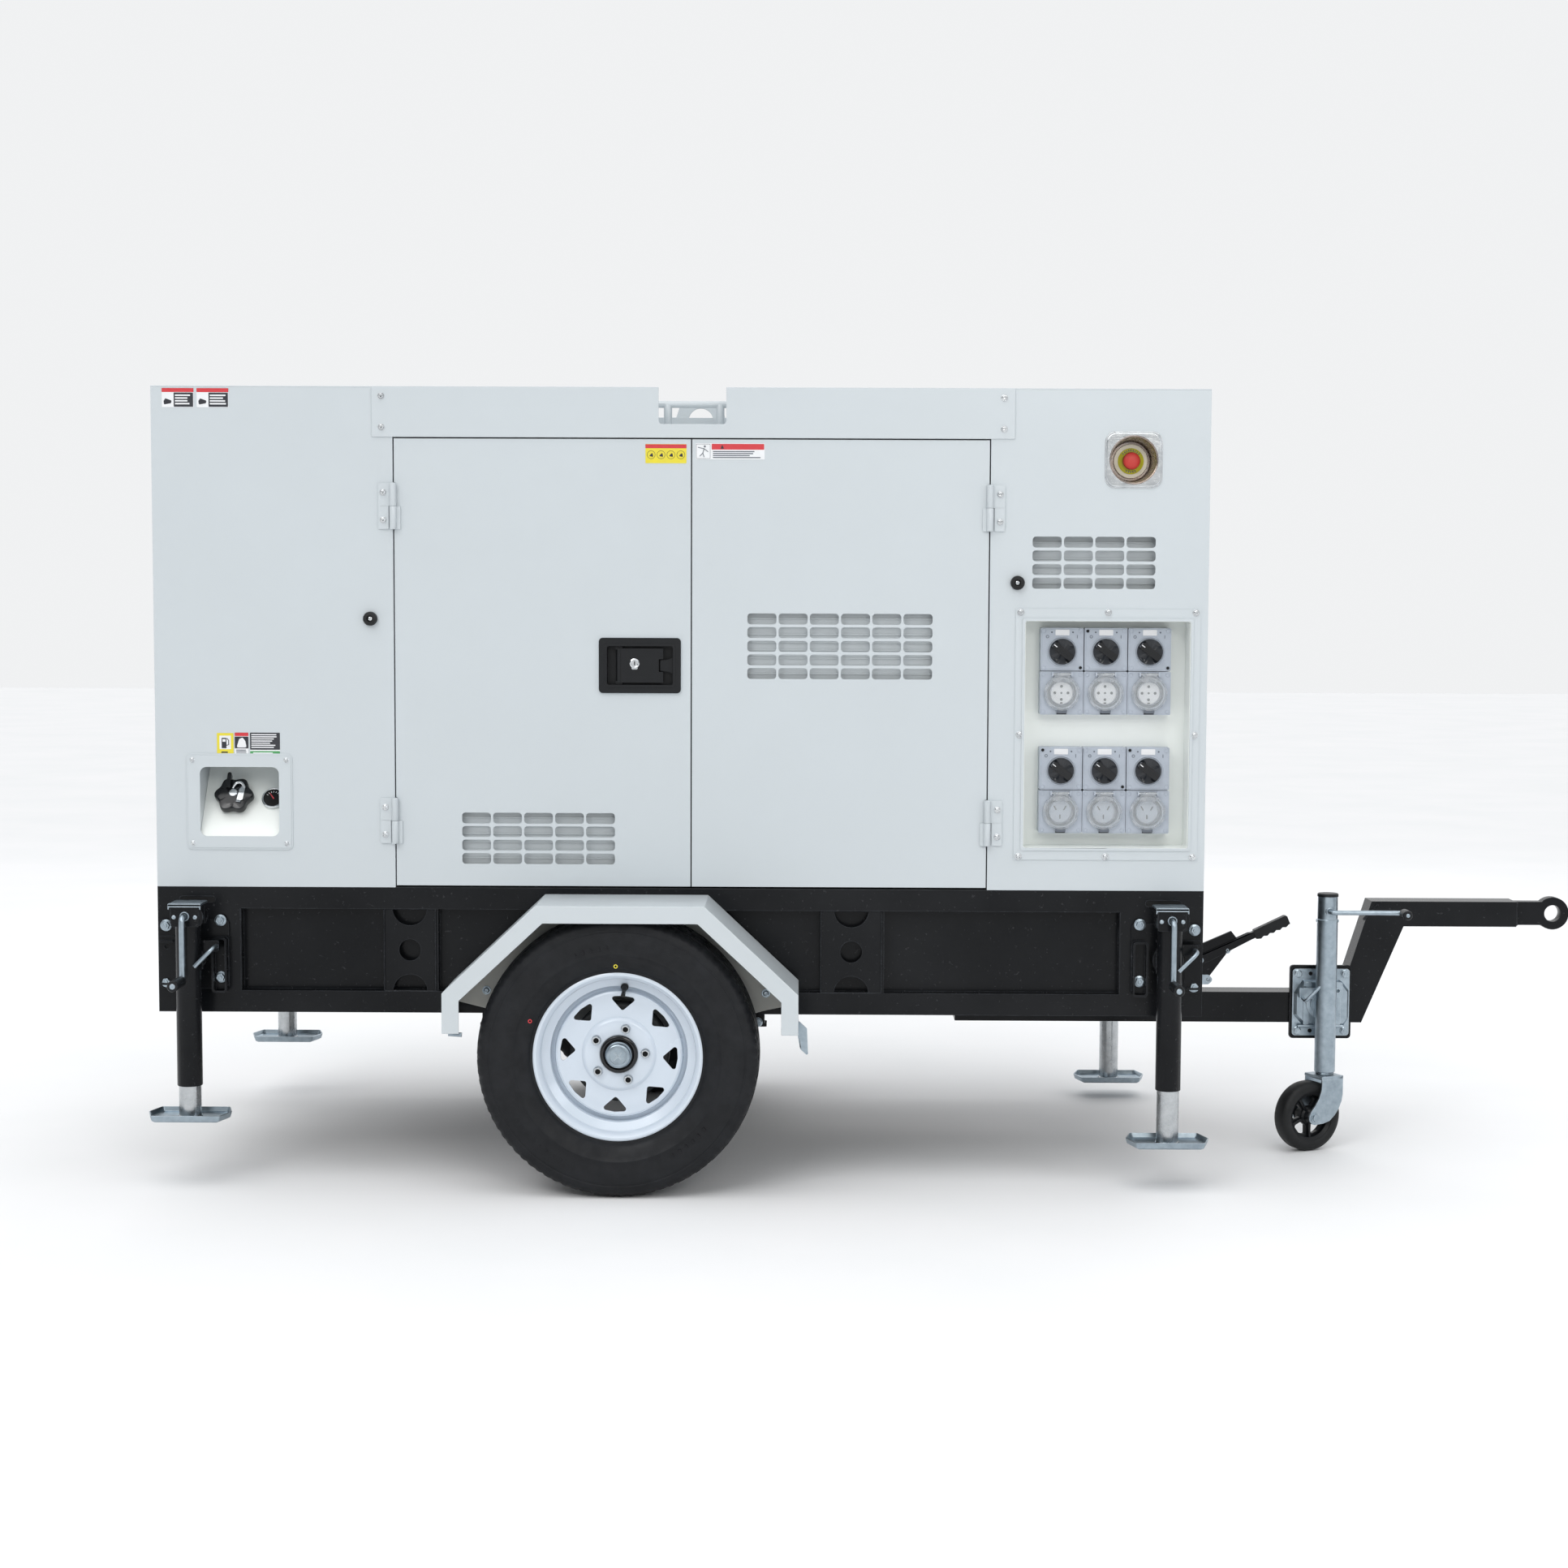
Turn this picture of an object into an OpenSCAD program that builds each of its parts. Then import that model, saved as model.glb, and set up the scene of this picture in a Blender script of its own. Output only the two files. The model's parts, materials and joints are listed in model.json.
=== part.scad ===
// Towable diesel generator: a sheet-steel canopy on a single-axle trailer frame.
// X runs forward to the tow eye, Y across the trailer, and Z up from the ground.
// The working side, with the outlets and the fuel filler, faces -Y and is called near.
// Places along X are counted from the rear face of the canopy, and placed() centres them.

/* [Canopy] */
// Length of the canopy and of the frame under it
canopy_l = 2400; // [2350:10:2700]
// Width of the canopy and of the frame under it
canopy_w = 960; // [940:10:1100]
// Height of the canopy above the frame
canopy_h = 1140; // [1130:10:1300]
// Thickness of the canopy's sheet steel
sheet = 3; // [2:0.5:4]
// Length of the fixed rear section
rear_l = 549; // [500:1:560]
// Length of the fixed front section, which holds the outlets
front_l = 498; // [490:1:540]
// Height of the header strip over the doors
header_h = 114; // [100:1:130]
// Depth of a door's folded edge
door_t = 25; // [20:1:40]
// Gap around each door
door_gap = 3; // [2:0.5:5]

/* [Frame] */
// Height of the frame's underside above the ground
frame_z = 385; // [380:1:420]
// Height of the frame
frame_h = 290; // [270:1:320]
// Side of the frame's square rails
rail = 50; // [40:1:60]
// Thickness of the frame's plates
plate = 6; // [4:1:8]
// Side of the drawbar's square tube
drawbar_w = 75; // [60:1:80]
// Distance from the canopy's front to the middle of the tow eye
eye_reach = 939; // [900:1:1000]
// Radius of the tow eye's hole
eye_r = 20.5; // [16:0.5:25]
// Thickness of the tow eye
eye_t = 30; // [20:1:40]

/* [Running gear] */
// Distance from the canopy's rear face to the axle
axle_x = 1070; // [1050:1:1090]
// Radius of the tyre, which is the height of the axle
tyre_r = 317; // [300:1:330]
// Width of the tyre
tyre_w = 185; // [165:1:195]
// Width of the mudguard outside the frame
guard_w = 225; // [225:1:250]
// Radius of the axle's stub shaft
stub_r = 20; // [16:1:24]

/* [Jacks] */
// Distance from the canopy's end to the middle of each corner jack
jack_inset = 85; // [80:1:100]
// Height of the rear near jack's foot
foot_rear_near = 150; // [20:5:190]
// Height of the rear far jack's foot
foot_rear_far = 140; // [20:5:190]
// Height of the front near jack's foot
foot_front_near = 100; // [20:5:190]
// Height of the front far jack's foot
foot_front_far = 40; // [20:5:190]
// Outer radius of the jack's tube
jack_r = 28.5; // [26:0.5:30]
// Outer radius of the jockey wheel's tube
jockey_r = 25; // [22:0.5:28]
// Radius of the jockey wheel
jockey_wheel_r = 85; // [75:1:90]

/* [Outlets] */
// Side of each switch and socket module
module_w = 100; // [90:1:105]
// Depth of the outlet recess
tray_depth = 75; // [70:1:90]
// Radius of a switch knob
knob_r = 30; // [25:1:32]

/* [Hidden] */
$fn = 48;

// Clearances
run = 0.05; // radial, a shaft turning or sliding in its own bore
air = 0.5; // between two faces that move past each other
eps = 1; // how far a cutter passes the face that it cuts

// Paint and metal colours
black_paint = "#1b1d20";
white_paint = "#dfe3e3";
zinc = "#9db0be";

// Heights and planes shared by several pieces
deck_z = frame_z + frame_h;
top_z = deck_z + canopy_h;
side_y = canopy_w / 2;
foot_w = 190;
foot_d = 110;
eye_x = canopy_l + eye_reach;
eye_outer = 40;
mid_x = (eye_x + eye_outer + jack_inset - foot_w / 2) / 2;

// Doors
door_z = deck_z + 5;
door_top = top_z - header_h - door_gap;
door_l = (canopy_l - rear_l - front_l) / 2;
split_x = rear_l + door_l;
slot_w = 66;
slot_h = 25;
slot_pitch = [71, 31];

// Hinges
hinge_h = 104;
knuckle_r = 7.5;
hinge_pin_r = 3;
hinge_out = 8;
hinge_zs = [door_z + 97, door_top - 205];

// Latch on the rear door of each side
latch_size = [187, 126];
latch_cup = [152, 90];
paddle_size = [106, 78];
latch_x = split_x - 117;
latch_z = deck_z + 511;
latch_depth = 22;
paddle_pin_r = 3;

// Wheels
rim_flange = 190;
rim_seat = 178;
rim_well = 158;
rim_half = 70;
wheel_y = side_y + 21 + tyre_w / 2;
lug_circle = 57.15;

// Corner jacks
jack_y = side_y + 65;
jack_pivot_z = deck_z - 155;
jack_head_z = deck_z - 57;
jack_tube_z = frame_z - 158;
jack_leg_l = 330;
leg_r = jack_r - 3;
jack_pin_r = 22;
jack_mount_t = 8;
pull_pin_r = 5;
crank_reach = 142;
crank_y = jack_y + 59;

// Jockey wheel
jockey_x = canopy_l + 362;
jockey_y = drawbar_w / 2 + 75;
jockey_pivot_z = frame_z - 34;
jockey_top_z = deck_z - 52;
jockey_tube_z = 190;
jockey_leg_z = 184;
jockey_leg_r = jockey_r - 2.6;
jockey_trail = 50;
castor_angle = 25; // the castor stands turned, its wheel's near side forward
fork_edge = 30;
jockey_pin_r = 18;
jockey_crank_z = deck_z - 89;
jockey_bolts = [116, 142];

// Drawbar
drawbar_top = frame_z - 12;
drawbar_x = canopy_l - 540;
neck_x = canopy_l + 466;
neck_run = 100;
upper_z = 538;
upper_h = 62;

// Outlets
tray_size = [420, 573];
tray_open = [376, 518];
tray_x = canopy_l - 227;
tray_z = deck_z + 357;
face_y = side_y - tray_depth + 38;
module_rows = [tray_z + 144, tray_z - 129];
socket_hinge = module_w / 2 - 7;
knob_drop = 5;

// Emergency stop
estop_x = canopy_l - 174;
estop_z = top_z - 160;
estop_r = 52;
estop_depth = 60;

// Fuel filler
filler_x = 192;
filler_z = deck_z + 196;
filler_open = [185, 163];
filler_depth = 112;
filler_tilt = atan(filler_depth / filler_open[1]);
filler_cap_x = filler_x - 22;
neck_r = 24;
plug_r = 18;

// Power unit
engine_x = rear_l - 99;
engine_l = canopy_l * 0.285;
crank_z = deck_z + 285;
alternator_x = engine_x + engine_l + 20;
alternator_l = canopy_l * 0.23;
fan_x = engine_x - 150;
fan_z = crank_z + 120;
fan_pin_r = 12;

// Handbrake
brake_pivot = [70, frame_z + 62];
brake_pin_r = 5;
lever_angle = 25;

// Roof notch and lifting frame
notch = [153, 83];
notch_x = split_x + 2;
well_z = top_z - 99;
lift_hole_r = 30;
lift_z = top_z - 42;

// Moves a part from the canopy's rear face to the trailer's own origin.
module placed() translate([-mid_x, 0, 0]) children();

// Repeats a near-side part on the far side.
module both_sides() {
    children();
    mirror([0, 1, 0]) children();
}

// Puts a near-side part on the side that is named.
module on_side(side) mirror([0, side == "far" ? 1 : 0, 0]) children();

// A box between two corners.
module box(low, high) translate(low) cube(high - low);

// A round bar along Y, from y0 to y1.
module bar_y(x, z, r, y0, y1) translate([x, y1, z]) rotate([90, 0, 0]) cylinder(r = r, h = y1 - y0);

// A round bar along X, from x0 to x1.
module bar_x(y, z, r, x0, x1) translate([x0, y, z]) rotate([0, 90, 0]) cylinder(r = r, h = x1 - x0);

// A plate in the XZ plane, from y0 to y1, with the outline of its 2D child.
module plate_y(y0, y1) translate([0, y1, 0]) rotate([90, 0, 0]) linear_extrude(y1 - y0) children();

// A rectangle with round corners, centred on its middle.
module rounded(size, r) {
    square([size[0] - 2 * r, size[1]], center = true);
    square([size[0], size[1] - 2 * r], center = true);
    for (x = [-1, 1], z = [-1, 1])
        translate([x * (size[0] / 2 - r), z * (size[1] / 2 - r)]) circle(r);
}

// A block of ventilation slots, centred on its middle.
module vent_slots(columns, rows) {
    for (i = [0 : columns - 1], j = [0 : rows - 1])
        translate([(i - (columns - 1) / 2) * slot_pitch[0], (j - (rows - 1) / 2) * slot_pitch[1]])
            rounded([slot_w, slot_h], 8);
}

// Frame

// A stiffener plate between the rails, with a round hole and two half-round notches.
module stiffener(x, w) {
    low = frame_z + rail;
    high = deck_z - rail;
    plate_y(-side_y + 4, -side_y + 4 + plate) difference() {
        translate([x, low - eps]) square([w, high - low + 2 * eps]);
        translate([x + w / 2, (low + high) / 2]) circle(25);
        for (z = [low - eps, high + eps]) translate([x + w / 2, z]) circle(39.5);
    }
    box([x + w, -side_y + 4, low - eps], [x + w + plate, -side_y + 41, high + eps]);
}

// The frame's side: two rails, a web set back between them, and closed ends.
module frame_side() {
    end_l = 190;
    box([0, -side_y, frame_z], [canopy_l, -side_y + rail, frame_z + rail]);
    box([0, -side_y, deck_z - rail], [canopy_l, -side_y + rail, deck_z]);
    box([0, -side_y + 34, frame_z + eps], [canopy_l, -side_y + 34 + plate, deck_z - eps]);
    for (x = [0, canopy_l - end_l])
        box([x, -side_y, frame_z + eps], [x + end_l, -side_y + plate, deck_z - eps]);
    for (x = [end_l - plate, canopy_l - end_l])
        box([x, -side_y + eps, frame_z + eps], [x + plate, -side_y + 35, deck_z - eps]);
    stiffener(520, 118);
    stiffener(canopy_l - 876, 139);
}

// The plate that carries the handbrake lever, on the frame's front face.
module handbrake_plate() {
    plate_y(-4, 4) translate([canopy_l - eps, 0]) difference() {
        polygon([[0, frame_z + 10], [85, frame_z + 8], [164, frame_z + 115],
            [148, frame_z + 135], [0, frame_z + 70]]);
        translate([brake_pivot[0] + eps, brake_pivot[1]]) circle(brake_pin_r + run);
    }
}

module chassis_frame() {
    bearers = [engine_x + 60, engine_x + engine_l - 60, alternator_x + alternator_l - 120];
    color(black_paint) placed() {
        both_sides() frame_side();
        for (x = [0, canopy_l - rail], z = [frame_z, deck_z - rail])
            box([x, -side_y + eps, z], [x + rail, side_y - eps, z + rail]);
        for (x = [0, canopy_l - plate])
            box([x, -side_y + eps, frame_z + eps], [x + plate, side_y - eps, deck_z - eps]);
        for (x = bearers)
            box([x - rail / 2, -side_y + 30, deck_z - rail], [x + rail / 2, side_y - 30, deck_z]);
        for (x = [drawbar_x + 20, engine_x + 60])
            box([x, -side_y + rail - eps, frame_z], [x + rail, side_y - rail + eps, frame_z + 30]);
        handbrake_plate();
    }
}

// Long tank between the frame's webs, with its filler pipe and the gauge in the filler box.
module fuel_tank() {
    tank_x = 260;
    tank_y = side_y - 90;
    pipe_y = -side_y + 120;
    color("#2b2e31") placed() {
        box([tank_x, -tank_y, frame_z + 30], [canopy_l - 560, tank_y, deck_z - rail - 10]);
        translate([filler_cap_x, pipe_y, frame_z + 120]) cylinder(r = 22, h = filler_z - frame_z - 160);
        bar_x(pipe_y, frame_z + 120, 22, filler_cap_x - 22, tank_x + eps);
        on_filler(filler_cap_x) difference() {
            translate([0, 0, -75]) cylinder(r = neck_r, h = 83);
            translate([0, 0, -12]) cylinder(r = plug_r + run, h = 25);
        }
        on_filler(filler_x + 66) translate([0, 0, -30]) cylinder(r = 24, h = 38);
    }
}

// Axle beam, its stub shafts, and a leaf spring each side under the frame's rails.
module axle_and_springs() {
    leaf_t = 7;
    spring_y = side_y - 25;
    beam = 50;
    leaves = [660, 520, 380];
    color("#26292c") placed() translate([axle_x, 0, tyre_r]) {
        box([-beam / 2, -wheel_y + 64, -beam / 2], [beam / 2, wheel_y - 64, beam / 2]);
        both_sides() {
            bar_y(0, 0, stub_r, -wheel_y - 30, -wheel_y + 65);
            for (i = [0 : 2]) translate([0, -spring_y, beam / 2 + (2.5 - i) * leaf_t])
                cube([leaves[i], 50, leaf_t], center = true);
            for (x = [-1, 1]) translate([x * (leaves[0] / 2 - 20), -spring_y, 0])
                box([-15, -25, beam / 2 + 3 * leaf_t], [15, 25, frame_z - tyre_r]);
            for (x = [-1, 1]) bar_y(x * 32, 15, 6, -spring_y - 32, -spring_y - 26);
        }
    }
}

// Outline of the mudguard in the XZ plane, moved inward by inset.
module guard_outline(inset) {
    slope = 0.41;
    top = deck_z - 14 - inset;
    shoulder = frame_z + 80 - slope * inset;
    half_l = 395 - inset;
    half_top = 187 - slope * inset;
    low = frame_z - 10;
    polygon([[-half_l, low], [-half_l, shoulder], [-half_top, top], [half_top, top],
        [half_l, shoulder], [half_l, low]]);
}

module mudguards() {
    lip = 38;
    skin = 3;
    color(white_paint) placed() translate([axle_x + 8, 0, 0]) both_sides() {
        plate_y(-side_y - guard_w, -side_y) difference() {
            guard_outline(0);
            translate([0, -eps]) guard_outline(skin);
        }
        plate_y(-side_y - guard_w, -side_y - guard_w + skin) difference() {
            guard_outline(1);
            translate([0, -eps]) guard_outline(lip);
        }
    }
}

// Lower tube, slanted neck, upper tube and tow eye, welded together.
module drawbar() {
    half = drawbar_w / 2;
    low = drawbar_top - drawbar_w;
    pad = 90; // half width of the pads under the frame
    pad_t = 8;
    eye_z = upper_z + upper_h / 2;
    color(black_paint) placed() difference() {
        union() {
            plate_y(-half, half) polygon([[drawbar_x, low], [neck_x, low],
                [neck_x + neck_run, upper_z], [eye_x - 95, upper_z],
                [eye_x - 95, upper_z + upper_h], [neck_x + 20, upper_z + upper_h],
                [neck_x - 51, drawbar_top], [drawbar_x, drawbar_top]]);
            for (x = [drawbar_x + 20, canopy_l - rail])
                box([x, -pad, drawbar_top], [x + rail, pad, frame_z]);
            for (x = [drawbar_x + 20, canopy_l - rail])
                translate([x + eps, -pad + eps, drawbar_top - pad_t])
                    cube([rail - 2 * eps, 2 * (pad - eps), pad_t + eps]);
            box([eye_x - 125, -eye_t / 2, upper_z + 2], [eye_x, eye_t / 2, upper_z + upper_h - 2]);
            bar_y(eye_x, eye_z, eye_outer, -eye_t / 2, eye_t / 2);
        }
        bar_y(eye_x, eye_z, eye_r, -eye_t, eye_t);
    }
}

// Swivel mount of a corner jack, bolted to the frame's end.
module jack_bracket() {
    half = 80;
    bolt = 64;
    face = -side_y - jack_mount_t;
    channel = [44, 78];
    wall = 4;
    low = jack_pivot_z - half - 6;
    box([-half, face, jack_pivot_z - half], [half, -side_y, jack_pivot_z + half]);
    bar_y(0, jack_pivot_z, jack_pin_r, -side_y - 34, face + eps);
    for (x = [-bolt, bolt], z = [-bolt, bolt]) bar_y(x, jack_pivot_z + z, 10, face - 8, face + eps);
    // channel on the plate's outer edge
    difference() {
        box([channel[0], -side_y - 30, low], [channel[1], face + eps, jack_pivot_z + 40]);
        box([channel[0] + wall, -side_y - 31, low - eps], [channel[1] - wall, face, jack_pivot_z + 41]);
    }
}

// Backing plate and swivel mount of the jockey wheel, bolted to the drawbar.
module jockey_bracket() {
    half = drawbar_w / 2;
    translate([jockey_x, 0, jockey_pivot_z]) {
        box([-76, -half - 10, -91], [76, -half, 91]);
        box([-70, -half - 16, -85], [70, -half - 9, 85]);
        for (x = [-1, 1], z = [-1, 1])
            bar_y(x * jockey_bolts[0] / 2, z * jockey_bolts[1] / 2, 10, -half - 24, -half - 15);
        bar_y(0, 0, jockey_pin_r, -half - 40, -half - 15);
    }
}

module jack_brackets() {
    color(zinc) placed() {
        both_sides() {
            translate([jack_inset, 0, 0]) jack_bracket();
            translate([canopy_l - jack_inset, 0, 0]) mirror([1, 0, 0]) jack_bracket();
        }
        jockey_bracket();
    }
}

// Canopy

// Moves a part that is drawn along +Z onto the middle of the filler box's tilted plate.
module on_filler(x)
    translate([x, -side_y + filler_depth / 2, filler_z]) rotate([90 - filler_tilt, 0, 0]) children();

// Recess for the fuel cap, with a tilted back plate and a flange on the canopy's skin.
module filler_box() {
    half = filler_open / 2;
    flange = 29;
    wall = 2;
    difference() {
        union() {
            plate_y(-side_y - wall, -side_y) translate([filler_x, filler_z])
                rounded(filler_open + [2 * flange, 2 * flange], 12);
            translate([filler_x - half[0] - wall, 0, filler_z]) rotate([90, 0, 90])
                linear_extrude(filler_open[0] + 2 * wall)
                    polygon([[-side_y, -half[1] - 3 * wall], [-side_y, half[1] + wall],
                        [-side_y + filler_depth + 4 * wall, half[1] + wall]]);
        }
        translate([filler_x - half[0], 0, filler_z]) rotate([90, 0, 90])
            linear_extrude(filler_open[0])
                polygon([[-side_y - wall - eps, -half[1]], [-side_y, -half[1]],
                    [-side_y + filler_depth, half[1]], [-side_y - wall - eps, half[1]]]);
        on_filler(filler_cap_x) cylinder(r = neck_r + air, h = 60, center = true);
        on_filler(filler_x + 66) cylinder(r = 24 + air, h = 40, center = true);
    }
}

// Side wall of a fixed section, from x0 to x1, with a folded jamb at the door's edge.
module side_wall(x0, x1, jamb_x) {
    box([x0, -side_y, deck_z], [x1, -side_y + sheet, top_z - sheet]);
    box([jamb_x, -side_y, deck_z], [jamb_x + sheet, -side_y + 40, well_z - air]);
}

module rear_canopy() {
    wall_x = rear_l - door_gap / 2;
    flange = filler_open / 2 + [2, 2];
    color(white_paint) placed() {
        difference() {
            union() {
                both_sides() side_wall(0, wall_x, wall_x - sheet);
                box([0, -side_y, deck_z], [sheet, side_y, top_z - sheet]);
            }
            translate([filler_x - flange[0], -side_y - eps, filler_z - flange[1] - 4])
                cube([2 * flange[0], sheet + 2 * eps, 2 * flange[1] + 4]);
            // louvres for the radiator's air in the rear face
            for (i = [0 : 11]) translate([-eps, -300, deck_z + 180 + i * 60])
                cube([sheet + 2 * eps, 600, 30]);
        }
        filler_box();
    }
}

// Recessed tray that holds the outlets, with a screwed flange on the canopy's skin.
module outlet_tray() {
    wall = 2;
    back = tray_open + [2 * wall, 2 * wall];
    difference() {
        union() {
            plate_y(-side_y - wall, -side_y) translate([tray_x, tray_z]) square(tray_size, center = true);
            plate_y(-side_y, -side_y + tray_depth + wall)
                translate([tray_x, tray_z]) square(back, center = true);
        }
        plate_y(-side_y - wall - eps, -side_y + tray_depth) translate([tray_x, tray_z])
            square(tray_open, center = true);
    }
}

module front_canopy() {
    wall_x = canopy_l - front_l + door_gap / 2;
    color(white_paint) placed() {
        difference() {
            union() {
                both_sides() side_wall(wall_x, canopy_l, wall_x);
                box([canopy_l - sheet, -side_y, deck_z], [canopy_l, side_y, top_z - sheet]);
            }
            plate_y(-side_y - eps, -side_y + sheet + eps) {
                translate([tray_x, tray_z]) square(tray_open + [4, 4], center = true);
                translate([tray_x - 34, deck_z + 748]) vent_slots(4, 4);
                translate([estop_x, estop_z]) circle(estop_r + 4);
            }
        }
        outlet_tray();
    }
}

// Header strip over the doors, with the notch that gives access to the lifting frame.
module header() {
    start = rear_l - 48;
    end = canopy_l - front_l + 55;
    corner = 8;
    plate_y(-side_y - sheet, -side_y) difference() {
        translate([start, top_z - header_h]) square([end - start, header_h]);
        translate([notch_x, top_z - notch[1] / 2 + corner]) rounded(notch + [0, 2 * corner], corner);
    }
}

module roof_panel() {
    start = rear_l - 48;
    end = canopy_l - front_l + 55;
    color(white_paint) placed() {
        both_sides() header();
        box([0, -side_y, top_z - sheet], [start + sheet, side_y, top_z]);
        box([end - sheet, -side_y, top_z - sheet], [canopy_l, side_y, top_z]);
        for (x = [start, end - sheet])
            box([x, -side_y + sheet, well_z], [x + sheet, side_y - sheet, top_z - eps]);
        box([start, -side_y + sheet, well_z], [end, side_y - sheet, well_z + sheet]);
        for (y = [-side_y, side_y - sheet])
            box([rear_l + air, y, well_z], [canopy_l - front_l - air, y + sheet, top_z - notch[1] - eps]);
    }
}

// Bars in the roof well, with the central lifting eye and a sling rail each side.
module lifting_frame() {
    floor_z = well_z + sheet;
    bar = 40;
    half = 260;
    post_z = top_z - 32;
    sling_y = -side_y + 90;
    color("#c9ced1") placed() difference() {
        union() {
            both_sides() {
                box([rear_l + 10, -half - bar, floor_z], [canopy_l - front_l - 10, -half, floor_z + bar]);
                for (x = [-60, 60])
                    translate([notch_x + x, sling_y, floor_z]) cylinder(r = 9.5, h = post_z - floor_z);
                bar_x(sling_y, post_z, 8, notch_x - 130, notch_x + 130);
            }
            for (x = [-130, 90]) box([notch_x + x, -half, floor_z], [notch_x + x + bar, half, floor_z + bar]);
            box([notch_x - 95, -8, floor_z], [notch_x + 95, 8, floor_z + bar]);
            plate_y(-8, 8) translate([notch_x, 0]) polygon([[-80, floor_z + eps], [80, floor_z + eps],
                [50, top_z - 5], [-50, top_z - 5]]);
        }
        bar_y(notch_x, lift_z, lift_hole_r, -20, 20);
    }
}

// Fixed half of a hinge, with its pin, for a pin at x and a leaf on the side that dir points to.
module hinge_leaf(x, z, dir) {
    half = hinge_h / 2;
    pin_y = -side_y - hinge_out;
    leaf = 34;
    leaf_t = 4;
    low = min(x, x + dir * leaf);
    lower_leaf = leaf - 10; // the leaf's lower half stands clear of the door's knuckle
    difference() {
        union() {
            translate([x, pin_y, z + half + air / 2]) cylinder(r = knuckle_r, h = half - air / 2);
            translate([low, -side_y - leaf_t, z + half + air / 2]) cube([leaf, leaf_t, half - air / 2]);
        }
        translate([x, pin_y, z]) cylinder(r = hinge_pin_r - eps, h = hinge_h + eps);
    }
    translate([x + dir * (leaf - lower_leaf / 2), -side_y - leaf_t / 2, z + (half + eps) / 2])
        cube([lower_leaf, leaf_t, half + eps], center = true);
    for (s = [0.2, 0.8]) bar_y(x + dir * 24, z + s * hinge_h, 6, -side_y - 8, -side_y - 3);
    translate([x, pin_y, z]) cylinder(r = hinge_pin_r, h = hinge_h);
}

module hinges_and_screws() {
    tray_half = tray_size / 2 - [11, 8];
    filler_half = filler_open / 2 + [15, 14];
    color(zinc) placed() {
        both_sides() {
            for (z = hinge_zs) {
                hinge_leaf(rear_l, z, -1);
                hinge_leaf(canopy_l - front_l, z, 1);
            }
            for (x = [rear_l - 26, canopy_l - front_l + 30], z = [22, 92])
                bar_y(x, top_z - z, 8, -side_y - sheet - 6, -side_y - sheet);
        }
        for (x = [-1 : 1], z = [-1 : 1]) if (x != 0 || z != 0)
            bar_y(tray_x + x * tray_half[0], tray_z + z * tray_half[1], 7, -side_y - 7, -side_y - 2);
        for (x = [-1, 1], z = [-1, 1])
            bar_y(filler_x + x * filler_half[0], filler_z + z * filler_half[1], 6, -side_y - 7, -side_y - 2);
    }
}

// Chrome bezel, deep cup and contact block of the emergency stop.
module estop_housing() {
    back = -side_y + estop_depth;
    color("#c3c8cc") placed() difference() {
        union() {
            plate_y(-side_y - 6, -side_y) translate([estop_x, estop_z]) rounded([130, 128], 24);
            bar_y(estop_x, estop_z, estop_r + 3, -side_y - eps, back + 3);
            bar_y(estop_x, estop_z, 22, back, back + 40);
        }
        difference() {
            bar_y(estop_x, estop_z, estop_r, -side_y - 10, back);
            bar_y(estop_x, estop_z, 39.5, back - 6, back + eps);
        }
        bar_y(estop_x, estop_z, 8 + run, back - 20, back + 25);
    }
}

// Doors

// Half of a hinge on the door, under the fixed half, around the fixed pin.
module door_knuckle(x, z, dir) {
    half = hinge_h / 2;
    pin_y = -side_y - hinge_out;
    difference() {
        union() {
            translate([x, pin_y, z]) cylinder(r = knuckle_r, h = half - air / 2);
            translate([min(x, x - dir * 16), pin_y + 3, z])
                cube([16, hinge_out - 2, half - air / 2]);
        }
        translate([x, pin_y, z - eps]) cylinder(r = hinge_pin_r + run, h = hinge_h);
    }
}

// A folded door pan from x0 to x1; dir points from the hinge pin to the fixed side.
module door_pan(x0, x1, hinge_x, dir) {
    low = x0 + door_gap / 2;
    high = x1 - door_gap / 2;
    difference() {
        box([low, -side_y, door_z], [high, -side_y + door_t, door_top]);
        box([low + sheet, -side_y + sheet, door_z + sheet],
            [high - sheet, -side_y + door_t + eps, door_top - sheet]);
        children();
        // the pan's corner is cut back around the pin's knuckles
        for (z = hinge_zs) translate([hinge_x, -side_y - hinge_out, z - 2])
            cylinder(r = knuckle_r + 2, h = hinge_h + 4);
    }
    for (z = hinge_zs) door_knuckle(hinge_x, z, dir);
}

module rear_door() {
    door_pan(rear_l, split_x, rear_l, -1) {
        plate_y(-side_y - eps, -side_y + sheet + eps) {
            translate([rear_l + 327, deck_z + 114]) vent_slots(5, 4);
            translate([latch_x, latch_z]) square(latch_cup + [4, 4], center = true);
        }
    }
    // black pressed cup of the latch, with the pin that its paddle turns on
    difference() {
        plate_y(-side_y - 4, -side_y + latch_depth)
            translate([latch_x, latch_z]) square(latch_cup + [4, 4], center = true);
        plate_y(-side_y - 5, -side_y + latch_depth - 2)
            translate([latch_x, latch_z]) square(latch_cup, center = true);
    }
    difference() {
        plate_y(-side_y - 4, -side_y) translate([latch_x, latch_z]) rounded(latch_size, 10);
        plate_y(-side_y - 5, -side_y + 1) translate([latch_x, latch_z]) square(latch_cup, center = true);
    }
    translate([latch_x - paddle_size[0] / 2 + 5, -side_y + 9, latch_z - latch_cup[1] / 2 - eps])
        cylinder(r = paddle_pin_r, h = latch_cup[1] + 2 * eps);
}

module front_door() {
    door_pan(split_x, canopy_l - front_l, canopy_l - front_l, 1) {
        plate_y(-side_y - eps, -side_y + sheet + eps)
            translate([split_x + 338, deck_z + 556]) vent_slots(6, 5);
    }
}

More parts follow.
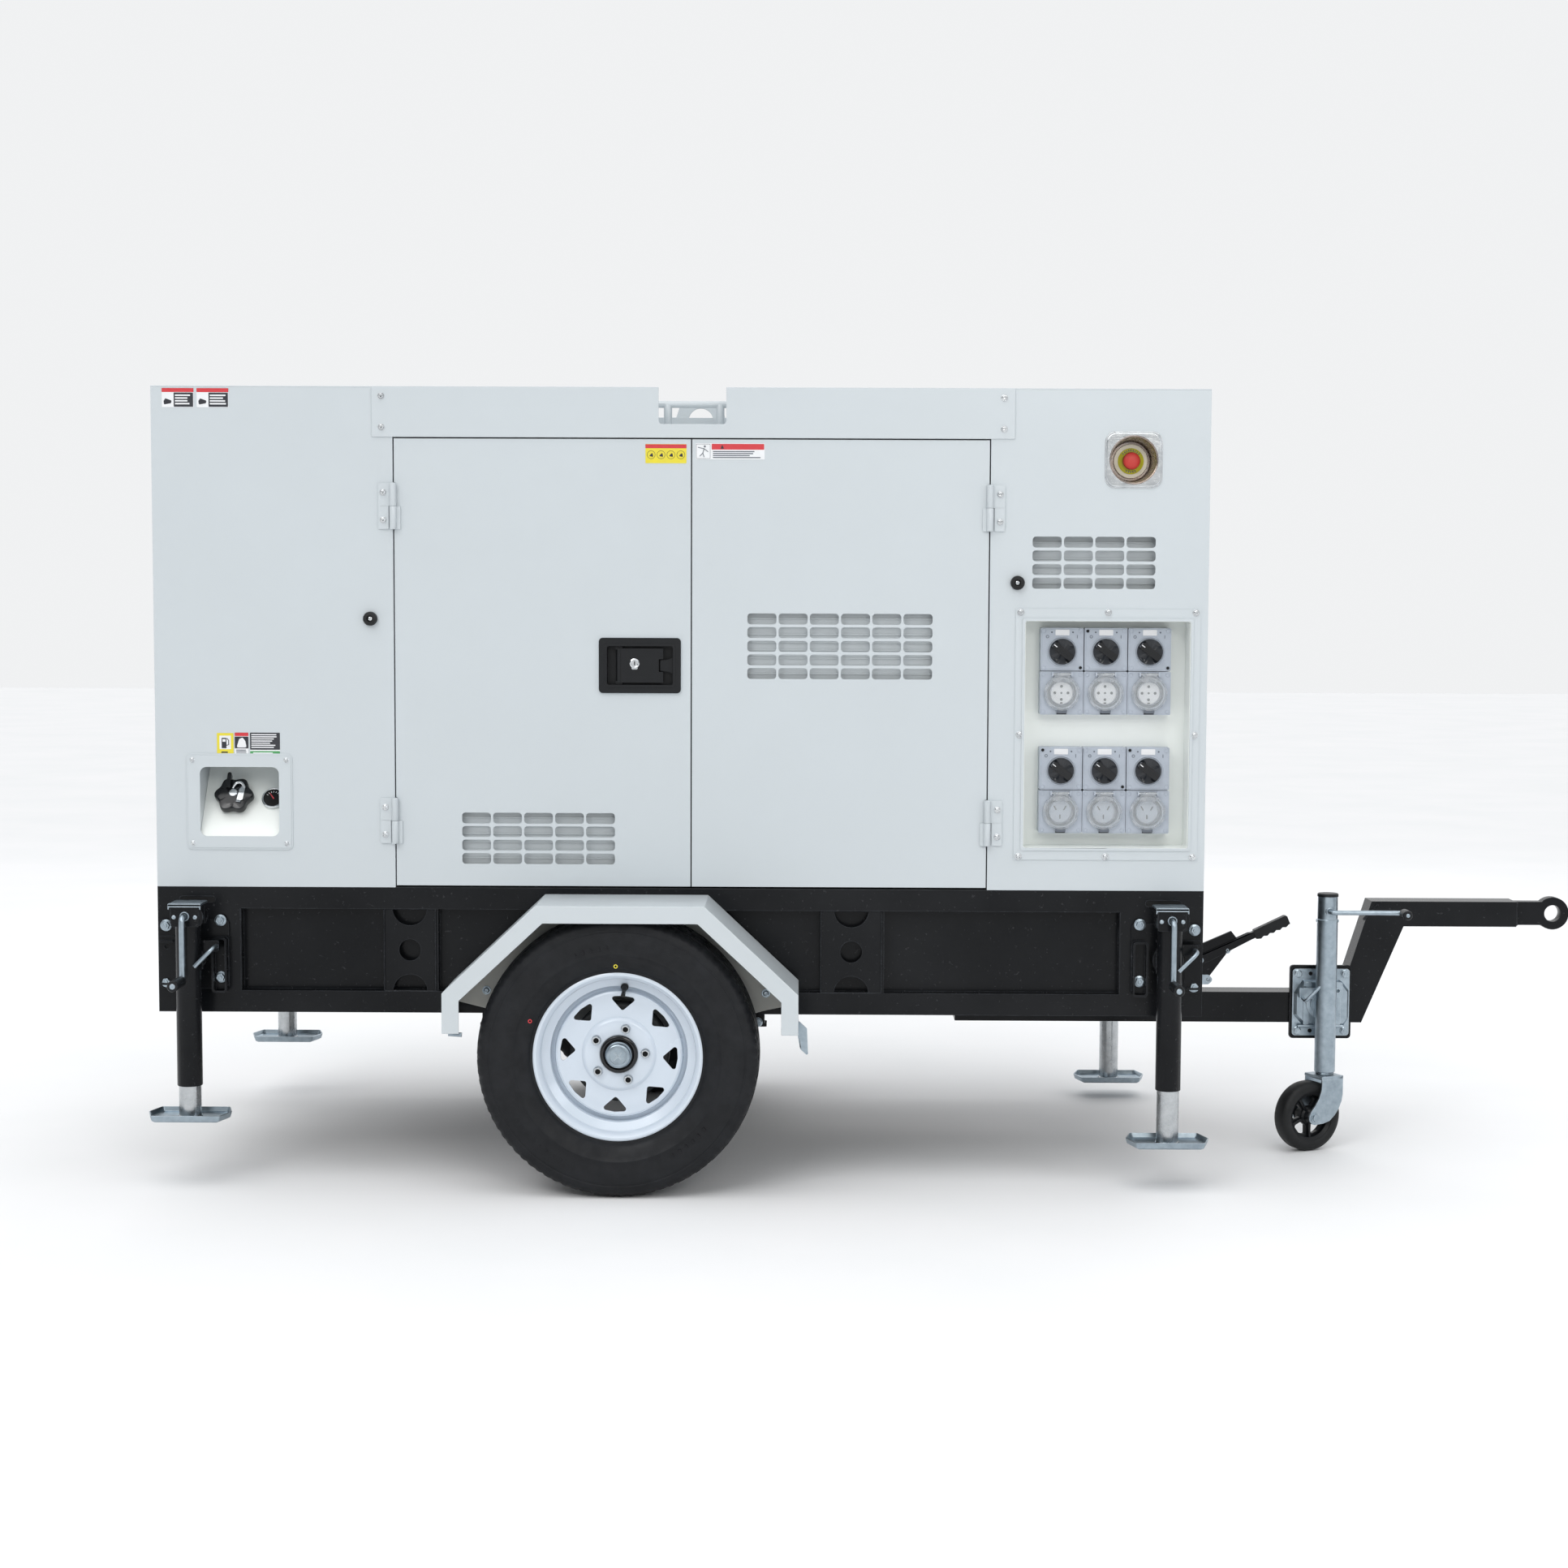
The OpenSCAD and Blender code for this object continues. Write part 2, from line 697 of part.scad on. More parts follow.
module door_rear_near() color(white_paint) placed() rear_door();
module door_front_near() color(white_paint) placed() front_door();
module door_rear_far() color(white_paint) placed() mirror([0, 1, 0]) rear_door();
module door_front_far() color(white_paint) placed() mirror([0, 1, 0]) front_door();

// Paddle of the latch: it turns about the upright pin at its left edge.
module latch_paddle() {
    half = paddle_size / 2;
    left = latch_x - half[0];
    pin = [left + 5, -side_y + 9, latch_z - half[1]];
    difference() {
        union() {
            box([pin[0], -side_y - 2, pin[2]], [latch_x + half[0], -side_y + 5, latch_z + half[1]]);
            translate(pin) cylinder(r = 7, h = paddle_size[1]);
            box([left - 2, -side_y + 1, pin[2]], [left + 12, pin[1], latch_z + half[1]]);
        }
        translate(pin - [0, 0, eps]) cylinder(r = paddle_pin_r + run, h = paddle_size[1] + 2 * eps);
        translate([latch_x + half[0], -side_y - 3, latch_z]) cube([20, 10, 28], center = true);
    }
}

module latch_near() color(black_paint) placed() latch_paddle();
module latch_far() color(black_paint) placed() mirror([0, 1, 0]) latch_paddle();

// Controls

// Middle of a module's column, 0 to 2, and its knob's and socket's heights in row 0 or 1.
function column_x(i) = tray_x + (i % 3 - 1) * module_w;
function knob_z(i) = module_rows[floor(i / 3)] + module_w / 2 - knob_drop;
function socket_z(i) = module_rows[floor(i / 3)] - module_w / 2;

// Six switches over six sockets, each with the pin or the bore that its moving piece needs.
module outlet_modules() {
    gap = 0.4;
    half = module_w / 2 - gap;
    back = -side_y + tray_depth;
    color("#b3bac4") placed() for (i = [0 : 5]) {
        x = column_x(i);
        difference() {
            box([x - half, -face_y, socket_z(i) - half], [x + half, back, knob_z(i) + knob_drop + half]);
            // joint between the switch and the socket
            translate([x - half - eps, -face_y - eps, socket_z(i) + half])
                cube([2 * (half + eps), 6 + eps, 2 * gap]);
            bar_y(x, knob_z(i), 5 + run, -face_y - eps, -face_y + 20);
            bar_y(x, socket_z(i), 34, -face_y - eps, -face_y + 22);
        }
        difference() {
            bar_y(x, socket_z(i), 37, -face_y - 4, -face_y + eps);
            bar_y(x, socket_z(i), 34, -face_y - 5, -face_y + 2 * eps);
        }
        bar_y(x, socket_z(i), 26, -face_y + 4, -face_y + 23);
        for (s = [-1, 1]) translate([x + s * 22, -face_y - 5, socket_z(i) + socket_hinge])
            cube([4, 14, 9], center = true);
        bar_x(-face_y - 8, socket_z(i) + socket_hinge, 2, x - 22, x + 22);
    }
}

// Rotary switch knob with its grip bar; the bar points up and left when off.
module switch_knob(i) {
    color(black_paint) placed() translate([column_x(i), 0, knob_z(i)]) {
        bar_y(0, 0, 5, -face_y - 4, -face_y + 15);
        bar_y(0, 0, knob_r, -face_y - 12, -face_y - 2);
        rotate([0, 45, 0]) box([-knob_r + 1.5, -face_y - 25, -7], [knob_r - 1.5, -face_y - 11, 7]);
    }
}

// Clear spring-less cover of a socket, hinged at its top edge.
module socket_flap(i) {
    hinge_y = -face_y - 8;
    top = socket_hinge;
    color("#ccd6dc", 0.5) placed() translate([column_x(i), 0, socket_z(i)]) difference() {
        union() {
            bar_y(0, 0, 41, hinge_y - 5, hinge_y + 2);
            bar_x(hinge_y, top, 4.5, -19, 19);
            box([-17, hinge_y - 5, 20], [17, hinge_y - 1, top]);
            box([-9, hinge_y - 5, -46], [9, hinge_y + 2, -30]);
        }
        bar_x(hinge_y, top, 2 + run, -30, 30);
        bar_y(0, 0, 37.5, hinge_y - 2, hinge_y + 4);
        box([-25, hinge_y + 0.5, 20], [25, hinge_y + 4, top - 4.4]);
    }
}

module estop_button() {
    back = -side_y + estop_depth;
    color("#d8453a") placed() {
        bar_y(estop_x, estop_z, 8, back - 16, back + 12);
        bar_y(estop_x, estop_z, 20, back - 30, back - 15);
    }
}

// Lobed fuel cap with the plug that turns in the filler neck.
module fuel_cap() {
    color(black_paint) placed() on_filler(filler_cap_x) {
        translate([0, 0, -8]) cylinder(r = plug_r, h = 20);
        translate([0, 0, 10]) cylinder(r = 38, h = 22);
        for (a = [0 : 60 : 300]) rotate(a) translate([35, 0, 10]) cylinder(r = 10, h = 22);
    }
}

// Power unit

module engine() {
    mount_h = 40;
    color("#3f5a48") placed() {
        // crankcase, sump, head and rocker cover
        box([engine_x, -150, crank_z - 60], [engine_x + engine_l, 150, crank_z + 250]);
        box([engine_x + 40, -110, deck_z + 60], [engine_x + engine_l - 120, 110, crank_z - 59]);
        box([engine_x + 30, -95, crank_z + 249], [engine_x + engine_l - 90, 115, crank_z + 360]);
        box([engine_x + 50, -60, crank_z + 359], [engine_x + engine_l - 110, 60, crank_z + 420]);
        // flywheel housing, pulley and fan shaft
        bar_x(0, crank_z, 208, engine_x + engine_l - 110, engine_x + engine_l + 20);
        bar_x(0, crank_z, 85, engine_x - 45, engine_x + eps);
        bar_x(0, fan_z, fan_pin_r, fan_x + 6, engine_x + eps);
        // starter motor, fuel filter and oil filter
        bar_x(-190, crank_z + 20, 42, engine_x + engine_l - 330, engine_x + engine_l - 80);
        translate([engine_x + 160, -190, crank_z + 60]) cylinder(r = 45, h = 130);
        box([engine_x + 130, -180, crank_z + 190], [engine_x + 190, -140, crank_z + 230]);
        // feet on the frame's bearers
        for (x = [engine_x + 60, engine_x + engine_l - 60], y = [-220, 140])
            box([x - 40, y, deck_z], [x + 40, y + 80, deck_z + mount_h]);
        for (x = [engine_x + 60, engine_x + engine_l - 60])
            box([x - 30, -210, deck_z + mount_h - eps], [x + 30, 210, deck_z + mount_h + 30]);
        for (x = [engine_x + 60, engine_x + engine_l - 60], y = [-148, 118])
            box([x - 20, y, deck_z + mount_h + 29], [x + 20, y + 30, crank_z - 59]);
    }
}

module alternator() {
    end = alternator_x + alternator_l;
    color("#4a5157") placed() {
        bar_x(0, crank_z, 205, alternator_x, end - 60);
        bar_x(0, crank_z, 180, end - 61, end);
        for (x = [alternator_x + 60, end - 160])
            box([x, -170, deck_z], [x + 80, 170, crank_z - 80]);
        box([alternator_x + 120, -150, crank_z + 150], [end - 120, 150, crank_z + 330]);
    }
}

// Core, tanks and stand of the radiator, with the guard ring around the fan.
module radiator() {
    half = 330;
    x = engine_x - 290;
    color("#2e3235") placed() {
        box([x, -half, deck_z + 120], [x + 70, half, crank_z + 560]);
        box([x - 10, -half, crank_z + 559], [x + 80, half, crank_z + 640]);
        box([x - 10, -half, deck_z + 60], [x + 80, half, deck_z + 121]);
        // feet on the frame's rails, the near one clear of the tank's filler pipe
        for (y = [-half - 5, half - 75]) box([x, y, deck_z], [x + 70, y + 80, deck_z + 61]);
        difference() {
            bar_x(0, fan_z, 265, x + 69, x + 130);
            bar_x(0, fan_z, 255, x + 71, x + 131);
        }
    }
}

module cooling_fan() {
    color("#1d1f22") placed() translate([fan_x, 0, fan_z]) difference() {
        union() {
            bar_x(0, 0, 55, 0, 50);
            for (a = [0 : 60 : 300]) rotate([a, 0, 0]) translate([25, 0, 0]) rotate([0, 0, 30])
                box([-3, -45, 30], [3, 45, 235]);
        }
        bar_x(0, 0, fan_pin_r + run, 5, 60);
    }
}

// Silencer over the engine, with its inlet from the manifold and its tail pipe.
module muffler() {
    y = 150;
    z = top_z - header_h - 160;
    color("#8d8f90") placed() {
        bar_x(y, z, 95, engine_x + 120, engine_x + engine_l);
        bar_x(y, z, 30, engine_x - 150, engine_x + 121);
        translate([engine_x + engine_l - 160, y + 40, crank_z + 300]) cylinder(r = 30, h = z - crank_z - 340);
        bar_y(engine_x + engine_l - 160, crank_z + 310, 30, 115, y + 40);
    }
}

// Wheels

// Turns a part drawn about +Z so that +Z points away from the trailer on the near side.
module on_axle() placed() translate([axle_x, -wheel_y, tyre_r]) rotate([90, 0, 0]) children();

// Steel rim with its windows, and the drum, hub, nuts and dust cap that turn with it.
module rim() {
    wall = 4;
    disc_z = 24;
    difference() {
        union() {
            rotate_extrude() polygon([[rim_flange, rim_half], [rim_flange, rim_half - wall],
                [rim_seat, rim_half - wall], [rim_seat, rim_half - 26], [rim_well, rim_half - 40],
                [rim_well, -rim_half + 40], [rim_seat, -rim_half + 26], [rim_seat, -rim_half + wall],
                [rim_flange, -rim_half + wall], [rim_flange, -rim_half], [rim_seat - wall, -rim_half],
                [rim_seat - wall, -rim_half + 28], [rim_well - wall, -rim_half + 42],
                [rim_well - wall, rim_half - 42], [rim_seat - wall, rim_half - 28],
                [rim_seat - wall, rim_half]]);
            translate([0, 0, disc_z]) cylinder(r = rim_well - wall + eps, h = 6);
            translate([0, 0, -30]) cylinder(r = 84, h = disc_z + 31);
            cylinder(r = 42, h = 42);
            cylinder(r = 27, h = 60);
            for (a = [0 : 72 : 288])
                rotate(a + 75) translate([lug_circle, 0, disc_z]) cylinder(r = 11, h = 20);
        }
        for (a = [0 : 45 : 315]) rotate(a - 4) translate([0, 0, disc_z - eps]) linear_extrude(10)
            polygon([[-10, 97], [10, 97], [28, 128], [-28, 128]]);
        translate([0, 0, -31]) cylinder(r = stub_r + run, h = 62);
    }
}

// Hollow tyre, seated on the rim.
module tyre() {
    half = tyre_w / 2;
    seat = rim_seat + 0.2;
    bead = rim_half - 4.2;
    outer = [[seat, bead], [rim_flange + air, bead], [rim_flange + 4, bead + 2], [rim_flange + 60, half],
        [tyre_r - 28, half - 5], [tyre_r - 9, half - 20], [tyre_r, half - 38]];
    inner = [[tyre_r - 13, half - 42], [tyre_r - 32, half - 20], [rim_flange + 60, half - 12],
        [rim_flange + 6, bead - 12], [seat, bead - 14]];
    flip = [for (p = outer) [p[0], -p[1]]];
    rotate_extrude() polygon(concat(outer, [for (i = [6 : -1 : 0]) flip[i]],
        [for (i = [4 : -1 : 0]) [inner[i][0], -inner[i][1]]], inner));
}

module wheel_near_rim() color(white_paint) on_axle() rim();
module wheel_near_tyre() color("#1f2022") on_axle() tyre();
module wheel_far_rim() color(white_paint) mirror([0, 1, 0]) on_axle() rim();
module wheel_far_tyre() color("#1f2022") mirror([0, 1, 0]) on_axle() tyre();

// Corner jacks

// Puts a jack piece, drawn for the rear near corner, at a named corner.
module at_corner(corner) {
    front = corner >= 2;
    on_side(corner % 2 == 1 ? "far" : "near") placed()
        translate([front ? canopy_l - jack_inset : jack_inset, 0, 0]) children();
}

// Outer tube with its gear head, cap and swivel boss, and the pull pin that locks it.
module jack_tube() {
    head = [63, 64, 47];
    pin = [60, jack_pivot_z + 24];
    color(black_paint) difference() {
        union() {
            translate([0, -jack_y, jack_tube_z]) cylinder(r = jack_r, h = jack_head_z - jack_tube_z);
            translate([0, -jack_y, jack_head_z]) cube(head, center = true);
            translate([0, -jack_y, jack_head_z + head[2] / 2 + 3]) cube([74, 72, 6], center = true);
            bar_y(0, jack_pivot_z, 36, -jack_y + 20, -side_y - jack_mount_t - 3);
            // lug and bent pull pin that lock the jack upright or folded
            translate([47, -jack_y + 20, pin[1]]) cube([36, 12, 26], center = true);
            bar_y(pin[0], pin[1], pull_pin_r, -jack_y - 26, -side_y - 34);
            translate([pin[0] - 21, -jack_y - 22, pin[1] - 21]) rotate([0, 45, 0])
                cylinder(r = pull_pin_r, h = 60, center = true);
        }
        translate([0, -jack_y, jack_tube_z - eps])
            cylinder(r = leg_r + run, h = jack_head_z - jack_tube_z - 30);
        bar_y(0, jack_head_z, 8 + run, -jack_y - 33, -jack_y - 5);
        bar_y(0, jack_pivot_z, jack_pin_r + run, -side_y - 35, -side_y);
    }
}

// Inner leg with its foot plate, whose ends are turned up.
module jack_leg(foot_z) {
    wall = 4;
    rim = 16;
    color(zinc) translate([0, -jack_y, foot_z]) {
        difference() {
            translate([0, 0, wall]) cylinder(r = leg_r, h = jack_leg_l - wall);
            translate([0, 0, 40]) cylinder(r = leg_r - wall, h = jack_leg_l);
        }
        translate([-foot_w / 2, -foot_d / 2, 0]) cube([foot_w, foot_d, wall + 2]);
        for (x = [-foot_w / 2, foot_w / 2 - wall]) translate([x, -foot_d / 2, 0]) cube([wall, foot_d, rim]);
    }
}

// Crank of the gear head: shaft, arm hanging down, and a loose-fitting grip.
module jack_crank() {
    color(zinc) {
        bar_y(0, jack_head_z, 8, -crank_y - 8, -jack_y - 8);
        translate([0, -crank_y, jack_head_z - crank_reach]) cylinder(r = 7, h = crank_reach);
        bar_y(0, jack_head_z - crank_reach, 13, -side_y - guard_w + 8, -crank_y + 8);
    }
}

module jack_rear_near_tube() at_corner(0) jack_tube();
module jack_rear_near_leg() at_corner(0) jack_leg(foot_rear_near);
module jack_rear_near_crank() at_corner(0) jack_crank();
module jack_rear_far_tube() at_corner(1) jack_tube();
module jack_rear_far_leg() at_corner(1) jack_leg(foot_rear_far);
module jack_rear_far_crank() at_corner(1) jack_crank();
module jack_front_near_tube() at_corner(2) jack_tube();
module jack_front_near_leg() at_corner(2) jack_leg(foot_front_near);
module jack_front_near_crank() at_corner(2) jack_crank();
module jack_front_far_tube() at_corner(3) jack_tube();
module jack_front_far_leg() at_corner(3) jack_leg(foot_front_far);
module jack_front_far_crank() at_corner(3) jack_crank();

// Jockey wheel

module jockey_tube() {
    color(zinc) placed() difference() {
        union() {
            translate([jockey_x, -jockey_y, jockey_tube_z])
                cylinder(r = jockey_r, h = jockey_top_z - jockey_tube_z);
            bar_y(jockey_x, jockey_pivot_z, 40, -jockey_y + 15, -drawbar_w / 2 - 19);
            translate([jockey_x, -jockey_y, jockey_top_z - eps]) cylinder(r = jockey_r + 1.5, h = 7);
            // lug with the bent pull pin
            translate([jockey_x - 38, -jockey_y + 28, jockey_pivot_z + 26]) cube([40, 12, 26], center = true);
            bar_y(jockey_x - 44, jockey_pivot_z + 26, pull_pin_r, -jockey_y - 14, -drawbar_w / 2 - 28);
            translate([jockey_x - 34, -jockey_y - 12, jockey_pivot_z + 36]) rotate([0, 45, 0])
                cylinder(r = pull_pin_r, h = 46, center = true);
        }
        translate([jockey_x, -jockey_y, jockey_tube_z - eps]) cylinder(r = jockey_leg_r + run, h = 350);
        bar_y(jockey_x, jockey_crank_z, 6 + run, -jockey_y - 30, -jockey_y + 15);
        bar_y(jockey_x, jockey_pivot_z, jockey_pin_r + run, -drawbar_w / 2 - 41, 0);
    }
}

module jockey_leg() {
    color(zinc) placed() translate([jockey_x, -jockey_y, jockey_leg_z]) difference() {
        cylinder(r = jockey_leg_r, h = 330);
        translate([0, 0, -eps]) cylinder(r = 12 + run, h = 42);
        translate([0, 0, 60]) cylinder(r = jockey_leg_r - 4, h = 300);
    }
}

// Castor fork with the stem that turns in the leg and the pin that the wheel turns on.
module jockey_fork() {
    drop = jockey_leg_z - jockey_wheel_r;
    half = 35;
    wall = 4;
    back = -80;
    color(zinc) placed() translate([jockey_x, -jockey_y, 0]) rotate(castor_angle) {
        translate([0, 0, jockey_leg_z - 4]) cylinder(r = 12, h = 44);
        box([back, -half, jockey_leg_z - 8], [fork_edge, half, jockey_leg_z - air]);
        for (y = [-half, half - wall]) plate_y(y, y + wall) translate([0, jockey_wheel_r])
            polygon([[fork_edge, drop - 1], [fork_edge, drop - 30], [-jockey_trail + 16, -16],
                [-jockey_trail - 16, -16], [-jockey_trail - 26, 20], [back, drop - 1]]);
        bar_y(-jockey_trail, jockey_wheel_r, 6, -half - 5, half + 5);
    }
}

// Solid wheel with five openings between its spokes.
module jockey_wheel() {
    color("#232527") placed() translate([jockey_x, -jockey_y, jockey_wheel_r]) rotate(castor_angle)
        translate([-jockey_trail, 0, 0]) rotate([90, 0, 0]) difference() {
            union() {
                rotate_extrude() polygon([[60, -24], [jockey_wheel_r - 4, -24], [jockey_wheel_r, -18],
                    [jockey_wheel_r, 18], [jockey_wheel_r - 4, 24], [60, 24]]);
                cylinder(r = 61, h = 16, center = true);
                cylinder(r = 17, h = 56, center = true);
            }
            cylinder(r = 6 + run, h = 80, center = true);
            for (a = [0 : 72 : 288]) rotate(a) linear_extrude(30, center = true)
                polygon([[-8, 22], [8, 22], [24, 52], [-24, 52]]);
        }
}

module jockey_crank() {
    reach = 173;
    y = -jockey_y - 45;
    color(zinc) placed() translate([jockey_x, 0, jockey_crank_z]) {
        bar_y(0, 0, 6, y - 7, -jockey_y + 10);
        bar_x(y, 0, 6, 0, reach);
        bar_y(reach, 0, 12, y - 52, y + 8);
    }
}

// Handbrake lever: two cheeks around the frame's plate, a bar and a grip.
module handbrake_lever() {
    color(black_paint) placed() translate([canopy_l + brake_pivot[0], 0, brake_pivot[1]]) {
        bar_y(0, 0, brake_pin_r, -10, 10);
        rotate([0, -lever_angle, 0]) {
            for (y = [-9, 5]) box([-14, y, -12], [136, y + 4, 12]);
            box([116, -9, -12], [136, 9, 12]);
            box([135, -7, -8], [170, 7, 12]);
            box([150, -11, -12], [240, 11, 14]);
        }
    }
}

chassis_frame();
fuel_tank();
axle_and_springs();
mudguards();
drawbar();
jack_brackets();
rear_canopy();
front_canopy();
roof_panel();
lifting_frame();
hinges_and_screws();
estop_housing();
outlet_modules();
engine();
alternator();
radiator();
muffler();
wheel_near_rim();
wheel_near_tyre();
wheel_far_rim();
wheel_far_tyre();
jack_rear_near_tube();
jack_rear_near_leg();
jack_rear_near_crank();
jack_rear_far_tube();
jack_rear_far_leg();
jack_rear_far_crank();
jack_front_near_tube();
jack_front_near_leg();
jack_front_near_crank();
jack_front_far_tube();
jack_front_far_leg();
jack_front_far_crank();
jockey_tube();
jockey_leg();
jockey_fork();
jockey_wheel();
jockey_crank();
handbrake_lever();
door_rear_near();
door_front_near();
door_rear_far();
door_front_far();
latch_near();
latch_far();
estop_button();
fuel_cap();
cooling_fan();
switch_knob(0);  // switch_knob_1
switch_knob(1);  // switch_knob_2
switch_knob(2);  // switch_knob_3
switch_knob(3);  // switch_knob_4
switch_knob(4);  // switch_knob_5
switch_knob(5);  // switch_knob_6
socket_flap(0);  // socket_flap_1
socket_flap(1);  // socket_flap_2
socket_flap(2);  // socket_flap_3
socket_flap(3);  // socket_flap_4
socket_flap(4);  // socket_flap_5
socket_flap(5);  // socket_flap_6
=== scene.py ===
"""Looks of a towable diesel generator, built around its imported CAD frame.

Every class below dresses one sub-assembly. Sizes are in millimetres from an anchor that the frame gives,
and each finished mesh is in metres in the frame's own axes: X towards the tow eye, -Y the working side, Z up.
"""

import json
import logging
import math
import random
from dataclasses import dataclass
from enum import Enum
from typing import Callable, Iterable, Optional, Sequence

import bmesh
import bpy
from bpy.types import Material, Node, NodeSocket, NodeTree, Object
from mathutils import Matrix, Vector
from mathutils.geometry import tessellate_polygon

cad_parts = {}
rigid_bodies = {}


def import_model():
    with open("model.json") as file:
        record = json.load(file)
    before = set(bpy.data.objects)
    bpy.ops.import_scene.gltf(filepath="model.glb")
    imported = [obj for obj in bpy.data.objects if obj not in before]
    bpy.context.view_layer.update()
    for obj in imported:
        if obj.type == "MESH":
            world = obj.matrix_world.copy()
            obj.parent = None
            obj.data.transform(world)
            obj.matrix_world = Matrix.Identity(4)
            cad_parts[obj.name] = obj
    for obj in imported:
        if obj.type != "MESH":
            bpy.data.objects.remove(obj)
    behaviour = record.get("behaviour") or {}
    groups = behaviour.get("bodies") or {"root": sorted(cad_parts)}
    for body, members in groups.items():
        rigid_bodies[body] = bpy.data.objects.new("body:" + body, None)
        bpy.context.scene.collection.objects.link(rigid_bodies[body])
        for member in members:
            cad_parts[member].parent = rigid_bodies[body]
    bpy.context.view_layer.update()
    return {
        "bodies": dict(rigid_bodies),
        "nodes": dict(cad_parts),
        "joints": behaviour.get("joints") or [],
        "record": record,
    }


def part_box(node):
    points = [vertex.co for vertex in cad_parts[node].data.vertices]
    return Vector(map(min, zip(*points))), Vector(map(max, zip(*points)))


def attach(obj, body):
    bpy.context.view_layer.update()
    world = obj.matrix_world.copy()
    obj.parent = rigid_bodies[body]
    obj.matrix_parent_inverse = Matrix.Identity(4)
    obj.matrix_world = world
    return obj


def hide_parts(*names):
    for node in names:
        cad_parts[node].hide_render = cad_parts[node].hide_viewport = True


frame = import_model()

LOG = logging.getLogger("generator")
MM = 0.001

Point2 = tuple[float, float]
Point3 = tuple[float, float, float]
Colour = tuple[float, float, float, float]

OUT = Vector((0, -1, 0))
UP = Vector((0, 0, 1))
FORWARD = Vector((1, 0, 0))


class Side(Enum):
    """The two long sides of the trailer."""

    NEAR = "near"
    FAR = "far"


# Colour and material tools


def linear(code: str) -> Colour:
    """Turns an sRGB hex colour into the linear colour that a shader takes.

    Args:
        code: six hex digits after a hash.

    Returns:
        Red, green, blue and an alpha of one.
    """
    parts = [int(code[i:i + 2], 16) / 255 for i in (1, 3, 5)]
    red, green, blue = (c / 12.92 if c <= 0.04045 else ((c + 0.055) / 1.055) ** 2.4 for c in parts)
    return (red, green, blue, 1.0)


def add_node(tree: NodeTree, kind: str, settings: Optional[dict] = None,
             inputs: Optional[dict] = None) -> Node:
    """Adds one node, sets it up and links it.

    Args:
        tree: the node tree that takes it.
        kind: the node's type name, without its ShaderNode prefix.
        settings: attribute names and their values.
        inputs: socket names or numbers, each with a value or with the output that feeds it.

    Returns:
        The new node.
    """
    node = tree.nodes.new("ShaderNode" + kind)
    for key, value in (settings or {}).items():
        setattr(node, key, value)
    for key, value in (inputs or {}).items():
        if isinstance(value, NodeSocket):
            tree.links.new(value, node.inputs[key])
        else:
            node.inputs[key].default_value = value
    return node


def place(tree: NodeTree) -> NodeSocket:
    """Adds the object's own coordinates, in metres, so a pattern stays fixed to its piece."""
    return add_node(tree, "TexCoord").outputs["Object"]


def waves(tree: NodeTree, size_mm: float, detail: float = 2.0,
          stretch: Point3 = (1, 1, 1)) -> NodeSocket:
    """Adds noise whose lumps have a real size.

    Args:
        tree: the node tree.
        size_mm: width of one lump in millimetres.
        detail: how many finer layers the noise has.
        stretch: how much finer the noise is along each axis.

    Returns:
        The noise value, about 0.5 on average.
    """
    scaled = add_node(tree, "Mapping", None, {"Vector": place(tree), "Scale": stretch})
    noise = add_node(tree, "TexNoise", None, {
        "Vector": scaled.outputs[0], "Scale": 1 / (size_mm * MM), "Detail": detail, "Roughness": 0.55})
    return noise.outputs[0]


def spread(tree: NodeTree, value: NodeSocket, low: float, high: float,
           start: float = 0.3, end: float = 0.7) -> NodeSocket:
    """Maps a value from start..end to low..high, held at both ends.

    Args:
        tree: the node tree.
        value: the value to map.
        low: result at start.
        high: result at end.
        start: where the slope begins.
        end: where the slope ends.

    Returns:
        The mapped value.
    """
    node = add_node(tree, "MapRange", {"clamp": True}, {
        "Value": value, "From Min": start, "From Max": end, "To Min": low, "To Max": high})
    return node.outputs[0]


def blend_colour(tree: NodeTree, share: NodeSocket, first: object,
                 second: object) -> NodeSocket:
    """Mixes two colours.

    Args:
        tree: the node tree.
        share: 0 for the first colour and 1 for the second.
        first: a colour or a socket.
        second: a colour or a socket.

    Returns:
        The mixed colour.
    """
    node = add_node(tree, "Mix", {"data_type": "RGBA"}, {0: share, 6: first, 7: second})
    return node.outputs[2]


def worn_edges(tree: NodeTree, width_mm: float) -> NodeSocket:
    """Finds sharp edges by comparing the true normal with a rounded one.

    Args:
        tree: the node tree.
        width_mm: how far from the edge the wear reaches.

    Returns:
        0 on flat faces and up to 1 on an edge.
    """
    rounded = add_node(tree, "Bevel", {"samples": 4}, {"Radius": width_mm * MM})
    true = add_node(tree, "NewGeometry")
    dot = add_node(tree, "VectorMath", {"operation": "DOT_PRODUCT"},
                   {0: rounded.outputs[0], 1: true.outputs["Normal"]})
    return spread(tree, dot.outputs["Value"], 1.0, 0.0, 0.80, 0.995)


def bump(tree: NodeTree, height: NodeSocket, depth_mm: float,
         strength: float = 1.0) -> NodeSocket:
    """Adds relief of a real depth.

    Args:
        tree: the node tree.
        height: the height pattern, 0 to 1.
        depth_mm: height of the relief in millimetres.
        strength: share of the relief that shows.

    Returns:
        The bumped normal.
    """
    node = add_node(tree, "Bump", None, {
        "Height": height, "Distance": depth_mm * MM, "Strength": strength})
    return node.outputs[0]


def surface(tree: NodeTree, inputs: dict) -> None:
    """Adds the main shader with its inputs, and the output.

    Args:
        tree: the node tree.
        inputs: the shader's sockets and their values.
    """
    shader = add_node(tree, "BsdfPrincipled", None, inputs)
    add_node(tree, "OutputMaterial", None, {"Surface": shader.outputs[0]})


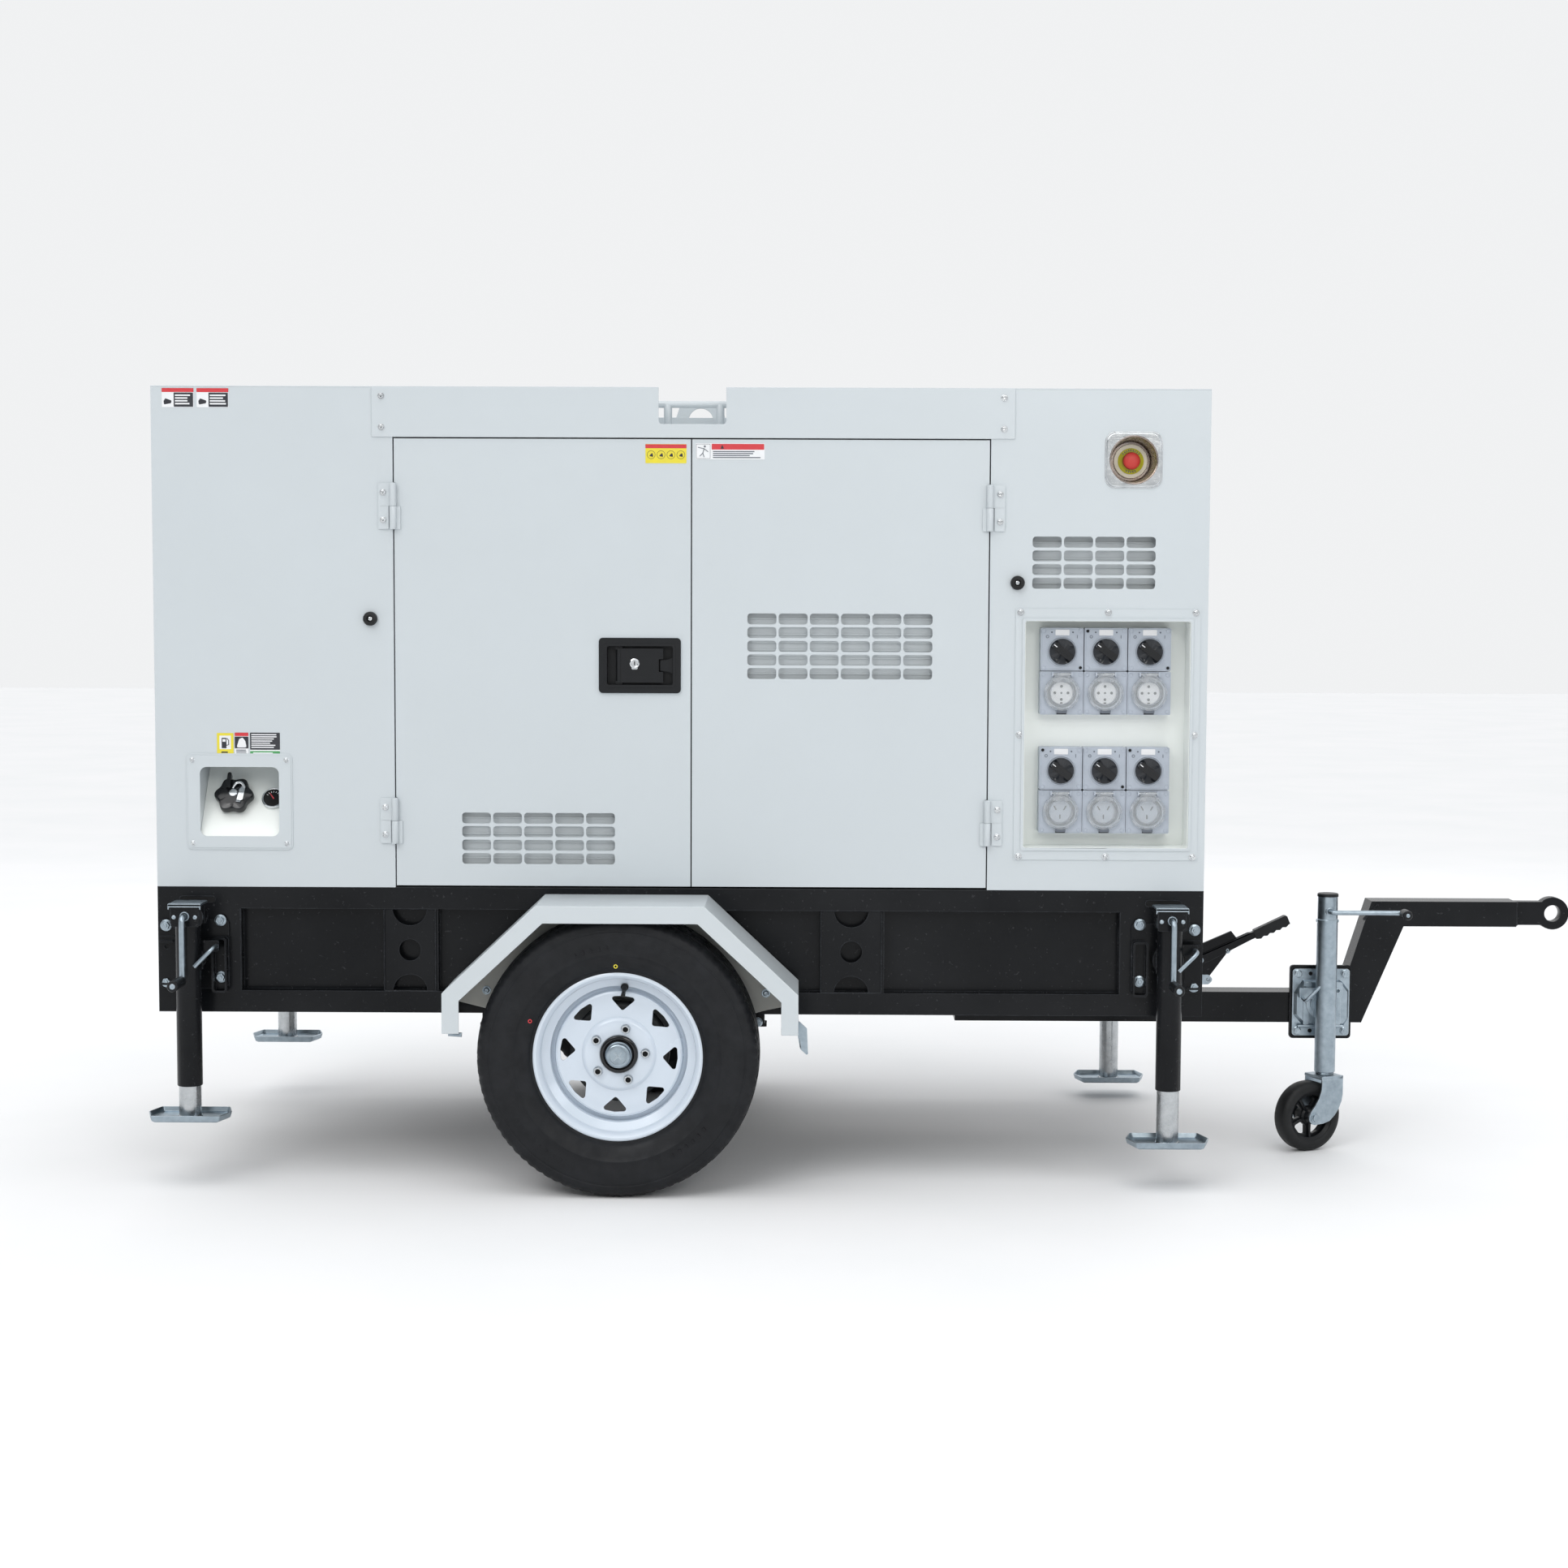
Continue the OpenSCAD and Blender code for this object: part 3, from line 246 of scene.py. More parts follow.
def total(tree: NodeTree, first: NodeSocket, second: NodeSocket) -> NodeSocket:
    """Adds two values and holds the sum at one."""
    return add_node(tree, "Math", {"operation": "ADD", "use_clamp": True}, {0: first, 1: second}).outputs[0]


# Finishes


class Finish:
    """A finish that lays out its own shader."""

    name: str

    def build(self) -> Material:
        """Makes the material.

        Returns:
            The material with the finish's nodes.
        """
        material = bpy.data.materials.new(self.name)
        material.use_nodes = True
        material.node_tree.nodes.clear()
        self.mix(material.node_tree)
        return material

    def mix(self, tree: NodeTree) -> None:
        """Lays out the nodes.

        Args:
            tree: the material's empty node tree.
        """
        raise NotImplementedError


@dataclass(frozen=True)
class PowderCoat(Finish):
    """Polyester powder coat, sprayed on sheet steel and baked: smooth, with a faint orange peel."""

    name: str
    colour: str
    dirt: str
    roughness: float = 0.32
    coat: float = 0.25
    dust: float = 0.06

    def mix(self, tree: NodeTree) -> None:
        """Lays out paint with 3 mm orange peel, slow changes of gloss, and a little road dust."""
        # wide, faint patches where the sheet has been wiped
        patches = spread(tree, waves(tree, 260, 3), 0.0, self.dust)
        # specks of dust about 2 mm wide, drawn coarser than real dust so that they show
        specks = spread(tree, waves(tree, 7, 4), 0.0, 0.10, 0.66, 0.78)
        soiled = total(tree, patches, specks)
        colour = blend_colour(tree, soiled, linear(self.colour), linear(self.dirt))
        rough = spread(tree, waves(tree, 90, 3), self.roughness - 0.04, self.roughness + 0.06)
        peel = bump(tree, waves(tree, 3, 1), 0.05, 0.16)
        surface(tree, {"Base Color": colour, "Roughness": rough, "Normal": peel, "IOR": 1.5,
                       "Coat Weight": self.coat, "Coat Roughness": 0.12})


@dataclass(frozen=True)
class FramePaint(Finish):
    """Gloss black alkyd enamel, brushed over welded steel: dusty specks, and grey where edges are rubbed."""

    name: str
    colour: str = "#0a0c0f"
    dust_colour: str = "#85868a"
    edge_colour: str = "#54585e"
    roughness: float = 0.22

    def mix(self, tree: NodeTree) -> None:
        """Lays out black enamel with a slow ripple, road dust and rubbed edges."""
        # dried splashes 6 mm wide over a fine haze
        splash = spread(tree, waves(tree, 9, 5), 0.0, 0.16, 0.64, 0.80)
        haze = spread(tree, waves(tree, 340, 4), 0.0, 0.035)
        dust = total(tree, splash, haze)
        base = blend_colour(tree, dust, linear(self.colour), linear(self.dust_colour))
        rubbed = add_node(tree, "Math", {"operation": "MULTIPLY"},
                          {0: worn_edges(tree, 2.2), 1: spread(tree, waves(tree, 30, 3), 0.10, 0.75)})
        colour = blend_colour(tree, rubbed.outputs[0], base, linear(self.edge_colour))
        rough = spread(tree, dust, self.roughness, 0.72, 0.0, 0.5)
        ripple = bump(tree, waves(tree, 14, 2), 0.12, 0.35)
        surface(tree, {"Base Color": colour, "Roughness": rough, "Normal": ripple, "IOR": 1.52,
                       "Specular IOR Level": 0.15})


@dataclass(frozen=True)
class ZincPlate(Finish):
    """Bright zinc plating with a blue passivate, on turned and pressed steel."""

    name: str
    colour: str = "#aab7c0"
    shade: str = "#84919b"
    roughness: float = 0.34
    grain_mm: float = 9.0

    def mix(self, tree: NodeTree) -> None:
        """Lays out metal with 9 mm crystals, a fine rolled grain and darker corners."""
        crystals = add_node(tree, "TexVoronoi", {"feature": "F1"}, {
            "Vector": place(tree), "Scale": 1 / (self.grain_mm * MM), "Randomness": 1.0})
        cloud = waves(tree, 22, 4)
        share = add_node(tree, "Mix", {"data_type": "FLOAT"}, {0: 0.12, 2: cloud,
                                                               3: crystals.outputs["Distance"]})
        colour = blend_colour(tree, spread(tree, share.outputs[0], 0.0, 0.7, 0.30, 0.70),
                              linear(self.colour), linear(self.shade))
        edge = blend_colour(tree, worn_edges(tree, 1.2), colour, linear("#d3dbe0"))
        rough = spread(tree, waves(tree, 16, 4), self.roughness - 0.05, self.roughness + 0.07)
        grain = bump(tree, waves(tree, 1.6, 2), 0.03, 0.25)
        surface(tree, {"Base Color": edge, "Metallic": 1.0, "Roughness": rough, "Normal": grain})


@dataclass(frozen=True)
class PolishedMetal(Finish):
    """Polished chrome plate or ground bar: a clear mirror with fine wiping marks."""

    name: str
    colour: str = "#d8dbdd"
    roughness: float = 0.10

    def mix(self, tree: NodeTree) -> None:
        """Lays out a bright metal whose gloss changes in soft patches."""
        smear = waves(tree, 12, 4, (1, 1, 6))
        rough = spread(tree, smear, self.roughness * 0.6, self.roughness * 2.2)
        colour = blend_colour(tree, spread(tree, waves(tree, 30, 2), 0.0, 0.35),
                              linear(self.colour), linear("#9aa0a5"))
        surface(tree, {"Base Color": colour, "Metallic": 1.0, "Roughness": rough,
                       "Normal": bump(tree, smear, 0.02, 0.2)})


@dataclass(frozen=True)
class MouldedPlastic(Finish):
    """Injection-moulded polymer, such as nylon, ABS or polycarbonate, with the mould's spark grain."""

    name: str
    colour: str
    roughness: float = 0.42
    grain_mm: float = 0.9
    grain_depth: float = 0.05
    specular: float = 0.5

    def mix(self, tree: NodeTree) -> None:
        """Lays out coloured plastic with a fine grain and a slight change of tone."""
        base = linear(self.colour)
        darker = tuple(c * 0.80 for c in base[:3]) + (1.0,)
        colour = blend_colour(tree, spread(tree, waves(tree, 35, 3), 0.0, 0.55), base, darker)
        rough = spread(tree, waves(tree, 18, 3), self.roughness - 0.05, self.roughness + 0.08)
        grain = bump(tree, waves(tree, self.grain_mm, 1), self.grain_depth, 0.35)
        surface(tree, {"Base Color": colour, "Roughness": rough, "Normal": grain, "IOR": 1.49,
                       "Specular IOR Level": self.specular})


@dataclass(frozen=True)
class ClearPlastic(Finish):
    """Clear polycarbonate, injection moulded: it shows the socket behind it and catches a bright rim."""

    name: str
    tint: str = "#e6ecef"
    opacity: float = 0.16

    def mix(self, tree: NodeTree) -> None:
        """Lays out a mostly see-through sheet with a hazy, slightly scratched gloss."""
        rough = spread(tree, waves(tree, 6, 3), 0.05, 0.16)
        colour = blend_colour(tree, spread(tree, waves(tree, 20, 2), 0.0, 0.4), linear(self.tint),
                              linear("#ffffff"))
        surface(tree, {"Base Color": colour, "Roughness": rough, "IOR": 1.58, "Alpha": self.opacity,
                       "Normal": bump(tree, waves(tree, 4, 1), 0.03, 0.3)})


@dataclass(frozen=True)
class Rubber(Finish):
    """Vulcanised rubber filled with carbon black: matt, with a grey bloom and dust."""

    name: str
    colour: str = "#0d0f13"
    bloom: str = "#2e3136"
    roughness: float = 0.58
    dust: float = 0.18

    def mix(self, tree: NodeTree) -> None:
        """Lays out dark rubber with a fine grain and faint dusty patches."""
        cloud = spread(tree, waves(tree, 55, 5), 0.0, self.dust, 0.42, 0.75)
        specks = spread(tree, waves(tree, 5, 4), 0.0, 0.20, 0.64, 0.80)
        share = total(tree, cloud, specks)
        colour = blend_colour(tree, share, linear(self.colour), linear(self.bloom))
        rough = spread(tree, waves(tree, 30, 3), self.roughness - 0.07, self.roughness + 0.12)
        surface(tree, {"Base Color": colour, "Roughness": rough, "IOR": 1.52, "Specular IOR Level": 0.3,
                       "Normal": bump(tree, waves(tree, 1.8, 3), 0.12, 0.4)})


@dataclass(frozen=True)
class CastMetal(Finish):
    """Sand-cast or fabricated machinery metal under one coat of enamel: grainy, oily and a little dirty."""

    name: str
    colour: str
    metallic: float = 0.0
    roughness: float = 0.5

    def mix(self, tree: NodeTree) -> None:
        """Lays out a coarse-grained surface with oil stains."""
        base = linear(self.colour)
        oily = tuple(c * 0.45 for c in base[:3]) + (1.0,)
        stains = spread(tree, waves(tree, 70, 5), 0.0, 0.7, 0.5, 0.72)
        colour = blend_colour(tree, stains, base, oily)
        rough = spread(tree, waves(tree, 40, 3), self.roughness - 0.15, self.roughness + 0.15)
        # sand grain about 2 mm wide
        surface(tree, {"Base Color": colour, "Metallic": self.metallic, "Roughness": rough,
                       "Normal": bump(tree, waves(tree, 2.2, 3), 0.25, 0.5)})


@dataclass(frozen=True)
class PrintedVinyl(Finish):
    """Printed vinyl sticker: flat ink under a thin glossy film."""

    name: str
    colour: str

    def mix(self, tree: NodeTree) -> None:
        """Lays out even ink with a faint fade and a soft gloss."""
        base = linear(self.colour)
        faded = tuple(min(1.0, c * 0.85 + 0.03) for c in base[:3]) + (1.0,)
        colour = blend_colour(tree, spread(tree, waves(tree, 24, 3), 0.0, 0.6), base, faded)
        surface(tree, {"Base Color": colour, "Roughness": spread(tree, waves(tree, 9, 2), 0.28, 0.42),
                       "Normal": bump(tree, waves(tree, 5, 1), 0.02, 0.3)})


# Mesh tools


def rounded_outline(points: Sequence[Point2], radius: float, steps: int = 5) -> list[Point2]:
    """Rounds the corners of a closed outline.

    Args:
        points: the corners, in order.
        radius: the fillet's radius.
        steps: points on each fillet, less one.

    Returns:
        The outline with its fillets.
    """
    result = []
    for i, corner in enumerate(points):
        here = Vector(corner)
        before = (Vector(points[i - 1]) - here)
        after = (Vector(points[(i + 1) % len(points)]) - here)
        half = before.angle(after) / 2
        reach = min(radius / math.tan(half), before.length * 0.49, after.length * 0.49)
        size = reach * math.tan(half)
        centre = here + (before.normalized() + after.normalized()).normalized() * (size / math.sin(half))
        first = here + before.normalized() * reach - centre
        last = here + after.normalized() * reach - centre
        turn = first.angle_signed(last)
        for k in range(steps + 1):
            spun = first.copy()
            spun.rotate(Matrix.Rotation(-turn * k / steps, 2))
            result.append(tuple(centre + spun))
    return result


def span(x0: float, z0: float, x1: float, z1: float, radius: float, steps: int = 5) -> list[Point2]:
    """Gives the outline of a rounded rectangle between two corners."""
    return rounded_outline([(x0, z0), (x1, z0), (x1, z1), (x0, z1)], radius, steps)


def rectangle(width: float, height: float, radius: float = 0, at: Point2 = (0, 0)) -> list[Point2]:
    """Gives a rectangle's outline, anticlockwise.

    Args:
        width: size across.
        height: size upwards.
        radius: corner radius.
        at: its middle.

    Returns:
        The outline.
    """
    x, z = width / 2, height / 2
    corners = [(at[0] - x, at[1] - z), (at[0] + x, at[1] - z), (at[0] + x, at[1] + z), (at[0] - x, at[1] + z)]
    return rounded_outline(corners, radius) if radius else corners


def spun(degrees: float) -> Matrix:
    """Gives a turn about the Y axis."""
    return Matrix.Rotation(math.radians(degrees), 3, "Y")


def ring(radius: float, steps: int = 32, at: Point2 = (0, 0), phase: float = 0) -> list[Point2]:
    """Gives a circle's outline, or a regular polygon's, anticlockwise.

    Args:
        radius: its radius.
        steps: how many points.
        at: its middle.
        phase: angle of the first point, in degrees.

    Returns:
        The outline.
    """
    turns = [math.radians(phase + 360 * i / steps) for i in range(steps)]
    return [(at[0] + radius * math.cos(t), at[1] + radius * math.sin(t)) for t in turns]


class Piece:
    """One visible piece: a mesh drawn in millimetres from an anchor on the near side."""

    def __init__(self, name: str, anchor: Vector, side: Side = Side.NEAR) -> None:
        """Starts an empty piece.

        Args:
            name: the object's name.
            anchor: a point of the frame, in metres, from which the sizes count.
            side: the far side mirrors what is drawn for the near side.
        """
        self.name = name
        self.anchor = Vector(anchor)
        self.side = side
        self.bm = bmesh.new()
        self.materials: list[Material] = []
        self.current = 0
        self.pose = Matrix.Identity(4)

    def use(self, material: Material) -> "Piece":
        """Sets the material of the faces that are added next."""
        if material not in self.materials:
            self.materials.append(material)
        self.current = self.materials.index(material)
        return self

    def at(self, x: float = 0, y: float = 0, z: float = 0, turn: Optional[Matrix] = None) -> "Piece":
        """Moves the pen: what is added next is drawn around this point, turned by a matrix if one is given."""
        self.pose = Matrix.Translation((x, y, z)) @ (turn.to_4x4() if turn else Matrix.Identity(4))
        return self

    def face(self, verts: Sequence[bmesh.types.BMVert]) -> None:
        """Adds one face, unless two of its corners are the same or it is there already."""
        if len(set(verts)) >= 3 and self.bm.faces.get(verts) is None:
            self.bm.faces.new(verts).material_index = self.current

    def vert(self, x: float, y: float, z: float) -> bmesh.types.BMVert:
        """Adds one vertex at a point counted from the pen."""
        return self.bm.verts.new(self.pose @ Vector((x, y, z)))

    def skin(self, rows: Sequence[Sequence[bmesh.types.BMVert]], caps: bool = False) -> "Piece":
        """Joins rings of vertices into one skin.

        Args:
            rows: the rings; one of a single vertex is a point.
            caps: whether each end gets a flat face.

        Returns:
            This piece.
        """
        for low, high in zip(rows, rows[1:]):
            count = max(len(low), len(high))
            for i in range(count):
                j = (i + 1) % count
                corners = (low[i % len(low)], low[j % len(low)], high[j % len(high)], high[i % len(high)])
                self.face(list(dict.fromkeys(corners)))
        if caps:
            self.face(rows[0][::-1])
            self.face(rows[-1])
        return self

    def block(self, low: Point3, high: Point3) -> "Piece":
        """Adds a box between two corners."""
        return self.slab(rectangle(high[0] - low[0], high[2] - low[2],
                                   at=((high[0] + low[0]) / 2, (high[2] + low[2]) / 2)), low[1], high[1])

    def slab(self, outline: Sequence[Point2], y0: float, y1: float, holes: Iterable[Sequence[Point2]] = (),
             taper: float = 1.0) -> "Piece":
        """Adds a plate whose outline lies in the XZ plane.

        Args:
            outline: its edge, anticlockwise.
            y0: its outer face, towards -Y.
            y1: its inner face.
            holes: outlines of openings, each clear of the rest.
            taper: size of the outer face as a share of the inner one.

        Returns:
            This piece.
        """
        loops = [list(outline)] + [list(h) for h in holes]
        middle = Vector((sum(p[0] for p in outline), sum(p[1] for p in outline))) / len(outline)
        rows = []
        for y, share in ((y0, taper), (y1, 1.0)):
            row = []
            for loop in loops:
                spots = [middle + (Vector(p) - middle) * share for p in loop]
                row.append([self.vert(s.x, y, s.y) for s in spots])
            rows.append(row)
        triangles = tessellate_polygon([[Vector((p[0], p[1], 0)) for p in loop] for loop in loops])
        for row, flip in ((rows[0], False), (rows[1], True)):
            flat = [v for loop in row for v in loop]
            for tri in triangles:
                corners = [flat[i] for i in tri]
                if len({tuple(v.co) for v in corners}) == 3:
                    self.face(corners[::-1] if flip else corners)
        for outer, inner in zip(rows[0], rows[1]):
            count = len(outer)
            for i in range(count):
                j = (i + 1) % count
                self.face([outer[i], inner[i], inner[j], outer[j]])
        return self

    def lathe(self, profile: Sequence[Point2], axis: Vector = OUT, steps: int = 48,
              shape: Optional[Callable[[int, int], tuple[float, float]]] = None) -> "Piece":
        """Adds a turned form.

        Args:
            profile: radius and height pairs, where height counts along the axis.
            axis: direction of the height.
            steps: how many facets go round.
            shape: given the profile point and the step, returns what to add to the radius and to the height.

        Returns:
            This piece.
        """
        spin = axis.to_track_quat("Z", "Y").to_matrix()
        rings = []
        for k, (radius, height) in enumerate(profile):
            if radius <= 0:
                rings.append([self.vert(*(spin @ Vector((0, 0, height))))])
                continue
            row = []
            for i in range(steps):
                more = shape(k, i) if shape else (0, 0)
                turn = 2 * math.pi * i / steps
                point = Vector(((radius + more[0]) * math.cos(turn), (radius + more[0]) * math.sin(turn),
                                height + more[1]))
                row.append(self.vert(*(spin @ point)))
            rings.append(row)
        return self.skin(rings)

    def loft(self, rows: Sequence[Sequence[Point3]]) -> "Piece":
        """Adds a closed skin through rows of points, with a flat face at each end.

        Args:
            rows: outlines with the same number of points.

        Returns:
            This piece.
        """
        return self.skin([[self.vert(*p) for p in row] for row in rows], True)

    def rod(self, path: Sequence[Point3], radius: float, steps: int = 16, soften: float = 0) -> "Piece":
        """Adds a round bar along a path, with flat ends.

        Args:
            path: its centre line.
            radius: its radius.
            steps: how many facets go round.
            soften: radius of its bends.

        Returns:
            This piece.
        """
        line = [Vector(p) for p in path]
        if soften:
            bent = [line[0]]
            for before, here, after in zip(line, line[1:], line[2:]):
                first = here + (before - here).normalized() * min(soften, (before - here).length * 0.49)
                last = here + (after - here).normalized() * min(soften, (after - here).length * 0.49)
                for k in range(7):
                    t = k / 6
                    bent.append(first * (1 - t) ** 2 + here * (2 * t * (1 - t)) + last * t ** 2)
            line = bent + [line[-1]]
        tangent = (line[1] - line[0]).normalized()
        side = tangent.orthogonal().normalized()
        rows = []
        for i, point in enumerate(line):
            ahead = line[min(i + 1, len(line) - 1)] - line[max(i - 1, 0)]
            tangent = ahead.normalized()
            side = (side - tangent * side.dot(tangent)).normalized()
            up = tangent.cross(side)
            rows.append([self.vert(*(point + side * (radius * math.cos(2 * math.pi * k / steps))
                                     + up * (radius * math.sin(2 * math.pi * k / steps))))
                         for k in range(steps)])
        return self.skin(rows, True)

    def screw(self, x: float, z: float, y: float, radius: float, height: float, washer: float = 0) -> "Piece":
        """Adds a screw head that faces -Y, with a round edge and a hexagon socket.

        Args:
            x: its middle.
            z: its middle.
            y: the face that it sits on.
            radius: radius of the head.
            height: height of the head.
            washer: radius of a washer under it, or none.

        Returns:
            This piece.
        """
        was = self.pose.copy()
        self.pose = was @ Matrix.Translation((x, y, z))
        base = 0.0
        if washer:
            base = 1.8
            self.lathe([(0, 0), (washer, 0), (washer, base - 0.4), (washer - 0.5, base), (radius * 0.6, base)],
                       steps=28)
        self.lathe([(radius * 0.9, base), (radius, base + height * 0.25), (radius * 0.93, base + height * 0.7),
                    (radius * 0.66, base + height), (radius * 0.46, base + height),
                    (radius * 0.44, base + height * 0.35), (0, base + height * 0.3)], steps=18)
        self.pose = was
        return self

    def bolt(self, x: float, z: float, y: float, flats: float, height: float, washer: float = 0) -> "Piece":
        """Adds a hexagon bolt head that faces -Y.

        Args:
            x: its middle.
            z: its middle.
            y: the face that it sits on.
            flats: size across the flats.
            height: height of the head.
            washer: radius of a washer under it, or none.

        Returns:
            This piece.
        """
        was = self.pose.copy()
        self.pose = was @ Matrix.Translation((x, y, z))
        base = 0.0
        if washer:
            base = 2.5
            self.lathe([(0, 0), (washer, 0), (washer, base - 0.4), (washer - 0.6, base), (0, base)], steps=32)
        self.slab(ring(flats / 1.732, 6, phase=10), -base - height, -base, taper=0.94)
        self.lathe([(flats * 0.28, base + height), (flats * 0.24, base + height + 1.5), (0, base + height + 1.5)],
                   steps=20)
        self.pose = was
        return self

    def weld(self, path: Sequence[Point3], radius: float = 4, seed: int = 1) -> "Piece":
        """Adds a weld bead: short overlapping ripples along a line.

        Args:
            path: the line's two ends.
            radius: radius of the bead.
            seed: start of its random ripple.

        Returns:
            This piece.
        """
        draw = random.Random(seed)
        start, end = Vector(path[0]), Vector(path[1])
        length = (end - start).length
        axis = (end - start).normalized()
        count = max(3, int(length / 3.2))
        profile = [(0.0, 0.0)]
        for i in range(count):
            swell = radius * (0.86 + 0.22 * draw.random())
            profile += [(swell * 0.80, length * (i + 0.12) / count), (swell, length * (i + 0.55) / count)]
        profile.append((0.0, length))
        was = self.pose.copy()
        self.pose = was @ Matrix.Translation(start)
        self.lathe(profile, axis, 10)
        self.pose = was
        return self

    def done(self, body: str, bevel: float = 0.0, slot: str = "", replaces: Sequence[str] = (),
             angle: float = 34, segments: int = 2) -> Object:
        """Turns the drawing into an object that rides on a body.

        Args:
            body: the CAD body that it moves with.
            bevel: width of the rounding on sharp edges, in millimetres.
            slot: the record's material slot that its finish belongs to; not used.
            replaces: CAD nodes that it stands for.
            angle: edges sharper than this many degrees count as sharp.
            segments: facets across a rounded edge.

        Returns:
            The object.
        """
        if self.side is Side.FAR:
            bmesh.ops.scale(self.bm, vec=(1, -1, 1), verts=self.bm.verts)
        bmesh.ops.remove_doubles(self.bm, verts=self.bm.verts, dist=0.002)
        bmesh.ops.recalc_face_normals(self.bm, faces=self.bm.faces)
        bmesh.ops.scale(self.bm, vec=(MM, MM, MM), verts=self.bm.verts)
        mesh = bpy.data.meshes.new(self.name)
        self.bm.to_mesh(mesh)
        self.bm.free()
        for material in self.materials:
            mesh.materials.append(material)
        thing = bpy.data.objects.new(self.name, mesh)
        bpy.context.scene.collection.objects.link(thing)
        thing.location = self.anchor
        smooth(thing, angle)
        if bevel:
            soften(thing, bevel, angle, segments)
        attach(thing, body)
        if replaces:
            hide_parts(*replaces)
        return thing


def smooth(thing: Object, angle: float) -> None:
    """Shades a mesh smooth, apart from edges sharper than the angle in degrees."""
    thing.data.shade_smooth()
    thing.data.set_sharp_from_angle(angle=math.radians(angle))


def soften(thing: Object, width: float, angle: float = 34, segments: int = 2) -> None:
    """Rounds a piece's sharp edges.

    Args:
        thing: the object.
        width: width of the rounding in millimetres.
        angle: edges sharper than this many degrees are rounded.
        segments: facets across a rounded edge.
    """
    edge = thing.modifiers.new("edge_radius", "BEVEL")
    edge.width = width * MM
    edge.segments = segments
    edge.limit_method = "ANGLE"
    edge.angle_limit = math.radians(angle)
    edge.harden_normals = True
    edge.use_clamp_overlap = True


def cut(thing: Object, cutter: Object) -> None:
    """Cuts one mesh out of another for good.

    Args:
        thing: the object that is cut, with no other modifier yet.
        cutter: the shape to remove, which is deleted.
    """
    saw = thing.modifiers.new("saw", "BOOLEAN")
    saw.object = cutter
    saw.operation = "DIFFERENCE"
    saw.solver = "EXACT"
    bpy.context.view_layer.update()
    result = bpy.data.meshes.new_from_object(thing.evaluated_get(bpy.context.evaluated_depsgraph_get()))
    thing.modifiers.clear()
    thing.data = result
    bpy.data.objects.remove(cutter)


class Frame:
    """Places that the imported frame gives."""

    def __init__(self, packed: dict) -> None:
        """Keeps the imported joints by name.
        """
        self.joints = {j["name"]: j for j in packed["joints"]}
        self.nodes = packed["nodes"]

    def joint(self, name: str) -> Vector:
        """Gives a joint's place in metres."""
        return Vector(self.joints[name]["pos_m"])

    def dress(self, node: str, material: Material, edge_mm: float = 1.0) -> None:
        """Gives a CAD node its finish and rounds its sharp edges.

        Args:
            node: the node's name.
            material: its finish.
            edge_mm: width of the rounding.
        """
        thing = self.nodes[node]
        for spot in thing.material_slots:
            spot.material = material
        if not thing.material_slots:
            thing.data.materials.append(material)
        if edge_mm:
            seam = thing.modifiers.new("weld_seams", "WELD")
            seam.merge_threshold = 0.00002
            flat = thing.modifiers.new("flat_faces", "DECIMATE")
            flat.decimate_type = "DISSOLVE"
            flat.angle_limit = math.radians(0.5)
            soften(thing, edge_mm)


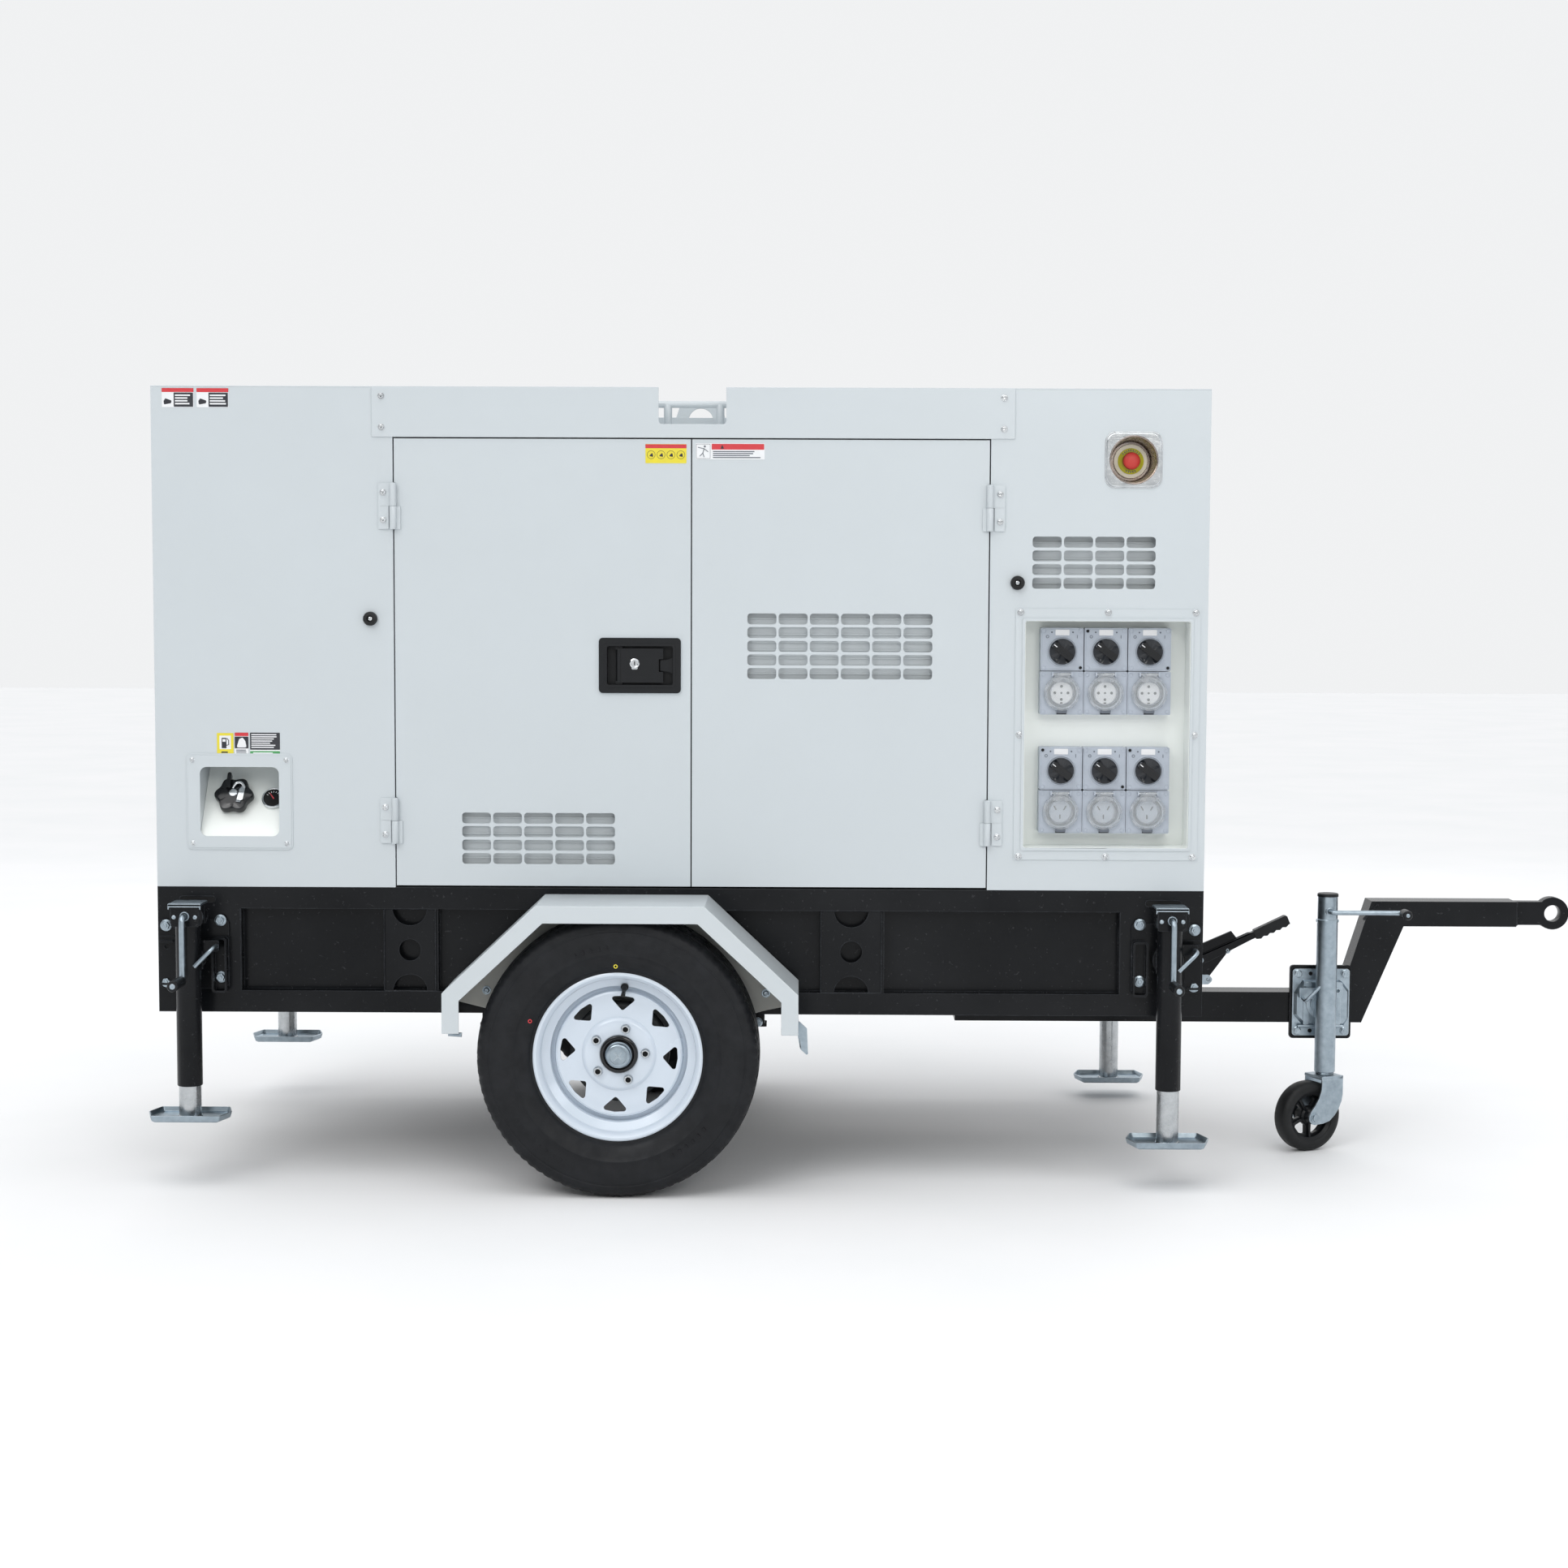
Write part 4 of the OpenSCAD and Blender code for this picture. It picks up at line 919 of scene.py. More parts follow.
FINISHES: dict[str, Finish] = {
    "canopy": PowderCoat("canopy_white_powder_coat", "#c1c8cc", "#a9adad"),
    # a paler white than the canopy paint, for the linings of the outlet tray and the filler box: painted light standing
    # in for the bounce light in these recesses, with a little real dust
    "cream": PowderCoat("recess_cream_powder_coat", "#eaeeeb", "#cdccc2", roughness=0.4, coat=0.1),
    "frame": FramePaint("frame_black_enamel"),
    "guard_back": PowderCoat("guard_backing_primer", "#c6c6c0", "#a09d94", roughness=0.5, coat=0.0,
                        dust=0.25),
    "zinc": ZincPlate("zinc_blue_passivate"),
    "bright": ZincPlate("ground_steel_tube", "#c2c5c7", "#a3a7aa", 0.24, 4.0),
    "chrome": PolishedMetal("chrome_plate"),
    # a darker, brownish copy of the chrome for the e-stop's cup: painted shade inside the recess; its higher roughness
    # is the chrome's own
    "dull_chrome": PolishedMetal("chrome_plate_dull", "#8f7f74", 0.2),
    "rim": PowderCoat("rim_white_enamel", "#cdd7e2", "#a4a8a8", roughness=0.22, coat=0.5, dust=0.04),
    "tyre": Rubber("tyre_rubber"),
    "rubber": Rubber("moulded_rubber", "#121314", "#3c3d3e", 0.5, 0.18),
    "nylon": MouldedPlastic("black_glass_filled_nylon", "#141619", 0.4, 0.8, 0.06, 0.3),
    "gloss_black": MouldedPlastic("gloss_black_abs", "#0d0f12", 0.14, 2.0, 0.02),
    "knob_grey": MouldedPlastic("charcoal_abs", "#1c2026", 0.16, 1.0, 0.03),
    "outlet_grey": MouldedPlastic("grey_polycarbonate", "#abb3be", 0.36, 1.0, 0.04),
    "outlet_white": MouldedPlastic("white_polycarbonate", "#dfe0e2", 0.34, 1.0, 0.03),
    "clear": ClearPlastic("clear_polycarbonate"),
    "smoked": ClearPlastic("clear_polycarbonate_thick", "#9aa2aa", 0.42),
    "red": MouldedPlastic("red_nylon", "#cf3a32", 0.38, 1.0, 0.04),
    "yellow": MouldedPlastic("yellow_polyester", "#d2cd2c", 0.42, 1.2, 0.03),
    "ivory": MouldedPlastic("ivory_polyester", "#f6f0dc", 0.42, 1.2, 0.03),
    "engine": CastMetal("engine_grey_green_enamel", "#4d5f56"),
    "alternator": CastMetal("alternator_grey_enamel", "#4c535a", roughness=0.45),
    "radiator": CastMetal("radiator_matt_black", "#1d2022", roughness=0.6),
    "exhaust": CastMetal("aluminised_steel", "#8f9192", 0.85, 0.45),
    "tank": MouldedPlastic("black_polyethylene", "#1b1d1f", 0.5, 3.0, 0.10),
    # matt near-black, borrowed from the rubber finish: painted shade that fills nut bores, spare holes, a rail slot,
    # screw hollows, socket pin holes and a keyway; also the real black face of the fuel gauge's dial
    "dark": Rubber("dark_cavity", "#0b0c0d", "#151617", 0.7, 0.1),
    "vinyl_white": PrintedVinyl("sticker_white", "#e4e6e8"),
    "vinyl_red": PrintedVinyl("sticker_red", "#c8323a"),
    "vinyl_yellow": PrintedVinyl("sticker_yellow", "#dfd034"),
    "vinyl_black": PrintedVinyl("sticker_black", "#23252d"),
    "vinyl_green": PrintedVinyl("sticker_green", "#4a9a5c"),
    "print_grey": PrintedVinyl("print_grey", "#59606a"),
    # the baffles' white paint drawn darker grey: painted shade behind the vent slots, with a little real dust
    "baffle": PowderCoat("baffle_grey_powder_coat", "#b9bfc2", "#8f9290", roughness=0.55, coat=0.0,
                        dust=0.2),
}


class Palette:
    """Every finish on the trailer, made once and read as an attribute."""

    def __init__(self) -> None:
        """Makes all the materials."""
        self.made = {key: finish.build() for key, finish in FINISHES.items()}

    def __getattr__(self, key: str) -> Material:
        """Gives the material of a finish in the table."""
        return self.made[key]


class SubAssembly:
    """A part of the trailer that is built in one go."""

    def build(self, places: Frame, paint: Palette) -> None:
        """Dresses its CAD nodes and adds its pieces.

        Args:
            places: the frame's places.
            paint: the finishes.
        """
        raise NotImplementedError


# Running gear


@dataclass
class RoadWheel(SubAssembly):
    """A 14 inch steel wheel with its tyre, hub and nuts, on one side of the axle."""

    side: Side
    outer: float = 317
    half_tread: float = 92.5
    flange: float = 190
    windows: int = 8
    nuts: int = 5
    nut_circle: float = 60
    tread_steps: int = 264

    def build(self, places: Frame, paint: Palette) -> None:
        """Builds the tyre, the rim and the hub."""
        self.body = f"wheel_{self.side.value}"
        self.hub_at = places.joint(f"wheel_{self.side.value}_turn")
        self.tyre(paint)
        self.rim(paint)
        self.hub(paint)

    def piece(self, name: str) -> Piece:
        """Starts a piece at the wheel's middle."""
        return Piece(f"{self.body}_{name}", self.hub_at, self.side)

    def tread(self, k: int, i: int) -> tuple[float, float]:
        """Cuts the shoulder notches and the tread's cross cuts.

        Args:
            k: number of the profile point.
            i: number of the step round the tyre.

        Returns:
            What to add to the radius and to the height.
        """
        notch = i % 3 == 0
        if k in self.shoulder and notch:
            return (-2.6, 0)
        if k in self.crown and (i + k) % 6 == 0:
            return (-2.0, 0)
        return (0, 0)

    def tyre(self, paint: Palette) -> None:
        """Builds the tyre: beads, ringed sidewalls, notched shoulders and four grooves."""
        r, w = self.outer, self.half_tread
        wall = [(180, 62), (189, 66), (196, 67.5), (199, 72), (203, 76), (212, 80.5), (224, 85.5), (232, 88),
                (233, 88.9), (235.5, 89.2), (236.5, 88.9), (250, 91), (262, 92.2), (274, 92.4), (284, 91.6),
                (285, 90.8), (288, 90.5), (289, 91), (r - 20, 89.2), (r - 17, 88.6)]
        shoulder = [(r - 13.5, 87.5), (r - 8, 82), (r - 4.5, 76), (r - 3, 71)]
        half = [(r - 2.4, 64), (r - 9.5, 63.2), (r - 9.5, 57), (r - 1.6, 56.2), (r - 0.9, 40), (r - 0.7, 26),
                (r - 9, 25.2), (r - 9, 18), (r - 0.4, 17.2), (r, 0)]
        outer = wall + shoulder + half
        profile = outer + [(a, -b) for a, b in outer[-2::-1]]
        inner = [(180, -58), (206, -66), (250, -80), (292, -74), (r - 16, -40), (r - 15, 0), (r - 16, 40),
                 (292, 74), (250, 80), (206, 66), (180, 58), (180, 62)]
        first = len(wall)
        last = len(profile) - 1
        near = set(range(first, first + len(shoulder)))
        self.shoulder = near | {last - k for k in near}
        crown = {k for k in range(first + len(shoulder), last - first - len(shoulder) + 1)
                 if profile[k][0] > r - 3}
        self.crown = crown
        piece = self.piece("tyre").use(paint.tyre)
        piece.lathe(profile + inner, steps=self.tread_steps, shape=self.tread)
        # moulded blocks on the sidewall, in place of raised words
        for start, count, radius in ((38, 9, 262), (212, 8, 262), (95, 5, 250), (300, 6, 250)):
            for i in range(count):
                turn = math.radians(start + i * 4.2)
                spot = Matrix.Rotation(-turn, 3, "Y")
                piece.at(radius * math.cos(turn), 0, radius * math.sin(turn), spot)
                piece.slab(rectangle(8.5, 3.6 + 2.4 * (i % 2), 1), -92.9, -90.2, taper=0.86)
        piece.done(self.body, slot="tyre", replaces=[f"wheel_{self.side.value}_tyre"], angle=30)
        marks = self.piece("tyre_marks")
        for material, turn, radius in ((paint.vinyl_yellow, 91, 206), (paint.vinyl_red, 157, 211)):
            angle = math.radians(turn)
            x, z = radius * math.cos(angle), radius * math.sin(angle)
            y = -79.5 if radius < 208 else -81.6
            marks.use(material).slab(ring(4.6, 20, (x, z)), y - 0.4, y + 1.2, [ring(2.6, 14, (x, z))])
        marks.done(self.body, slot="tyre")

    def rim(self, paint: Palette) -> None:
        """Builds the barrel and the pressed disc, with its windows cut out."""
        f = self.flange
        barrel = [(f - 3, 69), (f, 67.5), (f + 0.5, 64.5), (f - 1.5, 62.5), (f - 8, 62), (178.2, 61), (177.8, 44),
                  (160, 31), (158, -34), (178, -48), (178, -62), (f, -64), (f, -68), (f - 3, -69.5),
                  (174, -66), (174, -46), (154, -30), (154, 26), (155, 30), (172.5, 42), (174, 48), (174.5, 58),
                  (178, 64), (183, 68.4), (f - 3, 69)]
        piece = self.piece("rim").use(paint.rim)
        piece.lathe(barrel, steps=128)
        piece.done(self.body, slot="white_paint", replaces=[f"wheel_{self.side.value}_rim"], angle=32)
        front = [(43, 18), (43, 30.5), (46, 31.8), (74, 31.8), (78, 30.5), (84, 24.5), (90, 23.4), (126, 24.6),
                 (134, 27.6), (138, 28.4), (142, 26.5), (144, 20), (146, 12), (154.5, 8)]
        back = [(r, h - 4.2) for r, h in front[::-1]]
        disc = self.piece("disc").use(paint.rim)
        disc.lathe(back + front + back[:1], steps=128)
        plate = disc.done(self.body, angle=30)
        saw = self.piece("disc_saw")
        for i in range(self.windows):
            turn = spun(360 / self.windows * i + 4.4)
            saw.at(turn=turn)
            saw.slab(rounded_outline([(0, 97), (31.5, 128.5), (0, 132.5), (-31.5, 128.5)], 5.5, 6), -60, 10)
        cutter = saw.done(self.body)
        cut(plate, cutter)
        smooth(plate, 30)
        soften(plate, 0.9, 40)

    def hub(self, paint: Palette) -> None:
        """Builds the drum, the hub, the nuts, the dust cap and the valve."""
        drum = self.piece("brake_drum").use(paint.radiator)
        drum.lathe([(0, -36), (112, -36), (112, 2), (108, 6), (86, 8), (60, 12), (44, 17), (0, 17)], steps=72)
        for i in range(8):
            turn = math.radians(45 * i)
            drum.at(98 * math.cos(turn), 0, 98 * math.sin(turn)).lathe([(0, 5), (6, 7), (6, 10), (0, 10)],
                    steps=12)
        drum.done(self.body, 0.8)
        hub = self.piece("hub").use(paint.gloss_black)
        hub.lathe([(0, 10), (42.6, 10), (42.6, 33), (41, 36), (37.5, 37.6), (34.5, 37.2), (33, 35), (31, 34.5),
                   (30, 40), (27.5, 41), (0, 41)], steps=64)
        hub.done(self.body, 0.5, slot="black_paint")
        cap = self.piece("dust_cap").use(paint.zinc)
        cap.lathe([(0, 38), (29.5, 38), (29.8, 41), (28, 43), (27.2, 43.6), (27.2, 55), (26.2, 58), (23.4, 59.6),
                   (19.5, 59.6), (18.6, 58.4), (17.5, 58.2), (0, 58.6)], steps=64)
        for turn in (45, 135):
            cap.at(turn=spun(turn)).slab(rectangle(25, 2.2, 1), -59.3, -58, taper=0.9)
        cap.done(self.body, 0.4, slot="zinc")
        nuts = self.piece("wheel_nuts")
        for i in range(self.nuts):
            turn = math.radians(360 / self.nuts * i + 75)
            nuts.at(self.nut_circle * math.cos(turn), 0, self.nut_circle * math.sin(turn))
            nuts.use(paint.rim).lathe([(13.2, 31), (12.6, 32.6), (11, 33), (9.4, 30)], steps=32)
            nuts.use(paint.bright).lathe([(0, 28), (9.6, 28), (9.6, 32), (8.8, 33.5)], steps=24)
            nuts.slab(ring(10.2, 6, phase=20), -43.5, -33, [ring(6.6, 20)], taper=0.93)
            # a dark plug in each nut's bore: painted shade
            nuts.use(paint.dark).lathe([(6.8, 33), (6.8, 38.5), (5.2, 39.6), (0, 40)], steps=20)
        nuts.done(self.body, 0.4, slot="zinc")
        valve = self.piece("valve").use(paint.rubber)
        turn = math.radians(85)
        foot = Vector((154 * math.cos(turn), -33, 154 * math.sin(turn)))
        lean = Vector((-math.cos(turn) * 0.35, -0.92, -math.sin(turn) * 0.35)).normalized()
        valve.at(*foot).lathe([(0, -3), (8.5, -2), (8.8, 3), (6.2, 6), (5.6, 14), (4.4, 20), (4.4, 31)],
                              axis=lean, steps=24)
        valve.lathe([(4.4, 31), (5, 31), (5, 40), (4.2, 41.5), (0, 41.8)], axis=lean, steps=12)
        valve.done(self.body, slot="tyre")


@dataclass
class Mudguards(SubAssembly):
    """Inner backing panels, bolts, flap and stay ends of the white mudguards."""

    side: Side
    reach: float = 225

    def build(self, places: Frame, paint: Palette) -> None:
        """Builds what the CAD guard leaves out on one side."""
        axle = places.joint(f"wheel_{self.side.value}_turn")
        name = self.side.value
        sign = -1 if self.side is Side.NEAR else 1
        anchor = Vector((axle.x + 0.008, sign * 0.48, axle.z))
        back = Piece(f"guard_{name}_backing", anchor, self.side).use(paint.guard_back)
        edge = [(-388, 96), (-300, 74), (-262, 66), (-262, 40), (262, 40), (262, 62), (320, 78), (388, 92),
                (388, 140), (184, 338), (-184, 338), (-388, 140)]
        back.slab(edge, -5, -2)
        back.done("trailer", 0.6, slot="white_paint")
        bolts = Piece(f"guard_{name}_bolts", anchor, self.side).use(paint.zinc)
        for x, z in ((-322, 122), (320, 118), (-150, 300), (150, 300)):
            bolts.screw(x, z, -5, 6.5, 4.5, 10)
        bolts.done("trailer", slot="zinc")
        flap = Piece(f"guard_{name}_flap", anchor, self.side).use(paint.zinc)
        flap.at(398, 0, 48, spun(-10))
        flap.slab(rounded_outline([(-3, -22), (12, -42), (20, 20), (2, 44)], 3), -self.reach + 16,
                  -self.reach + 20)
        flap.block((-3, -self.reach + 16, -20), (0, -30, 30))
        flap.at()
        flap.rod([(-382, -self.reach + 14, 56), (-352, -self.reach + 14, 54)], 5)
        flap.done("trailer", 0.5, slot="zinc")
        lip = Piece(f"guard_{name}_seams", anchor, self.side).use(paint.canopy)
        for x, y in ((90, -self.reach + 30), (-90, -self.reach + 30)):
            lip.block((x, y, 340.5), (x + 4, -20, 343.5))
        lip.done("trailer", 0.5, slot="white_paint")


@dataclass
class CornerJack(SubAssembly):
    """A swivelling corner jack with its mount: tube, gear head, crank, leg and foot."""

    corner: str
    side: Side
    tube_r: float = 28.5
    head_up: float = 98
    crank_out: float = 59
    crank_drop: float = 142
    foot_l: float = 190
    foot_w: float = 110

    def build(self, places: Frame, paint: Palette) -> None:
        """Builds the jack around its swivel."""
        self.name = f"jack_{self.corner}_{self.side.value}"
        self.pivot = places.joint(f"{self.name}_swivel")
        self.outward = 1 if self.corner == "rear" else -1
        self.mount(paint)
        self.tube(places, paint)
        self.leg(paint)
        self.crank(paint)

    def piece(self, part: str, at: Optional[Vector] = None) -> Piece:
        """Starts a piece at the swivel, or at another point."""
        return Piece(f"{self.name}_{part}", self.pivot if at is None else at, self.side)

    def mount(self, paint: Palette) -> None:
        """Builds the bolted plate and the channel that the jack swings in."""
        s = self.outward
        face = 57
        plate = self.piece("mount").use(paint.frame)
        plate.slab(rectangle(160, 160, 9), face, face + 8)
        plate.lathe([(0, -face - 1), (21.9, -face - 1), (21.9, -33), (20, -31), (0, -31)], steps=40)
        x0, x1 = sorted((s * 44, s * 78))
        channel = span(x0, -86, x1, 40, 7)
        inner = span(x0 + 4, -82, x1 - 4, 36, 5)
        plate.slab(channel, 35, face + 1, [inner])
        x0, x1 = sorted((-s * 80, -s * 42))
        plate.slab(span(x0, -70, x1, 42, 6), face - 5, face + 1,
                   [ring(6.5, 20, ((x0 + x1) / 2, 18))])
        for z in (-68, 30):
            plate.slab(rectangle(30, 5, 2, (-s * 61, z)), face - 14, face + 1)
        plate.done("trailer", 0.9, slot="black_paint")
        bolts = self.piece("bolts").use(paint.zinc)
        for x, z in ((s * 61, 78), (s * 61, -53), (-s * 64, 66), (-s * 64, -64)):
            bolts.bolt(x, z, face, 17, 9, 13.5)
        bolts.done("trailer", 0.4, slot="zinc")

    def tube(self, places: Frame, paint: Palette) -> None:
        """Builds the outer tube, the gear head with its cap, the swivel boss and the pull pin."""
        low = (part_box(f"{self.name}_tube")[0].z - self.pivot.z) / MM
        top = self.head_up
        r = self.tube_r
        tube = self.piece("tube").use(paint.frame)
        tube.lathe([(r - 2.9, low + 20), (r - 2.9, low), (r - 0.8, low), (r, low + 1.2), (r, top)], UP, 48)
        head = span(-31.5, top - 24, 31.5, top + 24, 3)
        tube.slab(head, -32, 32)
        tube.slab(rounded_outline([(-33.5, top - 17), (-31, -17 + top), (-31, top + 23), (-33.5, top + 23)], 1),
                  -30, 30)
        tube.slab(rounded_outline([(31, top - 22), (35, top - 22), (40, top - 8), (40, top + 6), (35, top + 14),
                                   (31, top + 18)], 2), -27, -22)
        tube.slab(rounded_outline([(31, top - 22), (35, top - 22), (40, top - 8), (40, top + 6), (35, top + 14),
                                   (31, top + 18)], 2), 22, 27)
        tube.lathe([(0, -53.5), (36, -53.5), (36, -24), (34.5, -22), (0, -22)], steps=48)
        tube.weld([(-26, 20, -30), (-26, 20, 30)], 3.2, 3).weld([(26, 20, -30), (26, 20, 30)], 3.2, 4)
        tube.done(f"{self.name}_tube", 0.8, slot="black_paint", replaces=[f"{self.name}_tube"])
        cap = self.piece("cap").use(paint.zinc)
        cap.slab(span(-37, top + 23.5, 37, top + 29.3, 2.4),
                 -36, 36)
        cap.slab(rounded_outline([(-37, top + 16), (-35, top + 16), (-34, top + 21), (34, top + 21),
                                  (35, top + 16), (37, top + 16), (37, top + 27), (-37, top + 27)], 1.5), -36, -33)
        for x in (-24, 24):
            cap.screw(x, top - 2, -32, 5, 3.4)
        cap.at(0, 0, top).lathe([(8.3, 30), (11, 30), (11, 34.4), (9.8, 35.8), (8.3, 35.8)], steps=28)
        cap.done(f"{self.name}_tube", 0.5, slot="zinc")
        pin = self.piece("pull_pin").use(paint.frame)
        pin.slab(span(24, 12, 66, 37, 4), 14, 26)
        pin.use(paint.zinc)
        pin.rod([(60, 30, 24), (60, -22, 24), (18, -22, -18)], 5, 16, 14)
        pin.lathe([(5.2, 0), (8.5, 0), (8.5, 3), (5.2, 3)], steps=20)
        pin.done(f"{self.name}_tube", 0.4, slot="zinc")

    def leg(self, paint: Palette) -> None:
        """Builds the bright inner tube and the dished foot plate."""
        foot_z = (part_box(f"{self.name}_leg")[0].z - self.pivot.z) / MM
        r = self.tube_r - 3.4
        leg = self.piece("leg").use(paint.bright)
        leg.lathe([(0, foot_z + 4), (r, foot_z + 4), (r, foot_z + 328), (r - 4, foot_z + 329),
                   (0, foot_z + 329)], UP, 48)
        leg.weld([(-r, 0, foot_z + 6.5), (-r + 0.1, 0, foot_z + 9)], 2)
        for i in range(24):
            a, b = (math.radians(t) for t in (15 * i, 15 * i + 15))
            leg.rod([(r * math.cos(a), r * math.sin(a), foot_z + 7),
                     (r * math.cos(b), r * math.sin(b), foot_z + 7)],
                    2.6, 8)
        leg.done(f"{self.name}_leg", 0, slot="zinc", replaces=[f"{self.name}_leg"])
        foot = self.piece("foot").use(paint.zinc)
        x, y = self.foot_l / 2, self.foot_w / 2
        plan = rounded_outline([(-x, 0), (-x + 16, -y), (x - 16, -y), (x, 0), (x - 16, y), (-x + 16, y)], 5)
        rows = []
        for share, z in ((0.90, 0), (0.96, 3), (1.0, 15.5), (0.975, 16), (0.93, 6), (0.88, 5)):
            rows.append([(px * share, py * share, foot_z + z) for px, py in plan])
        foot.loft(rows)
        foot.done(f"{self.name}_leg", 0.3, slot="zinc")

    def crank(self, paint: Palette) -> None:
        """Builds the crank: bent round arm, and a tapered grip with a bright core."""
        top, drop, out = self.head_up, self.crank_drop, self.crank_out
        arm = self.piece("crank").use(paint.zinc)
        arm.rod([(0, -8, top), (0, -out, top), (0, -out, top - drop), (0, -out - 14, top - drop)], 6.6, 18, 13)
        end = (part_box(f"{self.name}_crank")[0].y if self.side is Side.NEAR else -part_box(f"{self.name}_crank")[1].y)
        reach = (abs(end) - abs(self.pivot.y)) / MM
        arm.at(0, 0, top - drop).lathe([(0, reach - 6), (6.2, reach - 6), (6.2, reach - 0.6), (5.4, reach),
                                        (3.4, reach),
                                        (3.2, reach - 1.4), (0, reach - 1.4)], steps=24)
        arm.lathe([(8.8, out + 8), (9.5, out + 8), (9.5, out + 11), (7, out + 11)], steps=24)
        arm.done(f"{self.name}_crank", 0.3, slot="zinc", replaces=[f"{self.name}_crank"])
        grip = self.piece("grip").use(paint.nylon).at(0, 0, top - drop)

        def flutes(k: int, i: int) -> tuple[float, float]:
            """Presses finger flutes into the middle of the grip."""
            return (-0.7, 0) if 2 <= k <= 6 and i % 4 == 0 else (0, 0)

        grip.lathe([(7, out + 9), (9.4, out + 9.4), (11.6, out + 12), (12.2, out + 22), (12, out + 40),
                    (12.2, out + 62),
                    (12.6, reach - 8), (12.6, reach - 3), (11.4, reach - 1.2), (9, reach - 1), (6.4, reach - 1.6),
                    (6.4, reach - 6)], steps=40, shape=flutes)
        grip.done(f"{self.name}_crank", 0, slot="black_plastic")


@dataclass
class JockeyWheel(SubAssembly):
    """The front castor: bolted clamp plate, winding tube, fork and spoked wheel."""

    tube_r: float = 25

    def build(self, places: Frame, paint: Palette) -> None:
        """Builds the whole jockey wheel."""
        self.pivot = places.joint("jockey_swivel")
        axle = places.joints["jockey_wheel_turn"]["axis"]
        turned = Vector(axle) if axle[1] > 0 else -Vector(axle)
        self.castor = Matrix.Rotation(math.atan2(-turned.x, turned.y), 3, "Z")
        self.clamp(paint)
        self.tube(places, paint)
        self.fork(places, paint)
        self.wheel(places, paint)
        self.crank(places, paint)

    def clamp(self, paint: Palette) -> None:
        """Builds the black backing plate and the pressed zinc clamp, with bolts."""
        face = 65
        back = Piece("jockey_backing", self.pivot).use(paint.frame)
        back.slab(rectangle(152, 182, 9), face, face + 10)
        back.done("trailer", 1.0, slot="black_paint", replaces=["jack_brackets"])
        plate = Piece("jockey_clamp", self.pivot).use(paint.zinc)
        holes = [ring(5.2, 20, (-26, z)) for z in (-71, 71)]
        plate.slab(rectangle(140, 166, 8), face - 6, face + 0.5, holes)
        body = rounded_outline([(-68, -32), (-44, -58), (58, -58), (69, -40), (69, 30), (52, 52), (44, 56),
                                (-46, 56), (-68, 24)], 5)
        plate.slab(body, face - 15, face - 5, taper=0.9)
        plate.slab(span(-45, -54, -33, 52, 3), face - 20, face - 12)
        plate.slab(span(33, -54, 46, 18, 3), face - 20, face - 12)
        plate.rod([(-58, face - 17, -58), (52, face - 17, -58)], 4.2, 14)
        plate.slab(rectangle(22, 38, 5, (37, 34)), face - 30, face - 12, [ring(4.4, 20, (37, 32))])
        plate.slab(rectangle(13, 30, 3, (-34, 36)), face - 26, face - 12)
        plate.lathe([(0, -face + 4), (17.9, -face + 4), (17.9, -28), (16, -26), (0, -26)], steps=36)
        for x in (-58, 58):
            for z in (-71, 71):
                plate.bolt(x, z, face - 6, 15, 7, 10.5)
        # dark discs behind the two spare holes: painted shade seen through them
        plate.use(paint.dark)
        for z in (-71, 71):
            plate.slab(ring(5.4, 20, (-26, z)), face - 0.6, face)
        plate.done("trailer", 0.7, slot="zinc")

    def tube(self, places: Frame, paint: Palette) -> None:
        """Builds the outer tube with its cap, collar, swivel disc and pull pin."""
        low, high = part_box("jockey_tube")
        bottom, top = (low.z - self.pivot.z) / MM, (high.z - self.pivot.z) / MM
        r = self.tube_r
        crank_up = (places.joint("jockey_crank_turn").z - self.pivot.z) / MM
        tube = Piece("jockey_tube_shell", self.pivot).use(paint.zinc)
        tube.lathe([(r - 2.5, bottom + 14), (r - 2.5, bottom), (r - 0.8, bottom), (r, bottom + 1),
                    (r, crank_up - 28),
                    (r + 0.6, crank_up - 26), (r + 0.6, crank_up - 22), (r - 0.8, crank_up - 20),
                    (r - 1.2, top - 7), (0, top - 7)], UP, 56)
        for s in (-1, 1):
            tube.slab(rounded_outline([(s * 23.4, crank_up - 30), (s * 27, crank_up - 28),
                                       (s * 27, crank_up - 22),
                                       (s * 23.4, crank_up - 20)][::s], 1), -5, 5)
        tube.at(0, 0, crank_up).lathe([(6.2, r - 3), (9.8, r - 3), (9.6, r + 2.5), (8.4, r + 3.5),
                                       (6.2, r + 3.5)], steps=28)
        tube.at()
        tube.lathe([(0, -56), (40, -56), (40, -45), (38.5, -43.6), (30, -43), (29, -38), (0, -38)], steps=56)
        tube.slab(span(-22, -34, 22, 34, 5), 14, 44)
        tube.slab(span(-60, 14, -18, 40, 4), 22, 34)
        tube.done("jockey_tube", 0.5, slot="zinc", replaces=["jockey_tube"])
        pin = Piece("jockey_pull_pin", self.pivot).use(paint.zinc)
        pin.rod([(-52, 40, 16), (-52, -14, 14), (-8, -14, 58)], 4.2, 14, 9)
        pin.done("jockey_tube", slot="zinc")
        cap = Piece("jockey_top_cap", self.pivot).use(paint.nylon)
        cap.lathe([(0, top - 8), (r + 0.4, top - 8), (r + 0.4, top - 2.4), (r - 1.6, top - 0.4), (0, top)], UP,
                  48)
        cap.done("jockey_tube", slot="black_plastic")
        places.dress("jockey_leg", paint.bright, 0.4)

